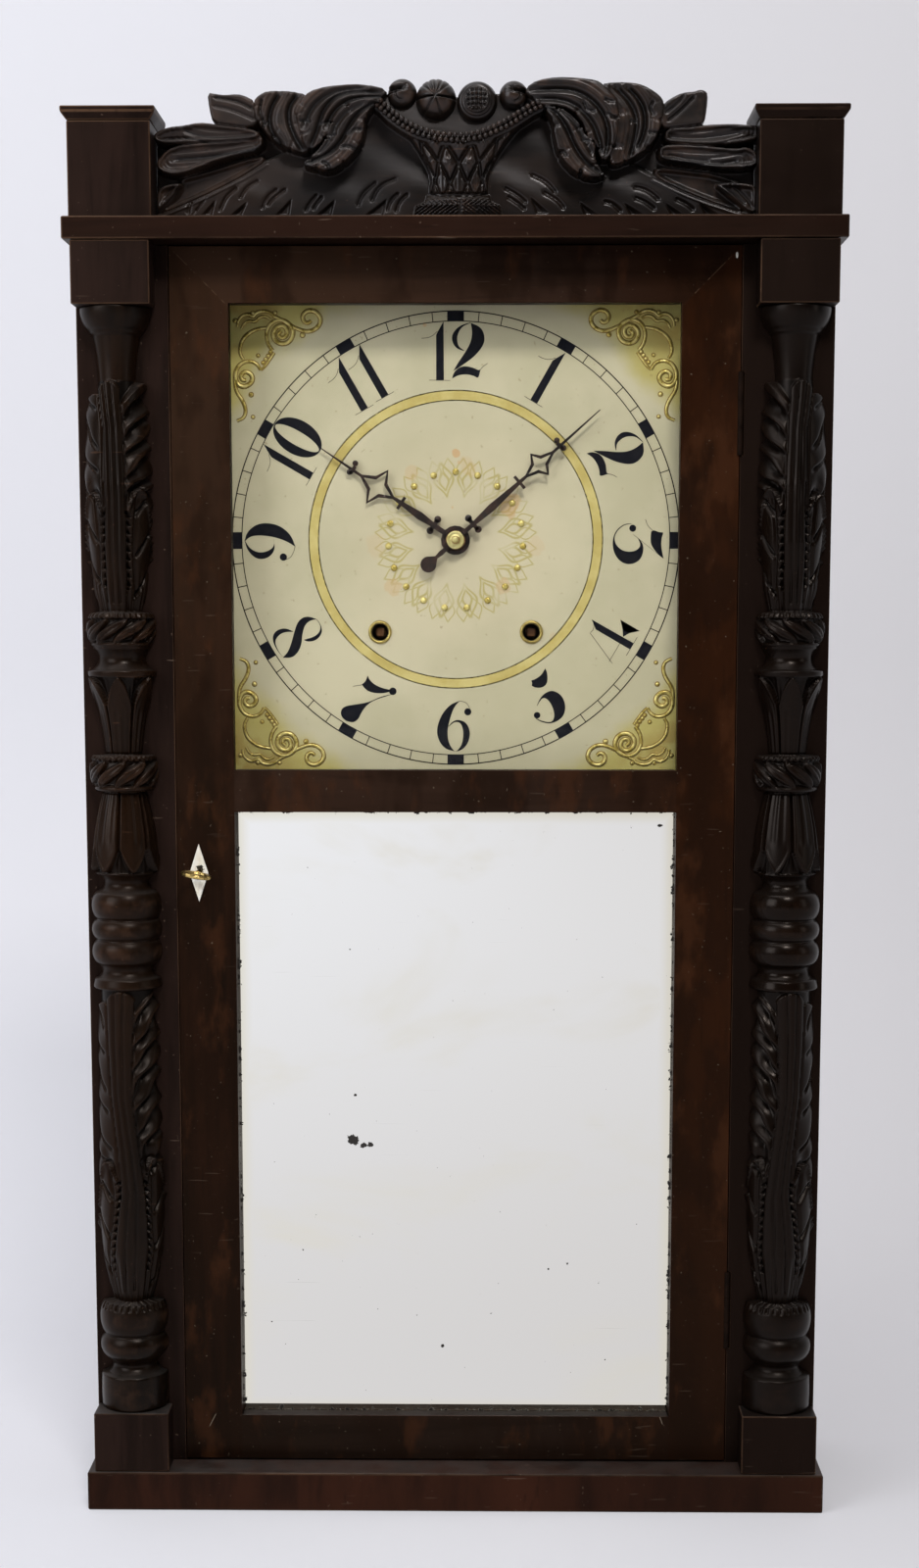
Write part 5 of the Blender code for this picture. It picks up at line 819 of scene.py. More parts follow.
def column_surface(z, angle):
    """Radius and relief value at each height and angle of the front half; a low value paints shade, a high one wear.
    """
    round_ = angle * MEAN_RADIUS
    radius = turned_radius(z)
    relief = 0.45 + 0.40 * soft_step(radius, 0.0205, 0.0219) * (z < 0.42)
    for shaft in LEAF_SHAFTS:
        carved, tops = leaf_shaft(z, round_, *shaft)
        here = (z >= shaft[0][0]) & (z < shaft[0][1])
        radius = np.where(here, carved, radius)
        relief = np.where(here, tops, relief)
    for ring in RINGS:
        cut, tops = twisted_ring(z, round_, *ring)
        radius = radius - cut
        relief = np.where(tops > 0, tops, relief)
    for leaves in TULIPS:
        lift, tops = pointed_leaves(z, angle, *leaves)
        radius = radius + lift
        relief = np.where(tops > 0, tops, relief)
    low, high = FOOT_NOTCHES
    notch = (z > low) & (z < high) & (np.cos(2 * np.pi * round_ / 0.0042) > 0.55)
    return np.clip(radius - 0.0014 * notch, 0.004, GREATEST_RADIUS), relief


def build_column(name, mirrored):
    heights = np.linspace(COLUMN_LOW[2], COLUMN_HIGH[2], COLUMN_ROWS)
    angles = np.linspace(-math.pi / 2, math.pi / 2, COLUMN_TURNS)
    z, angle = np.meshgrid(heights, angles, indexing="ij")
    radius, relief = column_surface(z, angle)
    x = radius * np.sin(angle) - COLUMN_X
    verts = np.stack([-x if mirrored else x, COLUMN_Y - radius * np.cos(angle), z], axis=-1).reshape(-1, 3)
    names = np.arange(COLUMN_ROWS * COLUMN_TURNS).reshape(COLUMN_ROWS, COLUMN_TURNS)
    quads = np.stack([names[:-1, :-1], names[:-1, 1:], names[1:, 1:], names[1:, :-1]], axis=-1).reshape(-1, 4)
    backs = np.stack([names[:-1, -1], names[:-1, 0], names[1:, 0], names[1:, -1]], axis=-1)
    faces = quads.tolist() + backs.tolist() + [names[0, ::-1].tolist(), names[-1].tolist()]
    if mirrored:
        faces = [face[::-1] for face in faces]
    column = from_lists(name + "_carved", verts.tolist(), faces, [CARVED_WOOD])
    column.data.polygons.foreach_set("use_smooth", [i < len(quads) for i in range(len(faces))])
    mark_relief(column, relief)
    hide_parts(name)
    return settle(column, name + "_carved", "case")


for name, mirrored in (("column_left", False), ("column_right", True)):
    build_column(name, mirrored)

# %% [markdown]
# ## The carved crest
# Leaves curl outward from a basket of fruit. Their points were picked in two enlarged views of the
# photo, one for each side, and `on_board` turns them into millimetres. The lowest leaf is laid first and each
# later one covers it, the way a carver sees them. Veins are cut into one leaf at a time: a name, a depth, and
# the line that the gouge follows. The basket and the ground are in millimetres from the start.

# %% Leaf outlines and veins
LEFT_VIEW, RIGHT_VIEW, VIEW_TOP, VIEW_ZOOM = 150.0, 460.0, 60.0, 4.752
ACROSS, UP, LEAN = 0.58882, 0.568335, 0.00162  # mm on the board for one pixel of the photo
MIDDLE_AT, CORNICE_AT = 273.375, 128.445


def spot_on_board(column, row):
    """Millimetres from the middle of the clock and above the cornice, for one place in the photo."""
    return round(ACROSS * column - MIDDLE_AT, 1), round(CORNICE_AT - UP * row - LEAN * column, 1)


def on_board(points, view):
    """The same for points picked in one of the two enlarged views."""
    return [spot_on_board(view + x / VIEW_ZOOM, VIEW_TOP + y / VIEW_ZOOM) for x, y in points]


LEFT_LEAVES = (
    ("hollow", ((130, 560), (300, 515), (540, 435), (578, 470), (470, 545), (330, 620), (180, 690),
        (60, 740), (40, 738), (75, 680), (120, 640), (150, 595))),
    ("low finger", ((33, 640), (60, 605), (110, 590), (168, 590), (130, 640), (85, 690), (45, 740),
        (33, 740))),
    ("middle finger", ((33, 500), (60, 455), (120, 405), (250, 392), (400, 380), (520, 355), (565, 350),
        (560, 430), (420, 460), (330, 490), (200, 545), (120, 562), (50, 540))),
    ("top finger", ((25, 380), (30, 345), (90, 315), (180, 305), (250, 290), (320, 298), (420, 310),
        (540, 330), (560, 375), (400, 390), (250, 395), (120, 405), (60, 402))),
    ("flame", ((294, 148), (340, 155), (380, 160), (440, 154), (480, 165), (525, 190), (545, 300),
        (500, 325), (420, 312), (320, 300), (303, 230))),
    ("outer leaf", ((520, 195), (545, 165), (590, 143), (700, 145), (775, 160), (800, 200), (760, 260),
        (770, 330), (800, 430), (770, 457), (700, 440), (655, 418), (600, 375), (560, 330), (530, 290),
        (520, 240))),
    ("middle leaf", ((755, 195), (790, 150), (880, 125), (1000, 114), (1080, 118), (1165, 140),
        (1170, 200), (1100, 195), (1010, 205), (945, 245), (905, 290), (890, 335), (875, 375), (835, 425),
        (792, 445), (768, 425), (742, 350), (736, 300), (715, 255), (735, 215))),
    ("inner leaf", ((1165, 200), (1128, 208), (1092, 238), (1067, 280), (1057, 350), (1042, 410),
        (1020, 450), (960, 512), (890, 555), (820, 542), (748, 515), (800, 475), (850, 420), (876, 370),
        (888, 330), (903, 290), (940, 240), (1010, 198), (1090, 184))),
)
LEFT_VEINS = (
    ("top finger", 1.2, ((60, 378), (180, 366), (310, 398))),
    ("top finger", 1, ((160, 305), (200, 348), (330, 372), (510, 364))),
    ("middle finger", 1.5, ((115, 477), (300, 462), (440, 440), (540, 422))),
    ("low finger", 1, ((70, 690), (110, 640), (150, 612))),
    ("low finger", 0.8, ((75, 660), (120, 610))),
    ("flame", 1.3, ((330, 172), (440, 190), (520, 232))),
    ("flame", 1, ((325, 215), (420, 235), (530, 285))),
    ("outer leaf", 2, ((645, 160), (605, 225), (592, 300), (612, 360), (655, 412))),
    ("outer leaf", 1.4, ((560, 185), (548, 250), (575, 315))),
    ("outer leaf", 1.8, ((735, 165), (690, 225), (690, 300), (720, 380), (760, 445))),
    ("outer leaf", 1.2, ((560, 332), (582, 300))),
    ("middle leaf", 1.8, ((1150, 160), (1010, 150), (930, 168), (888, 205), (850, 262), (832, 340),
        (790, 435))),
    ("middle leaf", 1.4, ((1070, 132), (950, 145), (870, 172), (800, 235), (765, 330))),
    ("middle leaf", 1.6, ((1160, 180), (1040, 178), (960, 205), (900, 262), (872, 330))),
    ("middle leaf", 1.2, ((742, 298), (800, 300))),
    ("middle leaf", 1.2, ((830, 318), (880, 300))),
    ("inner leaf", 2, ((1130, 205), (1045, 240), (985, 320), (950, 395), (885, 465), (765, 515))),
    ("inner leaf", 1.2, ((1060, 215), (985, 245), (925, 310), (890, 400), (830, 470))),
    ("inner leaf", 1.2, ((1035, 458), (990, 425), (940, 430))),
    ("inner leaf", 1.2, ((1050, 345), (1010, 340), (975, 370))),
    ("inner leaf", 1.2, ((890, 553), (885, 520), (850, 500))),
    ("inner leaf", 1.2, ((870, 368), (905, 375), (925, 362))),
)
RIGHT_LEAVES = (
    ("hollow", ((1000, 495), (1150, 512), (1300, 530), (1440, 585), (1400, 640), (1440, 735), (1380, 722),
        (1250, 675), (1100, 612), (985, 552))),
    ("low finger", ((1280, 590), (1360, 583), (1440, 588), (1492, 600), (1500, 680), (1497, 742),
        (1450, 742), (1410, 700), (1340, 640))),
    ("middle finger", ((1015, 400), (1150, 398), (1280, 408), (1380, 420), (1440, 408), (1490, 438),
        (1502, 480), (1485, 515), (1400, 527), (1300, 522), (1150, 502), (1040, 487), (1005, 460))),
    ("top finger", ((1040, 320), (1130, 316), (1228, 303), (1290, 300), (1365, 298), (1440, 303),
        (1503, 308), (1507, 372), (1440, 395), (1350, 402), (1250, 412), (1150, 402), (1030, 395))),
    ("flame", ((1025, 210), (1060, 178), (1120, 148), (1180, 144), (1203, 134), (1228, 138), (1244, 155),
        (1240, 230), (1228, 303), (1180, 312), (1100, 322), (1020, 330), (1015, 270))),
    ("outer leaf", ((720, 112), (800, 100), (900, 105), (960, 130), (1010, 165), (1032, 200), (1027, 260),
        (1012, 350), (962, 430), (882, 482), (830, 507), (778, 517), (765, 480), (785, 430), (800, 340),
        (800, 240), (770, 170))),
    ("middle leaf", ((362, 132), (420, 95), (510, 80), (620, 84), (700, 94), (735, 115), (782, 168),
        (805, 200), (814, 260), (813, 340), (793, 430), (762, 487), (733, 497), (718, 470), (700, 405),
        (652, 372), (645, 322), (600, 262), (540, 228), (400, 222), (365, 190))),
    ("inner leaf", ((440, 222), (500, 226), (560, 243), (640, 325), (652, 372), (702, 402), (700, 480),
        (722, 530), (757, 572), (700, 585), (638, 577), (568, 532), (518, 462), (498, 380), (492, 300),
        (468, 260))),
)
RIGHT_VEINS = (
    ("top finger", 1.2, ((1050, 362), (1160, 378), (1290, 362), (1420, 340))),
    ("top finger", 1, ((1255, 412), (1360, 385), (1480, 352))),
    ("middle finger", 1.5, ((1045, 483), (1180, 498), (1300, 500), (1400, 480))),
    ("middle finger", 1, ((1050, 450), (1150, 475), (1260, 480))),
    ("low finger", 1.2, ((1300, 590), (1380, 640), (1440, 700))),
    ("low finger", 0.8, ((1360, 590), (1430, 650), (1480, 720))),
    ("flame", 1.3, ((1050, 290), (1110, 240), (1180, 165))),
    ("flame", 1, ((1040, 250), (1100, 200), (1130, 160))),
    ("outer leaf", 2, ((855, 130), (912, 185), (942, 260), (938, 350), (900, 432))),
    ("outer leaf", 1.6, ((800, 130), (870, 200), (905, 290), (890, 400), (870, 475))),
    ("outer leaf", 1.2, ((980, 190), (960, 230), (985, 270))),
    ("outer leaf", 1.2, ((865, 292), (905, 300))),
    ("outer leaf", 1.2, ((955, 350), (1005, 355))),
    ("middle leaf", 1.8, ((385, 148), (560, 138), (650, 168), (715, 225), (755, 300), (765, 390),
        (745, 485))),
    ("middle leaf", 1.6, ((400, 188), (540, 190), (625, 232), (690, 310), (720, 400), (735, 470))),
    ("middle leaf", 1.2, ((740, 190), (790, 205))),
    ("middle leaf", 1.2, ((640, 200), (655, 245), (700, 250))),
    ("middle leaf", 1.2, ((755, 260), (805, 290))),
    ("inner leaf", 2, ((445, 225), (510, 255), (560, 330), (600, 430), (660, 515), (750, 570))),
    ("inner leaf", 1.2, ((520, 240), (600, 300), (640, 380), (690, 470))),
    ("inner leaf", 1.2, ((520, 455), (545, 450), (560, 480))),
    ("inner leaf", 1.2, ((628, 575), (630, 540))),
    ("inner leaf", 1.2, ((630, 395), (680, 400))),
)
LEFT_GOUGES = (
    ((535, 572), (470, 610), (440, 668)), ((430, 610), (375, 650), (340, 730)),
    ((625, 615), (570, 660), (548, 720)), ((668, 615), (600, 665), (575, 705)),
    ((820, 645), (780, 690), (762, 730)), ((845, 655), (815, 690), (800, 722)),
    ((1110, 580), (1040, 640), (1018, 705)), ((1210, 562), (1120, 600), (1085, 680)),
    ((1220, 638), (1180, 670), (1160, 730)), ((1265, 640), (1220, 680), (1205, 735)),
    ((205, 680), (190, 710), (185, 742)),
)
RIGHT_GOUGES = (
    ((390, 540), (470, 580), (515, 640)), ((450, 630), (520, 670), (555, 718)),
    ((260, 610), (330, 650), (370, 690)), ((275, 655), (330, 690), (365, 722)),
    ((890, 605), (960, 620), (1020, 675)), ((895, 660), (950, 680), (1000, 722)),
    ((1095, 665), (1150, 690), (1190, 725)), ((745, 680), (790, 690), (835, 735)),
)
LEFT_NOTCHES = (
    ((475, 685), (400, 750), (445, 750)), ((692, 670), (620, 750), (680, 750)),
    ((905, 675), (820, 750), (885, 750)), ((1160, 670), (1060, 750), (1140, 750)),
    ((320, 675), (255, 750), (300, 750)), ((285, 655), (222, 722), (212, 750)),
)
RIGHT_NOTCHES = (
    ((385, 655), (420, 740), (475, 740)), ((630, 685), (655, 750), (715, 750)),
    ((845, 690), (880, 750), (938, 750)), ((1045, 688), (1080, 750), (1135, 750)),
    ((1215, 690), (1245, 750), (1305, 750)),
)
BASKET_MIDDLE = 2.4
RIM_REACH = (0.0, 25.0, 48.0)
LEAF_HEIGHTS = {"hollow": -2.5, "low finger": 3.5, "middle finger": 6.0, "top finger": 7.5, "flame": 8.5,
                "outer leaf": 11.0, "middle leaf": 13.5, "inner leaf": 15.5}
LEFT_RIDGE = ((575, 478), (470, 545), (330, 620), (180, 690), (50, 742))
RIGHT_RIDGE = ((985, 553), (1100, 615), (1250, 677), (1430, 735))
SIDES = (
    (LEFT_VIEW, LEFT_LEAVES, LEFT_VEINS, LEFT_GOUGES, LEFT_NOTCHES, LEFT_RIDGE),
    (RIGHT_VIEW, RIGHT_LEAVES, RIGHT_VEINS, RIGHT_GOUGES, RIGHT_NOTCHES, RIGHT_RIDGE),
)
RIM_PICKS = ((387, 106), (400, 119), (421, 134), (444, 141.5), (465, 143.5), (487, 142), (515, 130), (540, 112.5),
             (550, 107))
BASKET_RIM = [spot_on_board(*pick) for pick in RIM_PICKS]
BASKET_BODY = ((-39.5, 61.0), (-31.0, 54.0), (-24.3, 45.9), (-17.5, 34.0), (-14.3, 26.6), (-15.6, 14.0),
               (19.5, 14.0), (20.0, 26.6), (23.0, 34.0), (29.5, 45.0), (37.5, 54.5), (44.0, 61.5), (29.9, 53.2),
               (13.4, 46.6), (0.4, 45.6), (-11.9, 46.8), (-25.5, 51.0))
BASKET_MOUTH = ((-46.0, 69.0), *BASKET_RIM[1:-1], (50.5, 67.5), (42.0, 76.0), (30.0, 75.0), (16.0, 76.0),
                (4.0, 72.5), (-10.0, 76.0), (-24.0, 73.0), (-40.0, 76.0))
BASKET_FOOT = ((-25.5, -0.2), (-23.5, 9.0), (-17.6, 11.6), (-16.8, 15.6), (20.6, 15.6), (21.4, 11.6), (27.0, 9.0),
               (29.0, -0.2))
GROUND = ((-181.2, -0.2), (-181.2, 50.0), (-172.0, 54.5), (-148.0, 56.5), (-132.0, 68.0), (-108.0, 72.0),
          (-60.0, 72.0), (-30.0, 72.0), (20.0, 72.0), (56.0, 74.0), (100.0, 76.0), (121.0, 68.0), (128.0, 62.0),
          (146.0, 60.0), (154.0, 56.0), (181.2, 55.5), (181.2, -0.2))

# %% [markdown]
# The relief is a grid of heights over the board's face. Each patch measures how far a point lies inside its
# outline: the height rolls off near the edge, and the point takes the patch's height once it is inside.
# Cells outside every patch are dropped, and the border points slide onto the outline itself.


# %% Carving tools
def rounded(points, closed=True, passes=2):
    line = np.asarray(points, dtype=float)
    for _ in range(passes):
        after = np.roll(line, -1, axis=0)
        cut = np.stack([line * 0.75 + after * 0.25, line * 0.25 + after * 0.75], axis=1)
        wide = line.shape[1]
        if closed:
            line = cut.reshape(-1, wide)
        else:
            line = np.concatenate([line[:1], cut[:-1].reshape(-1, wide), line[-1:]])
    return line


def along_line(x, h, line, closed=False):
    """Distance to the nearest point of a line, and how far along that is (0 to 1)."""
    ends = np.roll(line, -1, axis=0) if closed else line[1:]
    starts = line if closed else line[:-1]
    best = np.full(x.shape, 1e9)
    share = np.zeros(x.shape)
    for i, (a, b) in enumerate(zip(starts, ends)):
        run = b - a
        t = np.clip(((x - a[0]) * run[0] + (h - a[1]) * run[1]) / max(run @ run, 1e-9), 0.0, 1.0)
        apart = np.hypot(x - a[0] - t * run[0], h - a[1] - t * run[1])
        nearer = apart < best
        best = np.where(nearer, apart, best)
        share = np.where(nearer, (i + t) / len(starts), share)
    return best, share


def inside_by(x, h, outline):
    """Signed distance to an outline, positive inside it."""
    distance = along_line(x, h, outline, closed=True)[0]
    crossings = np.zeros(x.shape, dtype=int)
    for a, b in zip(outline, np.roll(outline, -1, axis=0)):
        if a[1] != b[1]:
            reach = a[0] + (h - a[1]) / (b[1] - a[1]) * (b[0] - a[0])
            crossings += ((a[1] > h) != (b[1] > h)) & (x < reach)
    return np.where(crossings % 2 == 1, distance, -distance)


def gouge(x, h, points, depth, width, passes=2):
    """One cut: full in its middle, running out at both ends."""
    distance, share = along_line(x, h, rounded(points, False, passes))
    taper = np.clip(np.minimum(share, 1 - share) * 6.0 + 0.25, 0.0, 1.0)
    return depth * taper * np.exp(-(distance / (width * (0.5 + 0.5 * taper))) ** 1.3)


class Relief:
    """Height, relief value (high where worn, low where shade is painted) and distance inside the outline
    at each point of the board.
    """

    def __init__(self, x, h):
        self.x = x
        self.h = h
        self.reach = np.full(x.shape, -1e9)
        self.height = np.zeros(x.shape)
        self.tops = np.full(x.shape, 0.4)

    def lay(self, outline, surface, tops, edge_drop=3.0, roll=3.5, passes=2, bite=0.0):
        """Puts one patch on top; its border drops by edge_drop over the width of the roll."""
        inside = inside_by(self.x, self.h, rounded(outline, passes=passes)) - bite
        fall = 1.0 - np.clip(inside / roll, 0.0, 1.0)
        surface = surface - edge_drop * (1.0 - np.sqrt(1.0 - fall ** 2 * 0.96))
        first = (self.reach < 0) & (inside > self.reach)
        cover = np.where(first, 1.0, soft_step(inside, -0.35, 0.35))
        self.height = self.height * (1 - cover) + surface * cover
        self.tops = self.tops * (1 - cover) + tops * cover
        self.reach = np.maximum(self.reach, inside)


# %% The relief
def lay_leaves(relief, view, leaves, veins):
    x, h = relief.x, relief.h
    for name, picks in leaves:
        outline = on_board(picks, view)
        cuts = [(depth, on_board(line, view)) for leaf, depth, line in veins if leaf == name]
        cut = np.zeros(x.shape)
        nearest = np.full(x.shape, 9.0)
        for depth, line in cuts:
            long_vein = len(line) > 3
            deeper, width = (1.45, 0.80) if long_vein else (1.8, 0.75)
            cut = np.maximum(cut, gouge(x, h, line, depth * deeper, width))
            if long_vein:
                nearest = np.minimum(nearest, along_line(x, h, rounded(line, False))[0])
        swell = 1.3 * (1.0 - hump(nearest, 0.0, 2.8))
        ripple = 0.34 * np.cos(nearest * 2 * np.pi / 2.6) * np.exp(-nearest / 8.0)
        surface = LEAF_HEIGHTS[name] + swell - cut + ripple
        bite = 0.0
        if "leaf" in name:
            line = rounded(outline)
            rim, share = along_line(x, h, line, closed=True)
            length = np.linalg.norm(np.roll(line, -1, axis=0) - line, axis=1).sum()
            lobes = round(length / 14.0)
            part = share_of(share * lobes) - 0.5
            under_top = soft_step(-h, -71.0, -66.0)
            bite = 1.1 * hump(part, 0.0, 0.05) * under_top * np.exp(-rim / 2.0)
            surface = surface - 1.6 * hump(part, 0.0, 0.055) * hump(rim, 0.0, 4.5) * under_top
        if "finger" in name or name == "hollow":
            edge = along_line(x, h, rounded(outline, passes=1), closed=True)[0]
            surface = surface - swell - 1.6 + 2.4 * hump(edge, 1.5, 1.4)
        tops = np.clip(0.50 + 0.3 * swell + 0.5 * ripple - 0.45 * cut, 0.0, 1.0)
        relief.lay(outline, surface, tops, 1.5 if name == "hollow" else 2.6, 1.7, 1, bite)


def ground_surface(x, h):
    """The board itself: a shallow pillow with fringe cuts, deep behind the fingers at both ends."""
    surface = 1.5 * hump(h, 14.0, 18.0) + 0.3 * np.sin(x * 0.11 + h * 0.2)
    fringe_top = np.interp(x, (-181.2, -178.9, -113.8, 0.0, 119.5, 174.7, 181.2),
                           (5.0, 5.3, 36.7, 90.0, 27.1, 5.2, 4.5))
    surface = surface - 6.5 * soft_step(h - fringe_top, -0.5, 3.0)
    surface = surface - 1.2 * soft_step(-h, -3.0, 0.5)
    for view, _, _, gouges, notches, ridge in SIDES:
        for line in gouges:
            surface = surface - gouge(x, h, on_board(line, view), 2.1, 0.85)
        for notch in notches:
            surface = surface - 2.4 * soft_step(inside_by(x, h, np.array(on_board(notch, view))), -0.5, 0.9)
        for offset in (0.0, 2.4):
            line = rounded([(px, ph - offset) for px, ph in on_board(ridge, view)], False)
            surface = surface + 0.9 * hump(along_line(x, h, line)[0], 0.0, 0.55)
    return surface


def basket_surface(x, h):
    """Woven panels: two families of slanting lines with a floret in each diamond."""
    half = np.interp(h, (0.0, 14.0, 26.6, 34.0, 45.9, 61.0), (21.0, 18.0, 18.0, 21.0, 28.0, 42.0))
    across = np.clip((x - BASKET_MIDDLE) / half, -1.0, 1.0)
    surface = 3.5 + 8.5 * np.sqrt(1.0 - across ** 2 * 0.98) + 2.5 * soft_step(h, 20.0, 52.0)
    turn = np.arcsin(across) / math.pi * 5.2
    rise = (h - 32.6 - 4.0 * across ** 2) / 24.0
    first = turn + rise
    second = turn - rise
    near = np.minimum(np.abs(first - np.round(first)), np.abs(second - np.round(second)))
    surface = surface + 0.9 - 3.0 * hump(near, 0.0, 0.10)
    cell_u, cell_v = share_of(first) - 0.5, share_of(second) - 0.5
    spread = np.hypot(cell_u, cell_v)
    petals = 0.5 + 0.5 * np.cos(5 * np.arctan2(cell_v, cell_u))
    floret = hump(spread, 0.0, 0.20) * (0.5 + 0.9 * petals) - 0.9 * hump(spread, 0.0, 0.06)
    upper = soft_step(h, 28.0, 33.0)
    surface = surface + 1.5 * floret * upper
    stripes = 0.22 * np.cos(turn * 2 * np.pi * 4.0) * (1 - upper) * (near > 0.1)
    return surface + stripes, np.clip(0.45 + 0.5 * floret + 0.25 * (near > 0.12), 0, 1)


def foot_surface(x, h):
    """The laurel band round the foot: leaves slant outward above and below a middle line."""
    away = np.abs(x - 3.2)
    over = np.where(h > 8.2, 1.0, -1.0)
    part = share_of((away - 1.5 * np.abs(h - 8.2)) / 3.1 + 0.25 * over)
    leaf = 2.8 * soft_step(part, 0.0, 0.55) * (1 - soft_step(part, 0.72, 0.92))
    band = soft_step(h, 3.4, 4.2) * (1 - soft_step(h, 12.0, 12.6)) * (away > 1.0)
    stem = 0.9 * hump(h, 8.2, 0.4)
    half = np.interp(h, (0.0, 9.0, 12.0, 15.6), (27.0, 25.5, 20.5, 18.7))
    bulge = 7.5 * np.sqrt(1.0 - np.clip((x - 2.0) / half, -1.0, 1.0) ** 2 * 0.9)
    return 3.0 + bulge + band * (leaf + stem - 0.6) - 1.2 * soft_step(h, 12.8, 13.8), 0.35 + 0.3 * band * leaf


def lay_crest(x, h):
    relief = Relief(x, h)
    relief.lay(GROUND, ground_surface(x, h), 0.42, edge_drop=0.6, roll=1.5, passes=0)
    for view, leaves, veins, *_ in SIDES:
        lay_leaves(relief, view, leaves, veins)
    dish = 6.0 + 1.6 * soft_step(46 + 0.009 * (x - 2.0) ** 2 - h, -22.0, 0.0)
    relief.lay(BASKET_MOUTH, dish, 0.35, edge_drop=0.0)
    woven, florets = basket_surface(x, h)
    relief.lay(BASKET_BODY, woven, florets, edge_drop=0.8, roll=1.5, passes=1)
    foot, laurel = foot_surface(x, h)
    relief.lay(BASKET_FOOT, foot, laurel, edge_drop=0.8, roll=1.2, passes=0)
    rim = along_line(x, h, rounded(BASKET_RIM, False))[0]
    bead = np.sqrt(np.clip(1.0 - (rim / 3.6) ** 2, 0.0, 1.0))
    rim_height = np.interp(np.abs(x - BASKET_MIDDLE), RIM_REACH, (15.2, 14.2, 10.0))
    relief.height = np.where(rim < 3.5, np.maximum(relief.height, rim_height - 1.6 + 1.2 * bead), relief.height)
    return relief


# %% Building the crest
CREST_LOW, CREST_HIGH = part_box("crest_splat")
CREST_BACK = CREST_HIGH[1]
CREST_FACE = CREST_BACK - 0.010
CREST_FOOT = CREST_LOW[2]
GRID = 0.62
HALF_CREST = 181.2
CREST_RISE = 86.5
SHRINK = 0.000975


def build_crest():
    h, x = np.meshgrid(np.arange(0.0, CREST_RISE, GRID), np.arange(-HALF_CREST, HALF_CREST + 0.1, GRID),
                       indexing="ij")
    reach = lay_crest(x, h).reach
    grad_h, grad_x = np.gradient(reach, GRID)
    middle = (reach[:-1, :-1] + reach[1:, :-1] + reach[:-1, 1:] + reach[1:, 1:]) / 4
    solid = middle > 0
    for _ in range(3):
        down = solid[:-1, :-1] & solid[1:, 1:] & ~solid[1:, :-1] & ~solid[:-1, 1:]
        up = ~solid[:-1, :-1] & ~solid[1:, 1:] & solid[1:, :-1] & solid[:-1, 1:]
        solid[1:, :-1] |= down
        solid[:-1, :-1] |= up
    count = np.zeros(x.shape, dtype=int)
    before, after = slice(0, -1), slice(1, None)
    for rows, columns in ((before, before), (after, before), (before, after), (after, after)):
        count[rows, columns] += solid
    border = (count > 0) & (count < 4) & (h > 0.3) & (np.abs(x) < 180.9)
    steep = np.maximum(grad_x ** 2 + grad_h ** 2, 0.25)
    slide = np.where(border, np.clip(reach, -0.8, 0.8) / steep, 0.0)
    x2 = np.clip(x - slide * grad_x, -HALF_CREST, HALF_CREST)
    h2 = np.maximum(h - slide * grad_h, 0.0)
    relief = lay_crest(x2, h2)
    names = np.full(x.shape, -1)
    used = count > 0
    names[used] = np.arange(used.sum())
    verts = np.stack([x2[used] * MM, CREST_FACE - relief.height[used] * MM,
                      CREST_FOOT + h2[used] * SHRINK], axis=-1)
    quads = np.stack([names[:-1, :-1], names[:-1, 1:], names[1:, 1:], names[1:, :-1]], axis=-1)[solid]
    crest = from_lists("crest_carved", verts.tolist(), quads.tolist(), [CREST_WOOD])
    mark_relief(crest, relief.tops[used])
    shape = bmesh.new()
    shape.from_mesh(crest.data)
    rim = [edge for edge in shape.edges if edge.is_boundary]
    grown = bmesh.ops.extrude_edge_only(shape, edges=rim)["geom"]
    for vert in (item for item in grown if isinstance(item, bmesh.types.BMVert)):
        vert.co.y = CREST_BACK
    back_rim = [item for item in grown if isinstance(item, bmesh.types.BMEdge) and item.is_boundary]
    made = bmesh.ops.triangle_fill(shape, use_beauty=True, use_dissolve=False, edges=back_rim, normal=(0, 1, 0))
    for face in (item for item in made["geom"] if isinstance(item, bmesh.types.BMFace)):
        face.smooth = False
    bmesh.ops.recalc_face_normals(shape, faces=shape.faces)
    shape.to_mesh(crest.data)
    shape.free()
    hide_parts("crest_splat")
    return settle(crest, "crest_carved", "case")


build_crest()

# %% [markdown]
# ## Beads of the basket's rim
# Geometry Nodes run a flattened bead along two lines of the rim, turned a little so that the row reads as a
# rope.


# %% Geometry Nodes trees
GEOMETRY, WHOLE_NUMBER, MATERIAL = "NodeSocketGeometry", "NodeSocketInt", "NodeSocketMaterial"


def new_tree(name, **inputs):
    """An empty tree with the named inputs and a Finish, and the outputs of its start node."""
    tree = bpy.data.node_groups.new(name, "GeometryNodeTree")
    for label, kind in {**inputs, "Finish": MATERIAL}.items():
        tree.interface.new_socket(name=label, in_out="INPUT", socket_type=kind)
    tree.interface.new_socket(name="Geometry", in_out="OUTPUT", socket_type=GEOMETRY)
    return tree, node(tree, "NodeGroupInput").outputs


def close_tree(tree, geometry, finish, relief=None, smooth=False):
    """Makes the pieces real, marks how worn they are, and gives them their finish."""
    geometry = node(tree, "GeometryNodeRealizeInstances", {"Geometry": geometry}).outputs[0]
    if relief is not None:
        geometry = node(tree, "GeometryNodeStoreNamedAttribute",
                        {"Geometry": geometry, "Name": "relief", "Value": relief},
                        data_type="FLOAT", domain="POINT").outputs[0]
    if smooth:
        geometry = node(tree, "GeometryNodeSetShadeSmooth", {"Geometry": geometry}).outputs[0]
    geometry = node(tree, "GeometryNodeSetMaterial", {"Geometry": geometry, "Material": finish}).outputs[0]
    node(tree, "NodeGroupOutput", {"Geometry": geometry})


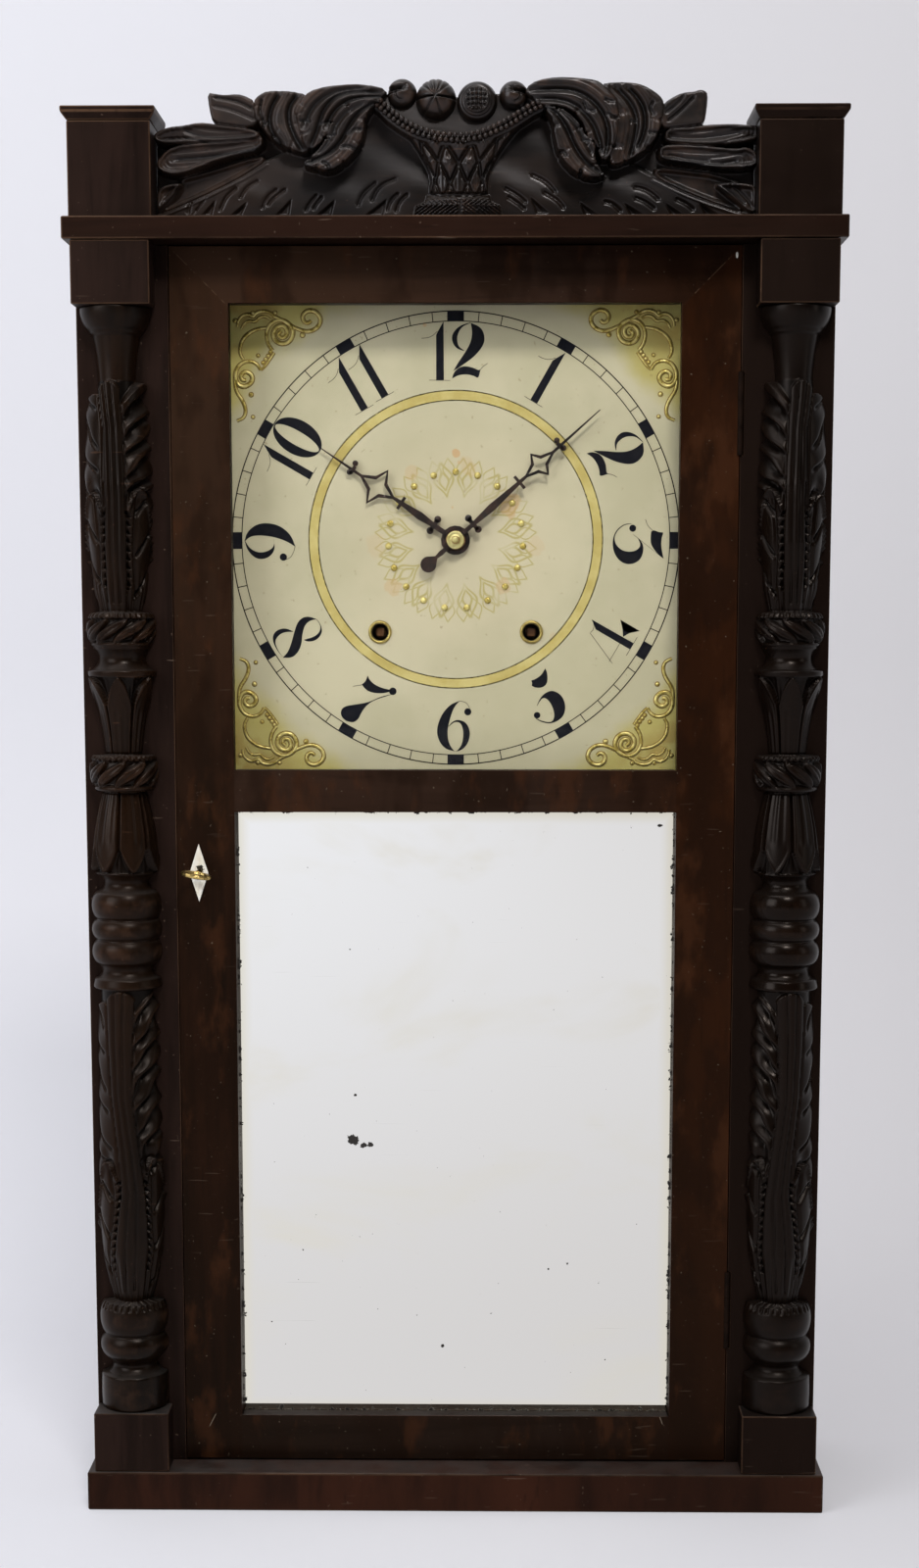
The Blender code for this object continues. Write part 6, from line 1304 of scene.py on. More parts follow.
def use_tree(obj, tree, values):
    sockets = {item.name: item.identifier for item in tree.interface.items_tree if item.in_out == "INPUT"}
    maker = obj.modifiers.new("maker", "NODES")
    maker.node_group = tree
    for label, value in values.items():
        maker[sockets[label]] = value
    return bake(obj)


# %% Rim beads
RIM_TREE, rim_in = new_tree("rim_beads", Line=GEOMETRY, Pitch=NUMBER, Radius=NUMBER)
dots = node(RIM_TREE, "GeometryNodeCurveToPoints", {"Curve": rim_in["Line"], "Length": rim_in["Pitch"]},
            mode="LENGTH").outputs
ball = node(RIM_TREE, "GeometryNodeMeshIcoSphere", {"Radius": rim_in["Radius"], "Subdivisions": 3}).outputs
row = node(RIM_TREE, "GeometryNodeInstanceOnPoints", {"Points": dots["Points"], "Instance": ball["Mesh"],
                                                      "Rotation": dots["Rotation"], "Scale": (1.0, 1.0, 0.92)})
close_tree(RIM_TREE, row.outputs[0], rim_in["Finish"], relief=0.85, smooth=True)


def square_to(line):
    """Unit steps square to a flat line, at each of its points."""
    way = np.gradient(line, axis=0)
    way = way / np.maximum(np.linalg.norm(way, axis=1), 1e-9)[:, None]
    return np.stack([-way[:, 1], way[:, 0]], axis=1)


def run_beads(name, offset):
    line = rounded(BASKET_RIM, False, 3)
    line = line + offset * square_to(line)
    curve = bpy.data.curves.new(name, "CURVE")
    curve.dimensions = "3D"
    spline = curve.splines.new("POLY")
    spline.points.add(len(line) - 1)
    for point, (x, h) in zip(spline.points, line):
        out = np.interp(abs(x - BASKET_MIDDLE), RIM_REACH, (16.4, 15.2, 11.2))
        point.co = (x * MM, CREST_FACE - out * MM, CREST_FOOT + h * MM, 1.0)
    beads = use_tree(placed(name, curve), RIM_TREE,
                     {"Pitch": 3.4 * MM, "Radius": 1.72 * MM, "Finish": CREST_WOOD})
    return settle(beads, name, "case")


run_beads("rim_beads_upper", 1.5)
run_beads("rim_beads_lower", -1.6)

# %% [markdown]
# ## The fruit
# Each fruit starts as a ball whose pole faces the viewer. Small functions of the place on its face cut the
# ribs of the melon, the dots of the berry, and the curled slit of the two outer buds.


# %% Fruit faces (p and q run from -1 to 1 across and up the face)
def bud_face(p, q, mirror):
    p = p * mirror
    opening = np.clip(1.0 - ((q - 0.38 - 0.16 * p) / 0.20) ** 2, 0.0, 1.0) * soft_step(-p, -0.55, 0.2)
    crease = hump(q, 0.13 + 0.22 * p, 0.05) * soft_step(-p, -0.75, 0.0)
    curl = hump(np.hypot(p + 0.05, q + 0.05), 0.42, 0.07) * soft_step(-p, -0.3, 0.3) * (q < 0.1)
    return -0.42 * opening - 0.10 * crease - 0.10 * curl


def melon_face(p, q):
    p, q = p + 0.04, q - 0.06
    turn = np.arctan2(q, p)
    away = np.hypot(p, q)
    ribs = np.zeros(p.shape)
    for angle, depth in ((-4, 0.24), (184, 0.24), (42, 0.06), (66, 0.08), (88, 0.08), (112, 0.08),
                         (138, 0.06), (235, 0.07), (290, 0.07)):
        off = np.angle(np.exp(1j * (turn - math.radians(angle))))
        ribs = ribs - depth * hump(off * (away + 0.10), 0.0, 0.055)
    ribs = ribs * soft_step(away, 0.0, 0.15) * (1 - 0.6 * soft_step(away, 0.75, 1.0))
    return ribs - 0.10 * hump(away, 0.0, 0.08)


def berry_face(p, q):
    u, v = (p + 0.04) / 0.21, (q - 0.06) / 0.24
    dots = hump(u, np.round(u), 0.30) * hump(v, np.round(v), 0.30)
    field = (np.abs(u) < 2.5) & (np.abs(v) < 2.5) & (np.hypot(p + 0.04, q - 0.06) < 0.60)
    away = np.hypot(p + 0.02, q - 0.02)
    rings = hump(away, 0.68, 0.035) + 0.8 * hump(away, 0.80, 0.035)
    return np.where(field, 0.22 * dots - 0.12, 0.0) - 0.09 * rings


FRUITS = (  # name, middle (mm), radius (mm), how far it stands over the board, face
    ("fruit_bud_left", -31.6, 73.3, 9.0, 9.0, lambda p, q: bud_face(p, q, 1.0)),
    ("fruit_melon", -11.2, 70.05, 12.2, 8.5, melon_face),
    ("fruit_berry", 13.5, 68.6, 12.2, 8.5, berry_face),
    ("fruit_bud_right", 35.4, 72.2, 8.8, 9.0, lambda p, q: bud_face(p, q, -1.0)),
)


FRUIT_RINGS, FRUIT_TURNS = 72, 112


def build_fruit(name, x, h, radius, out, face):
    tilts = np.linspace(0.0, math.pi, FRUIT_RINGS + 1)[1:-1]
    tilt, turn = np.meshgrid(tilts, np.arange(FRUIT_TURNS) / FRUIT_TURNS * 2 * math.pi, indexing="ij")
    p, q, depth = np.sin(tilt) * np.cos(turn), np.sin(tilt) * np.sin(turn), np.cos(tilt)
    cut = face(p, q) * soft_step(depth, -0.25, 0.15)
    poles = np.array([1.0 + float(face(np.zeros(1), np.zeros(1))[0]), 1.0])
    size = radius * np.append(1.0 + cut, poles) * MM
    p, q, depth = np.append(p, (0.0, 0.0)), np.append(q, (0.0, 0.0)), np.append(depth, (1.0, -1.0))
    verts = np.stack([x * MM + p * size, CREST_FACE - out * MM + 0.004 - depth * size,
                      CREST_FOOT + h * MM + q * size], axis=-1)
    names = np.arange(cut.size).reshape(cut.shape)
    after = np.roll(names, -1, axis=1)
    faces = np.stack([names[:-1], names[1:], after[1:], after[:-1]], axis=-1).reshape(-1, 4).tolist()
    for i, j, k, m in zip(names[0], after[0], names[-1], after[-1]):
        faces += [[cut.size, i, j], [cut.size + 1, m, k]]
    fruit = from_lists(name, verts.tolist(), faces, [CREST_WOOD])
    tops = np.clip(0.55 + 2.5 * cut + 0.3 * (np.cos(tilt) > 0.6), 0.0, 1.0)
    mark_relief(fruit, np.append(tops, (0.6, 0.4)))
    return settle(fruit, name, "case")


for fruit in FRUITS:
    build_fruit(*fruit)

# %% [markdown]
# ## The painted dial
# The board carries thick cream paint, gone olive and brown near the corners. Digits and rings were painted
# on with a brush, so they stand a hair proud. Plain distances from the arbor drive every stain.

# %% Dial ground
DIAL_X, DIAL_Z = 0.0, 0.6148
DIAL_FACE = -0.0180
FRONDS = (  # how many round the middle, from and to which radius, how wide
    (16.0, 0.026, 0.050, 0.40), (16.0, 0.030, 0.044, 0.20), (32.0, 0.036, 0.052, 0.42))
STAINS = (  # x, z from the arbor, radius, strength (mm)
    (0.0, 53.5, 3.2, 0.85), (2.0, 48.0, 1.2, 0.6), (34.0, 21.5, 8.5, 0.60), (30.5, -29.0, 6.5, 0.42),
    (-40.0, -29.0, 7.5, 0.42), (-28.0, 42.0, 6.0, 0.32), (8.0, 45.0, 7.0, 0.25), (-50.0, -2.0, 9.0, 0.20),
    (50.0, -4.0, 8.0, 0.22), (-2.0, 20.5, 0.9, 0.7), (62.0, -62.0, 4.5, 0.30), (-19.0, 132.0, 1.6, 0.7),
)


def build_dial_ground():
    material, tree, skin, place = plain_skin("dial_paint")
    axes = axes_of(tree, mapped(tree, place, (1.0, 1.0, 1.0), (-DIAL_X, 0.0, -DIAL_Z)))
    away = maths(tree, "SQRT", plus(tree, times(tree, axes["X"], axes["X"]), times(tree, axes["Z"], axes["Z"])))
    cloud = noise(tree, place, 14.0, 4.0, 0.6)
    fine = noise(tree, place, 220.0, 3.0, 0.6)
    colour = blend_colour(tree, ramp(tree, cloud, 0.35, 0.65), (0.445, 0.405, 0.262, 1),
                          (0.515, 0.465, 0.312, 1))
    pale = ramp(tree, away, 0.030, 0.095, 1.0, 0.0)
    colour = blend_colour(tree, times(tree, pale, 0.35), colour, (0.54, 0.455, 0.30, 1))
    ragged = plus(tree, away, times(tree, minus(tree, cloud, 0.5), 0.05))
    corner = ramp(tree, ragged, 0.148, 0.168)
    colour = blend_colour(tree, times(tree, corner, 0.85), colour, (0.40, 0.335, 0.080, 1))
    deep = times(tree, ramp(tree, ragged, 0.165, 0.190), ramp(tree, noise(tree, place, 60.0), 0.4, 0.6))
    colour = blend_colour(tree, times(tree, deep, 0.7), colour, (0.30, 0.20, 0.045, 1))
    turn = maths(tree, "ARCTAN2", axes["X"], axes["Z"])
    brush = 0.0
    for count, inner, outer, wide in FRONDS:
        place_round = times(tree, turn, count / (2 * math.pi))
        off = unsigned(tree, minus(tree, maths(tree, "FRACT", plus(tree, place_round, 8.0)), 0.5))
        up = ramp(tree, away, inner, outer)
        swell = times(tree, maths(tree, "SINE", times(tree, up, math.pi)), wide)
        apart = unsigned(tree, minus(tree, off, swell))
        line = ramp(tree, apart, 0.02, 0.075, 1.0, 0.0)
        band = times(tree, ramp(tree, away, inner, inner + 0.002),
                     ramp(tree, away, outer - 0.002, outer, 1.0, 0.0))
        brush = larger(tree, brush, times(tree, line, band))
    patchy = ramp(tree, noise(tree, place, 45.0, 2.0), 0.35, 0.50, 0.35, 1.0)
    brush = times(tree, brush, times(tree, patchy, 0.95))
    colour = blend_colour(tree, times(tree, brush, 0.8), colour, (0.36, 0.30, 0.085, 1))
    blots = noise(tree, place, 110.0, 3.0)
    for x, z, radius, strength in STAINS:
        mark = spot(tree, place, DIAL_X + x * MM, DIAL_Z + z * MM, radius * MM, radius * 1.2 * MM, blots)
        colour = blend_colour(tree, times(tree, mark, 0.8 * strength), colour, (0.50, 0.29, 0.12, 1))
    specks = ramp(tree, noise(tree, place, 420.0, 1.0, 0.3), 0.76, 0.80)
    colour = blend_colour(tree, times(tree, specks, 0.35), colour, (0.20, 0.13, 0.06, 1))
    fill(tree, skin, {"Base Color": colour, "Roughness": ramp(tree, fine, 0.3, 0.7, 0.42, 0.58),
                      "Specular IOR Level": 0.25, "Normal": raised(tree, fine, 0.12, 0.0002)})
    return material


def build_paint(name, first, second, rough, metallic=0.0, scale=120.0, level=0.3):
    material, tree, skin, place = plain_skin(name)
    patches = ramp(tree, noise(tree, place, scale, 4.0, 0.65), 0.38, 0.66)
    fill(tree, skin, {"Base Color": blend_colour(tree, patches, first, second),
                      "Roughness": ramp(tree, patches, 0.0, 1.0, rough, rough + 0.15), "Metallic": metallic,
                      "Specular IOR Level": level, "Normal": raised(tree, patches, 0.12, 0.0001)})
    return material


DIAL_PAINT = build_dial_ground()
INK = build_paint("black_paint", (0.0060, 0.0064, 0.0095, 1), (0.011, 0.0105, 0.0125, 1), 0.55, level=0.06)
LINE_INK = build_paint("line_ink", (0.006, 0.005, 0.004, 1), (0.018, 0.013, 0.007, 1), 0.55, level=0.08)
# Dark brown for the flat copy under each gilt corner: painted shade round the raised gesso, and a brown outline.
SCROLL_SHADE = build_paint("scroll_shade_outline", (0.150, 0.095, 0.022, 1), (0.270, 0.185, 0.060, 1), 0.5, level=0.1)
RING_GOLD = build_paint("ring_gold", (0.47, 0.37, 0.115, 1), (0.54, 0.45, 0.17, 1), 0.38, 0.15, 60.0)
GILT = build_paint("gilt_gesso", (0.40, 0.300, 0.060, 1), (0.64, 0.54, 0.20, 1), 0.26, 0.40, 160.0, 0.5)

# %% [markdown]
# ## Minute track and rings
# Geometry Nodes sweep a flat profile round a circle for each painted line, and set one short stroke at every
# minute and a thick block at every hour. Each tree takes its radius, width and count as named inputs.


# %% Rings and marks
RING_TREE, ring_in = new_tree("painted_ring", Radius=NUMBER, Width=NUMBER, Thickness=NUMBER)
circle = node(RING_TREE, "GeometryNodeCurvePrimitiveCircle", {"Resolution": 240, "Radius": ring_in["Radius"]})
profile = node(RING_TREE, "GeometryNodeCurvePrimitiveQuadrilateral",
               {"Width": ring_in["Width"], "Height": ring_in["Thickness"]})
swept = node(RING_TREE, "GeometryNodeCurveToMesh",
             {"Curve": circle.outputs[0], "Profile Curve": profile.outputs[0]})
close_tree(RING_TREE, swept.outputs[0], ring_in["Finish"])

MARK_TREE, mark_in = new_tree("painted_marks", Radius=NUMBER, Count=WHOLE_NUMBER, Size=VECTOR)
places = node(MARK_TREE, "GeometryNodeMeshCircle", {"Vertices": mark_in["Count"], "Radius": mark_in["Radius"]})
brick = node(MARK_TREE, "GeometryNodeMeshCube", {"Size": mark_in["Size"]})
outward = node(MARK_TREE, "GeometryNodeInputPosition").outputs[0]
aim = node(MARK_TREE, "FunctionNodeAlignRotationToVector", {"Vector": outward}, axis="X", pivot_axis="Z")
stamped = node(MARK_TREE, "GeometryNodeInstanceOnPoints",
               {"Points": places.outputs[0], "Instance": brick.outputs["Mesh"], "Rotation": aim.outputs[0]})
close_tree(MARK_TREE, stamped.outputs[0], mark_in["Finish"])

BEAD_TREE, bead_in = new_tree("gilt_beads", Radius=NUMBER, Count=WHOLE_NUMBER, Bead=NUMBER)
places = node(BEAD_TREE, "GeometryNodeMeshCircle", {"Vertices": bead_in["Count"], "Radius": bead_in["Radius"]})
ball = node(BEAD_TREE, "GeometryNodeMeshIcoSphere", {"Radius": bead_in["Bead"], "Subdivisions": 4})
stamped = node(BEAD_TREE, "GeometryNodeInstanceOnPoints",
               {"Points": places.outputs[0], "Instance": ball.outputs["Mesh"], "Scale": (1.0, 1.0, 0.72)})
close_tree(BEAD_TREE, stamped.outputs[0], bead_in["Finish"], smooth=True)


def face_front(obj, quarter_turns=0):
    """Stands a flat pattern up against the dial, with its middle on the arbor."""
    upright = Matrix.Rotation(math.radians(90), 4, "X") @ Matrix.Rotation(quarter_turns * math.pi / 2, 4, "Z")
    obj.data.transform(Matrix.Translation((DIAL_X, DIAL_FACE, DIAL_Z)) @ upright)
    obj.data.update()
    return settle(obj, obj.name, "case")


def grow(name, tree, flat=True, **values):
    obj = use_tree(from_lists(name, [], [], [], smooth=False), tree, values)
    if flat:
        obj.data.shade_flat()
    return face_front(obj, 1)


PAINT = 0.00008
TRACK = 137.2 * MM
LINES = (  # name, radius and width (mm), paint
    ("track_line_outer", 140.2, 0.713, LINE_INK), ("track_line_inner", 134.2, 0.575, LINE_INK),
    ("gold_ring_edge_outer", 92.1, 0.575, LINE_INK), ("gold_ring", 89.1, 6.555, RING_GOLD),
    ("gold_ring_edge_inner", 86.1, 0.575, LINE_INK),
)
for name, radius, width, finish in LINES:
    grow(name, RING_TREE, Radius=radius * MM, Width=width * MM, Thickness=2 * PAINT, Finish=finish)
grow("minute_strokes", MARK_TREE, Radius=TRACK, Count=60, Size=(6.0 * MM, 0.55 * MM, 2 * PAINT), Finish=LINE_INK)
grow("hour_blocks", MARK_TREE, Radius=TRACK, Count=12, Size=(6.3 * MM, 10.4 * MM, 2.6 * PAINT), Finish=INK)
grow("gilt_bead_ring", BEAD_TREE, False, Radius=42.3 * MM, Count=19, Bead=2.1 * MM, Finish=GILT)

# %% [markdown]
# ## Numerals
# The digits are fat brush letters: straight stems, crescents that swell in the middle, and hairlines that end
# in a dot. Each digit is a short list of such strokes on its own small grid (0.1024 mm a step, y downward).
# Tops point outward from nine round to three, and inward below.

# %% Strokes of the digits
STEP = 0.1024 * MM
GRID_MIDDLE = (165, 210)
NUMERAL_RADIUS = 114.2 * MM
STROKES = {
    "1": (("flat", ((137, 367), (137, 100), (150, 75), (182, 20), (184, 367))),
          ("line", 3, ((48, 120), (90, 117), (120, 103), (145, 78))), ("line", 3, ((95, 368), (222, 370)))),
    "2": (("spine", ((222, 43, 1.5), (165, 62, 6), (128, 110, 16), (126, 150, 16), (145, 190, 8), (185, 208, 1.5))),
          ("bowl", ((222, 42), (290, 70), (312, 130), (300, 180), (250, 240), (180, 290), (125, 325)),
           ((225, 45), (235, 100), (225, 160), (190, 220), (150, 275), (118, 330))),
          ("bowl", ((112, 372), (120, 340), (150, 308), (190, 298), (240, 308), (272, 325), (284, 318)),
           ((112, 373), (150, 352), (200, 347), (245, 357), (272, 374), (284, 319))),
          ("line", 3, ((280, 325), (300, 300), (328, 283)))),
    "3": (("bowl", ((112, 128), (102, 115), (118, 75), (115, 52), (150, 65), (200, 68), (275, 52)),
           ((112, 129), (150, 133), (190, 130), (235, 100), (275, 53))),
          ("line", 3, ((105, 120), (80, 150), (38, 165))), ("line", 2, ((275, 52), (130, 238))),
          ("bowl", ((150, 210), (185, 178), (235, 175), (285, 195), (313, 250), (300, 310), (250, 352), (190, 366),
                    (130, 357), (90, 330), (65, 290), (63, 250)),
           ((150, 211), (195, 190), (225, 215), (236, 260), (225, 310), (190, 345), (150, 355), (110, 338),
            (84, 312), (70, 285), (66, 250))), ("ball", 92, 242, 21)),
    "4": (("flat", ((128, 355), (128, 110), (150, 85), (168, 57), (172, 355))),
          ("line", 3, ((95, 92), (110, 98), (135, 95), (155, 80))), ("line", 3, ((92, 92), (0, 305))),
          ("line", 3, ((0, 282), (128, 283))), ("line", 3, ((85, 355), (215, 356))),
          ("bowl", ((173, 279), (210, 255), (255, 212)), ((173, 280), (210, 300), (235, 320), (255, 350))),
          ("flat", ((210, 256), (255, 212), (255, 350), (210, 299)))),
    "5": (("bowl", ((130, 95), (142, 80), (140, 65), (165, 72), (210, 70), (255, 45)),
           ((130, 96), (140, 115), (170, 135), (200, 138), (225, 125), (250, 80), (255, 46))),
          ("bowl", ((95, 218), (140, 185), (185, 175), (230, 185), (262, 240), (250, 310), (210, 355), (160, 365),
                    (110, 355), (70, 320), (50, 285)),
           ((96, 220), (140, 195), (165, 200), (178, 240), (172, 300), (150, 340), (120, 352), (78, 318), (54, 284))),
          ("ball", 68, 270, 20)),
    "6": (("bowl", ((190, 72), (130, 95), (75, 160), (45, 250), (60, 320), (100, 370), (165, 385)),
           ((189, 74), (155, 110), (130, 180), (112, 260), (120, 330), (150, 378), (165, 385))),
          ("bowl", ((118, 232), (150, 195), (190, 188), (235, 210), (258, 270), (240, 340), (200, 378), (165, 385)),
           ((120, 234), (160, 198), (200, 210), (215, 270), (205, 340), (180, 375), (165, 384))),
          ("line", 3, ((188, 73), (225, 80), (243, 98), (252, 122))), ("ball", 240, 140, 22)),
    "7": (("bowl", ((102, 143), (113, 115), (103, 73), (120, 92), (160, 105), (215, 103), (280, 82)),
           ((102, 144), (130, 158), (170, 160), (220, 140), (262, 110), (281, 84))),
          ("line", 3, ((105, 145), (80, 165), (60, 182))), ("ball", 288, 85, 23),
          ("bowl", ((290, 105), (240, 150), (190, 222), (122, 276), (78, 312), (66, 346), (88, 380), (128, 388)),
           ((292, 106), (270, 130), (225, 178), (192, 232), (184, 292), (190, 340), (172, 376), (129, 388)))),
    "8": (("bowl", ((150, 75), (110, 110), (98, 150), (110, 190), (150, 235), (200, 285), (235, 330), (248, 372)),
           ((152, 75), (138, 110), (142, 150), (180, 195), (240, 235), (272, 285), (277, 330), (250, 374))),
          ("bowl", ((150, 75), (190, 68), (240, 85), (262, 140), (245, 190), (222, 207)),
           ((151, 77), (195, 72), (226, 95), (237, 140), (220, 205))),
          ("bowl", ((142, 238), (100, 270), (85, 320), (100, 360), (140, 380), (200, 383), (252, 371)),
           ((143, 240), (118, 290), (118, 330), (140, 370), (200, 379), (250, 371)))),
    "9": (("bowl", ((160, 30), (215, 45), (262, 100), (273, 170), (255, 250), (200, 315), (130, 342)),
           ((161, 32), (193, 70), (197, 140), (185, 220), (160, 290), (129, 340))),
          ("bowl", ((170, 30), (110, 45), (60, 90), (50, 140), (70, 190), (115, 218), (172, 210)),
           ((168, 32), (118, 60), (92, 110), (95, 160), (120, 205), (150, 214), (171, 211))),
          ("line", 3, ((132, 341), (95, 332), (62, 312), (50, 284))), ("ball", 65, 268, 22)),
    "0": (("ring", (220, 180, 103, 160), (215, 180, 42, 152)),),
}
HOURS = {hour: ((0, 0, str(hour)),) for hour in range(1, 10)}
HOURS[10] = ((-100, 0, "1"), (0, 0, "0"))
HOURS[11] = ((-82, 0, "1"), (65, -5, "1"))
HOURS[12] = ((-90, -3, "1"), (32, -17, "2"))


def ribbon(line, halves):
    off = square_to(line) * np.asarray(halves)[:, None]
    return np.concatenate([line + off, (line - off)[::-1]])


def oval(x, y, half_wide, half_high):
    turn = np.arange(64) / 64 * 2 * math.pi
    return np.stack([x + half_wide * np.cos(turn), y + half_high * np.sin(turn)], axis=1)


def stroke_outlines(kind, *values):
    """The outline of one stroke, and for a ring that of its hole too."""
    if kind == "flat":
        return [np.asarray(values[0], dtype=float)]
    if kind == "line":
        line = rounded(values[1], False)
        return [ribbon(line, np.full(len(line), values[0] / 2))]
    if kind == "spine":
        line = rounded(values[0], False, 3)
        return [ribbon(line[:, :2], line[:, 2])]
    if kind == "bowl":
        outer, inner = (rounded(side, False, 3) for side in values)
        return [np.concatenate([outer, inner[::-1]])]
    if kind == "ball":
        return [oval(*values, values[2])]
    return [oval(*side) for side in values]


def paint_digit(name, hour, parts):
    curve = bpy.data.curves.new(name, "CURVE")
    curve.dimensions = "2D"
    curve.fill_mode = "BOTH"
    curve.extrude = PAINT
    turn = math.radians(30 * hour)
    upright = hour >= 9 or hour <= 3
    outward = np.array([math.sin(turn), math.cos(turn)])
    clockwise = np.array([math.cos(turn), -math.sin(turn)])
    whole = bmesh.new()
    for dx, dy, digit in parts:
        for stroke in STROKES[digit]:
            curve.splines.clear()
            for outline in stroke_outlines(*stroke):
                across = (outline[:, 0] + dx - GRID_MIDDLE[0]) * STEP
                up = (GRID_MIDDLE[1] - outline[:, 1] - dy) * STEP
                if not upright:
                    across, up = -across, -up
                flat = outward * (NUMERAL_RADIUS + up[:, None]) + clockwise * across[:, None]
                spline = curve.splines.new("POLY")
                spline.points.add(len(flat) - 1)
                points = np.column_stack([flat, np.zeros(len(flat)), np.ones(len(flat))])
                spline.points.foreach_set("co", points.ravel())
                spline.use_cyclic_u = True
            stamp = placed(name, curve)
            whole.from_mesh(flattened(stamp))
            bpy.data.objects.remove(stamp)
    bmesh.ops.remove_doubles(whole, verts=whole.verts, dist=1e-7)
    bmesh.ops.recalc_face_normals(whole, faces=whole.faces)
    numeral = from_shape(name, whole, INK)
    numeral.data.shade_flat()
    return face_front(numeral)


for hour, parts in HOURS.items():
    paint_digit(f"numeral_{hour:02d}", hour, parts)

# %% [markdown]
# ## Raised gilt corners
# The scrolls were squeezed on in wet gesso and gilded. Each corner is the same drawing, mirrored: a tapered
# round line follows every scroll, with rows of drops between them. Under each corner lies a flat dark brown
# copy, a little wider: painted shade round the raised gesso, and a brown outline.

# %% Scrolls (mm from the arbor; the same in all four corners)
SCROLLS = (
    (1.00, ((89.6, 134.6), (91.6, 132.6), (94.6, 134.2), (95, 138.2), (91.1, 141), (86.2, 139.8), (83.2, 135.6),
            (85.2, 130.2), (91.9, 127.2), (101, 130.6), (108.7, 135.4), (113.6, 137.6))),
    (1.10, ((107.9, 128.4), (110.4, 126.6), (108.6, 123.8), (105.2, 124.8), (104.2, 128.6), (106.8, 131.8),
            (110.8, 131), (113.5, 127.6), (112.6, 122.8), (108.3, 120.1), (103, 121.6), (100.4, 127),
            (102.4, 132.3), (108.6, 135.6), (115, 133.2), (117.8, 127.4), (117, 120.9), (113.7, 116.3))),
    (0.80, ((112.1, 136.9), (114.4, 139.2), (119, 140.6), (123.6, 139.5), (125.6, 136.6), (128.2, 138.4),
            (132, 138), (135, 134.6), (135.4, 130.8))),
    (0.60, ((115.2, 135.4), (118.4, 137.4), (122, 136.6), (124.4, 133.6), (128, 134.6), (131.4, 133),
            (133, 129.6))),
    (0.80, ((117.5, 130.2), (124.4, 129.3), (130.5, 125.5), (133.5, 120.9), (134.3, 114.8), (132, 111.2))),
    (0.55, ((112.6, 115.2), (115.4, 111.2), (118.6, 106.8), (121.2, 104.4))),
    (1.05, ((130.4, 98.4), (133, 98.4), (134, 101.4), (131.2, 103.8), (127.6, 102.6), (126, 99.4), (128.2, 95.6),
            (133.2, 94), (137, 97.6), (137.2, 103.6), (134, 108.6), (128.4, 110.4), (123.4, 108.4),
            (121.3, 104.6))),
    (0.80, ((137.6, 99.5), (137, 91.9), (132.6, 86), (130.6, 80), (132, 75.4), (136.4, 73.6))),
)
DROPS = ((95.0, 125.8, 1.3), (115.0, 115.4, 1.0), (116.5, 113.2, 1.0), (118.1, 111.1, 1.0), (119.7, 109.0, 1.0),
         (127.4, 89.6, 1.2), (112.0, 139.4, 1.0), (125.8, 139.2, 1.1), (136.8, 134.6, 1.1), (122.8, 113.4, 0.9),
         (126.4, 76.0, 0.9))
SCROLL_SIDES = 10


def build_corner(name, flip_x, flip_z, grow_by, stand_out, material):
    """One corner: round lines with a little width added, standing out from the paint by a share of it."""
    shape = bmesh.new()
    for thickness, points in SCROLLS:
        line = rounded(points, False, 3) * MM
        share = np.linspace(0.0, 1.0, len(line))
        thick = thickness * MM * (0.66 + 0.34 * np.sin(np.pi * np.clip(share * 1.15, 0, 1))) + grow_by
        rows = []
        for centre, side, r in zip(line, square_to(line), thick):
            ring = []
            for turn in np.arange(SCROLL_SIDES) / SCROLL_SIDES * 2 * math.pi:
                x, z = centre + side * r * math.cos(turn)
                ring.append(shape.verts.new((DIAL_X + flip_x * x, DIAL_FACE - r * stand_out * math.sin(turn),
                                             DIAL_Z + flip_z * z)))
            rows.append(ring)
        for low, high in zip(rows, rows[1:]):
            for k in range(SCROLL_SIDES):
                j = (k + 1) % SCROLL_SIDES
                shape.faces.new((low[k], low[j], high[j], high[k])).smooth = True
        shape.faces.new(rows[0])
        shape.faces.new(rows[-1])
    for x, z, r in DROPS:
        place = Matrix.Translation((DIAL_X + flip_x * x * MM, DIAL_FACE, DIAL_Z + flip_z * z * MM))
        made = bmesh.ops.create_uvsphere(shape, u_segments=16, v_segments=10, radius=r * MM + grow_by,
                                         matrix=place @ Matrix.Diagonal((1, 0.9 * stand_out, 1, 1)))
        for vert in made["verts"]:
            for face in vert.link_faces:
                face.smooth = True
    bmesh.ops.recalc_face_normals(shape, faces=shape.faces)
    return settle(from_shape(name, shape, material), name, "case")


for height, flip_z in (("upper", 1), ("lower", -1)):
    for side, flip_x in (("left", -1), ("right", 1)):
        build_corner(f"gesso_{height}_{side}", flip_x, flip_z, 0.0, 0.95, GILT)
        # The wider, almost flat dark brown copy is painted shade round the raised gesso, and a brown outline.
        build_corner(f"scroll_outline_{height}_{side}", flip_x, flip_z, 0.55 * MM, 0.05, SCROLL_SHADE)


# %% Grommets, hands and washer
HOLES_APART, HOLE_HEIGHT = 0.0954, 0.5578
GROMMET = ((7.3, 0.3), (7.3, -0.5), (7.0, -1.1), (6.5, -1.45), (5.9, -1.4), (5.4, -0.9), (5.25, 0.0), (5.2, 4.9),
           (5.6, 4.9))
WASHER_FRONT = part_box("hand_washer")[0][1]
ARBOR_TIP = (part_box("centre_wheel")[0][1] - WASHER_FRONT) / MM - 0.6
WASHER = ((0.0, 0.7), (5.6, 0.7), (5.6, -0.2), (5.2, -0.55), (4.3, -0.35), (3.6, -0.25), (2.4, -0.6),
          (2.1, ARBOR_TIP), (1.2, ARBOR_TIP - 0.25), (0.0, ARBOR_TIP - 0.3))
LOBES = (  # hand, degrees from twelve, distance from the arbor, distance off the line, radius (mm)
    ("hour_hand", -55.2, 78.4, 3.2, 1.8), ("hour_hand", -55.2, 16.5, 4.2, 2.2),
    ("minute_hand", 47.9, 87.7, 3.1, 1.8), ("minute_hand", 47.9, 15.0, 4.55, 2.2),
)


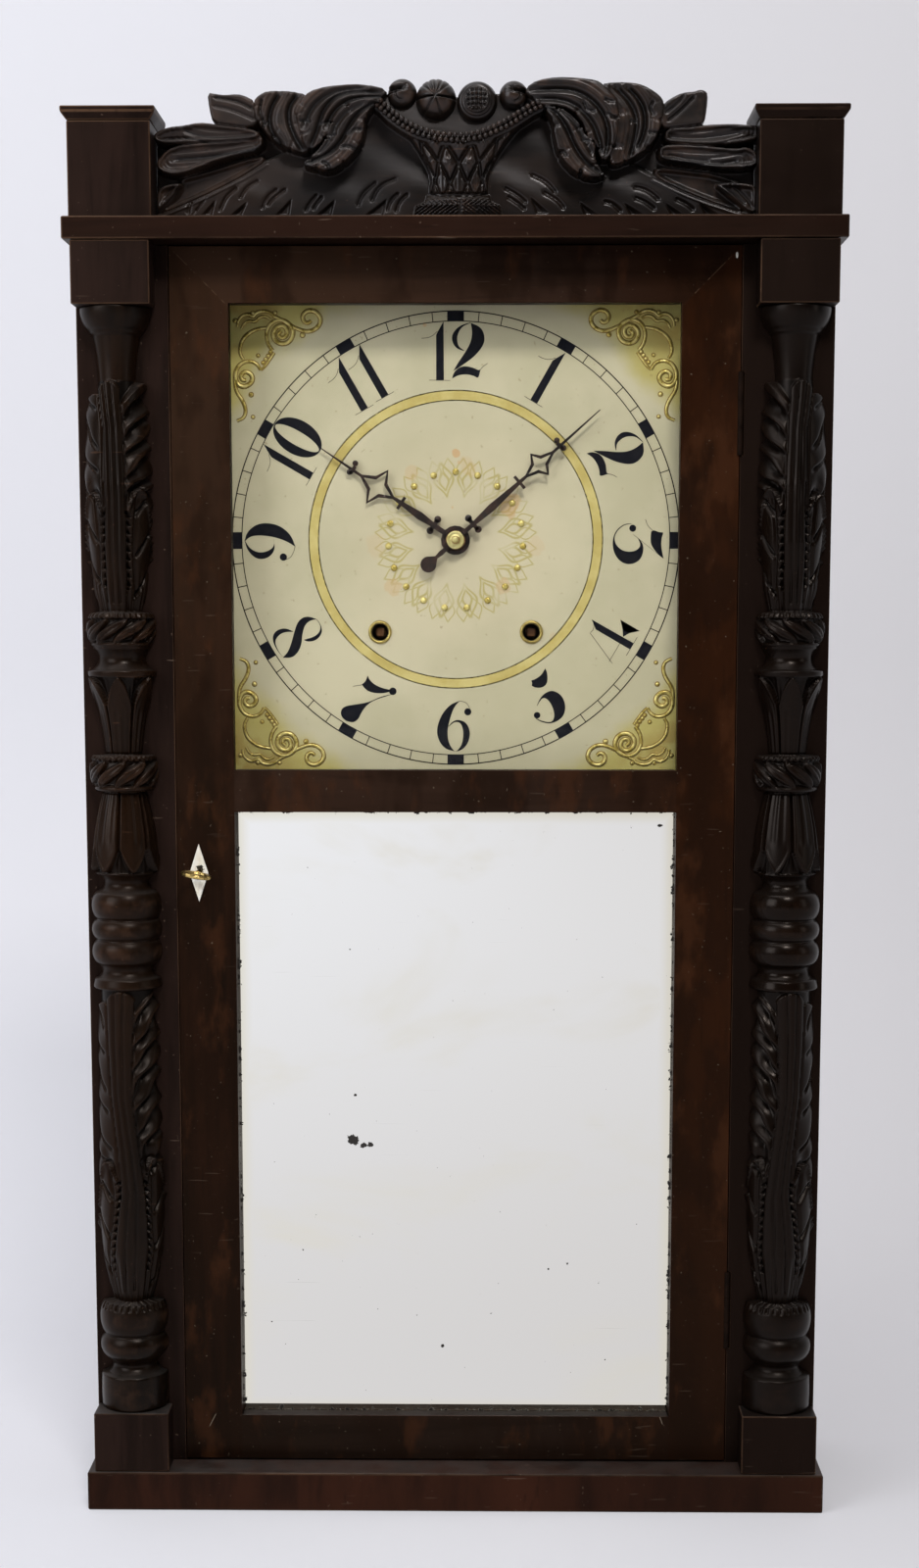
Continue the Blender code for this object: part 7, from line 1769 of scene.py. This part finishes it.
def turned_piece(name, profile, centre, material, body, segments=64):
    """Spins (radius, depth) pairs round a line that runs front to back; a closed profile makes a ring."""
    turn = np.arange(segments) / segments * 2 * math.pi
    verts = [(centre[0] + r * math.cos(a) * MM, centre[1] + d * MM, centre[2] + r * math.sin(a) * MM)
             for a in turn for r, d in profile]
    names = np.arange(len(verts)).reshape(segments, len(profile))
    ahead, along = np.roll(names, -1, axis=0), np.roll(names, -1, axis=1)
    faces = np.stack([names, along, np.roll(ahead, -1, axis=1), ahead], axis=-1).reshape(-1, 4)
    obj = from_lists(name, verts, faces.tolist(), [material])
    shape = bmesh.new()
    shape.from_mesh(obj.data)
    bmesh.ops.remove_doubles(shape, verts=shape.verts, dist=1e-7)
    bmesh.ops.dissolve_degenerate(shape, dist=1e-8, edges=shape.edges)
    bmesh.ops.recalc_face_normals(shape, faces=shape.faces)
    shape.to_mesh(obj.data)
    shape.free()
    return settle(obj, name, body)


for side, turn_to in (("left", -1), ("right", 1)):
    turned_piece("grommet_" + side, GROMMET, (turn_to * HOLES_APART / 2, DIAL_FACE, HOLE_HEIGHT), BRASS, "case")
washer = turned_piece("hand_washer_turned", WASHER, (DIAL_X, WASHER_FRONT + 0.3 * MM, DIAL_Z), WASHER_BRASS,
                      "minute_arbor", 48)
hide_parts("hand_washer")
for hand in ("hour_hand", "minute_hand"):
    planed(hand, HAND_IRON, HAND_IRON, 0.22 * MM)
for number, (hand, degrees, reach, off, radius) in enumerate(LOBES):
    lean = math.radians(degrees)
    front, back = (corner[1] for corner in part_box(hand))
    thick = (back - front) / MM
    rim = ((0.0, thick), (radius, thick), (radius, 0.25), (radius - 0.25, 0.0), (0.0, 0.0))
    for side, turn_to in (("left", -1), ("right", 1)):
        x = DIAL_X + (reach * math.sin(lean) + turn_to * off * math.cos(lean)) * MM
        z = DIAL_Z + (reach * math.cos(lean) - turn_to * off * math.sin(lean)) * MM
        turned_piece(f"hand_lobe_{number}_{side}", rim, (x, front, z), HAND_IRON, NODE_BODY[hand], 24)


# %% [markdown]
# ## The rest of the clock
# The other solids keep their CAD shapes and get the finish of the stuff they are made of: pine for the back,
# oak plates and cherry wheels for the movement, iron weights on flax cords.

# %% Finishes on the CAD solids
CAD_FINISHES = (
    (DIAL_PAINT, ["dial_board"]),
    (PINE, ["back_board", "mirror_back_board"]),
    (OAK_PLATE, ["front_plate", "back_plate"]),
    (CHERRY, ["centre_wheel", "hour_wheel", "minute_wheel", "time_great_wheel", "third_wheel", "time_drum",
              "strike_drum", "time_pulley", "strike_pulley"]),
    (BRASS, ["escape_wheel", "pendulum"]),
    (IRON, ["verge", "strike_hammer", "lock_case", "lock_bolt"]),
    (BLACK_IRON, [f"{level}_hinge_{part}_leaf" for level in ("upper", "lower") for part in ("case", "door")]),
    (CAST_IRON, ["time_weight", "strike_weight"]),
    (BELL_IRON, ["bell"]),
    (FLAX, ["time_cord_run", "strike_cord_run"]),
    (WINDOW_GLASS, ["dial_glass"]),
    (LOOKING_GLASS, ["mirror_glass"]),
)
for finish, names in CAD_FINISHES:
    for name in names:
        for slot in frame["nodes"][name].material_slots:
            slot.material = finish
planed("escutcheon", BONE, BONE, 0.0003, 3)
planed("door_key", WIRE_BRASS, WIRE_BRASS, 0.0003)

# %% [markdown]
# ## The cords that drop to the weights
# Each drop is a laid cord: three strands that wind round each other. It fills the frame's drop from the
# pulley down to the weight, hides that drop, and is not attached to any body.

# %% Cord drops
def build_cord_drop(kind):
    node_name = f"{kind}_cord_drop"
    low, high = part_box(node_name)
    x, y = (low[0] + high[0]) / 2, (low[1] + high[1]) / 2
    radius = (high[0] - low[0]) / 2
    levels, around, lay, strands = 300, 12, 0.009, 3
    heights, turns = np.meshgrid(np.linspace(low[2], high[2], levels), np.arange(around) / around * 2 * math.pi,
                                 indexing="ij")
    wind = 2 * math.pi * heights / lay
    bulge = radius * (0.80 + 0.20 * np.abs(np.cos(strands / 2 * (turns - wind))))
    verts = np.stack([x + bulge * np.cos(turns), y + bulge * np.sin(turns), heights], axis=-1).reshape(-1, 3)
    faces = [(i * around + k, i * around + (k + 1) % around, (i + 1) * around + (k + 1) % around,
              (i + 1) * around + k) for i in range(levels - 1) for k in range(around)]
    faces += [tuple(range(around))[::-1], tuple(range((levels - 1) * around, levels * around))]
    cord = from_lists(node_name + "_laid", verts.tolist(), faces, [FLAX])
    cord.data.polygons.foreach_set("use_smooth", [len(face) == 4 for face in faces])
    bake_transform(cord)
    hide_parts(node_name)


for kind in ("time", "strike"):
    build_cord_drop(kind)

# %% [markdown]
# ## Veneer on the door
# The joints of the frame don't show, because one sheet of figured veneer covers them, mitred at the top
# corners. It is a thin plate with two windows. The grain turns along the mitre, which shows as a fine line.


# %% Door veneer
HALF_DOOR, DOOR_TOP, STILE_WIDE = 0.174, 0.790, 0.036
CUTS = (  # grain and the dark, middle and light tone, first of the upright veneer and then of the level one
    (grain("z", 0.07), (0.0040, 0.0019, 0.0011, 1), (0.0120, 0.0045, 0.0022, 1), (0.040, 0.0120, 0.0045, 1)),
    (grain("x", 0.07), (0.0058, 0.0038, 0.0028, 1), (0.0150, 0.0088, 0.0062, 1), (0.033, 0.0155, 0.0098, 1)),
)
SCRATCHES = ((0.1310, 0.0585, 0.35), (0.1325, 0.0545, 0.35), (-0.1570, 0.052, -0.5))  # x, z, lean


def build_door_veneer():
    material, tree, skin, place = plain_skin("door_veneer")
    axes = axes_of(tree, place)
    side_room = minus(tree, HALF_DOOR, unsigned(tree, axes["X"]))
    mitre = minus(tree, side_room, minus(tree, DOOR_TOP, axes["Z"]))
    crosswise = larger(tree, maths(tree, "GREATER_THAN", mitre, 0.0),
                       maths(tree, "GREATER_THAN", side_room, STILE_WIDE))
    pieces = [use_effect(tree, WOOD_FIGURE, Vector=mapped(tree, place, stretch), Dark=dark, Mid=mid, Light=light,
                         Fineness=70.0, Figure=0.7) for stretch, dark, mid, light in CUTS]
    colour = blend_colour(tree, crosswise, pieces[0]["Color"], pieces[1]["Color"])
    height = node(tree, "ShaderNodeMix", {0: crosswise, 2: pieces[0]["Height"], 3: pieces[1]["Height"]}).outputs[0]
    facing = node(tree, "ShaderNodeNewGeometry").outputs["Normal"]
    finish = use_effect(tree, OLD_FINISH, Vector=place, Normal=facing, Gloss=0.34, Dust=0.15, Wear=0.22)
    # Towards the hinge side the veneer turns darker and redder: painted shade away from the window, and a redder
    # tone.
    shaded_warm_side = ramp(tree, axes["X"], 0.05, 0.14)
    colour = blend_colour(tree, times(tree, shaded_warm_side, 0.65), colour, (0.0130, 0.0040, 0.0012, 1))
    # Painted highlight: the upper part of the window side is lighter, a painted sheen.
    pale = times(tree, ramp(tree, axes["X"], -0.13, 0.10, 1.0, 0.0), ramp(tree, axes["Z"], 0.30, 0.72))
    colour = blend_colour(tree, times(tree, pale, 0.55), colour, (0.038, 0.0185, 0.0100, 1))
    # Painted shade: the veneer darkens towards the bottom of the door.
    low = ramp(tree, axes["Z"], 0.05, 0.30, 0.55, 0.0)
    colour = blend_colour(tree, low, colour, (0.0050, 0.0026, 0.0016, 1))
    swirl = mapped(tree, place, (34.0, 34.0, 15.0))
    shade = ramp(tree, noise(tree, swirl, 1.0, 3.0, 0.62), 0.44, 0.60)
    colour = blend_colour(tree, times(tree, shade, 0.55), colour, (0.0062, 0.0026, 0.0014, 1))
    swirl = mapped(tree, place, (46.0, 46.0, 19.0), (3.1, 0.7, 5.3))
    glow = ramp(tree, noise(tree, swirl, 1.0, 4.0, 0.60), 0.53, 0.68)
    colour = blend_colour(tree, times(tree, glow, 0.42), colour, (0.046, 0.0160, 0.0062, 1))
    line = ramp(tree, unsigned(tree, mitre), 0.00015, 0.0006, 1.0, 0.0)
    line = times(tree, line, maths(tree, "GREATER_THAN", STILE_WIDE + 0.0005, side_room),
                 ramp(tree, noise(tree, place, 180.0), 0.46, 0.60))
    colour = blend_colour(tree, times(tree, line, 0.6), colour, (0.085, 0.050, 0.030, 1))
    flecks = ramp(tree, noise(tree, place, 480.0, 1.0, 0.3), 0.785, 0.81)
    colour = blend_colour(tree, times(tree, flecks, 0.6), colour, (0.11, 0.085, 0.06, 1))
    chip = spot(tree, place, 0.1708, 0.7840, 0.0007, 0.0018, 0.3)
    colour = blend_colour(tree, chip, colour, (0.60, 0.58, 0.52, 1))
    for x, z, lean in SCRATCHES:
        above = minus(tree, axes["Z"], z)
        off = unsigned(tree, plus(tree, minus(tree, axes["X"], x), times(tree, above, lean)))
        scratch = times(tree, ramp(tree, off, 0.0001, 0.0004, 1.0, 0.0),
                        ramp(tree, unsigned(tree, above), 0.003, 0.005, 1.0, 0.0), 0.7)
        colour = blend_colour(tree, scratch, colour, (0.20, 0.16, 0.12, 1))
    colour = blend_colour(tree, finish["Scratch"], colour, (0.10, 0.07, 0.05, 1))
    fill(tree, skin, {"Base Color": colour, "Roughness": finish["Roughness"], "Specular IOR Level": 0.085,
                      "Specular Tint": (1.0, 0.66, 0.46, 1), "Normal": raised(tree, height, 0.15, 0.0003)})
    return material


VENEER_THICK = 0.0004
WINDOWS = ((1, 1), (3, 1))


def build_veneer_sheet(material):
    (left, front, _), (_, _, high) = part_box("door_lock_stile")[0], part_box("door_top_rail")[1]
    xs = (left, -DOOR_OPENING, DOOR_OPENING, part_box("door_hinge_stile")[1][0])
    zs = (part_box("door_bottom_rail")[0][2], MIRROR_OPEN_LOW, MIRROR_OPEN_HIGH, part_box("door_middle_rail")[1][2],
          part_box("door_top_rail")[0][2], high)
    shape = bmesh.new()
    grid = [[shape.verts.new((x, front - VENEER_THICK, z)) for x in xs] for z in zs]
    for i in range(len(zs) - 1):
        for j in range(len(xs) - 1):
            if (i, j) not in WINDOWS:
                shape.faces.new((grid[i][j], grid[i][j + 1], grid[i + 1][j + 1], grid[i + 1][j]))
    sheet = from_shape("door_veneer", shape, material, STILE_WOOD)
    thick = sheet.modifiers.new("thick", "SOLIDIFY")
    thick.thickness = VENEER_THICK + 0.00005
    thick.offset = -1.0
    round_arrises(sheet, 0.00035, 2)
    bake(sheet)
    return settle(sheet, "door_veneer", "door")


build_veneer_sheet(build_door_veneer())
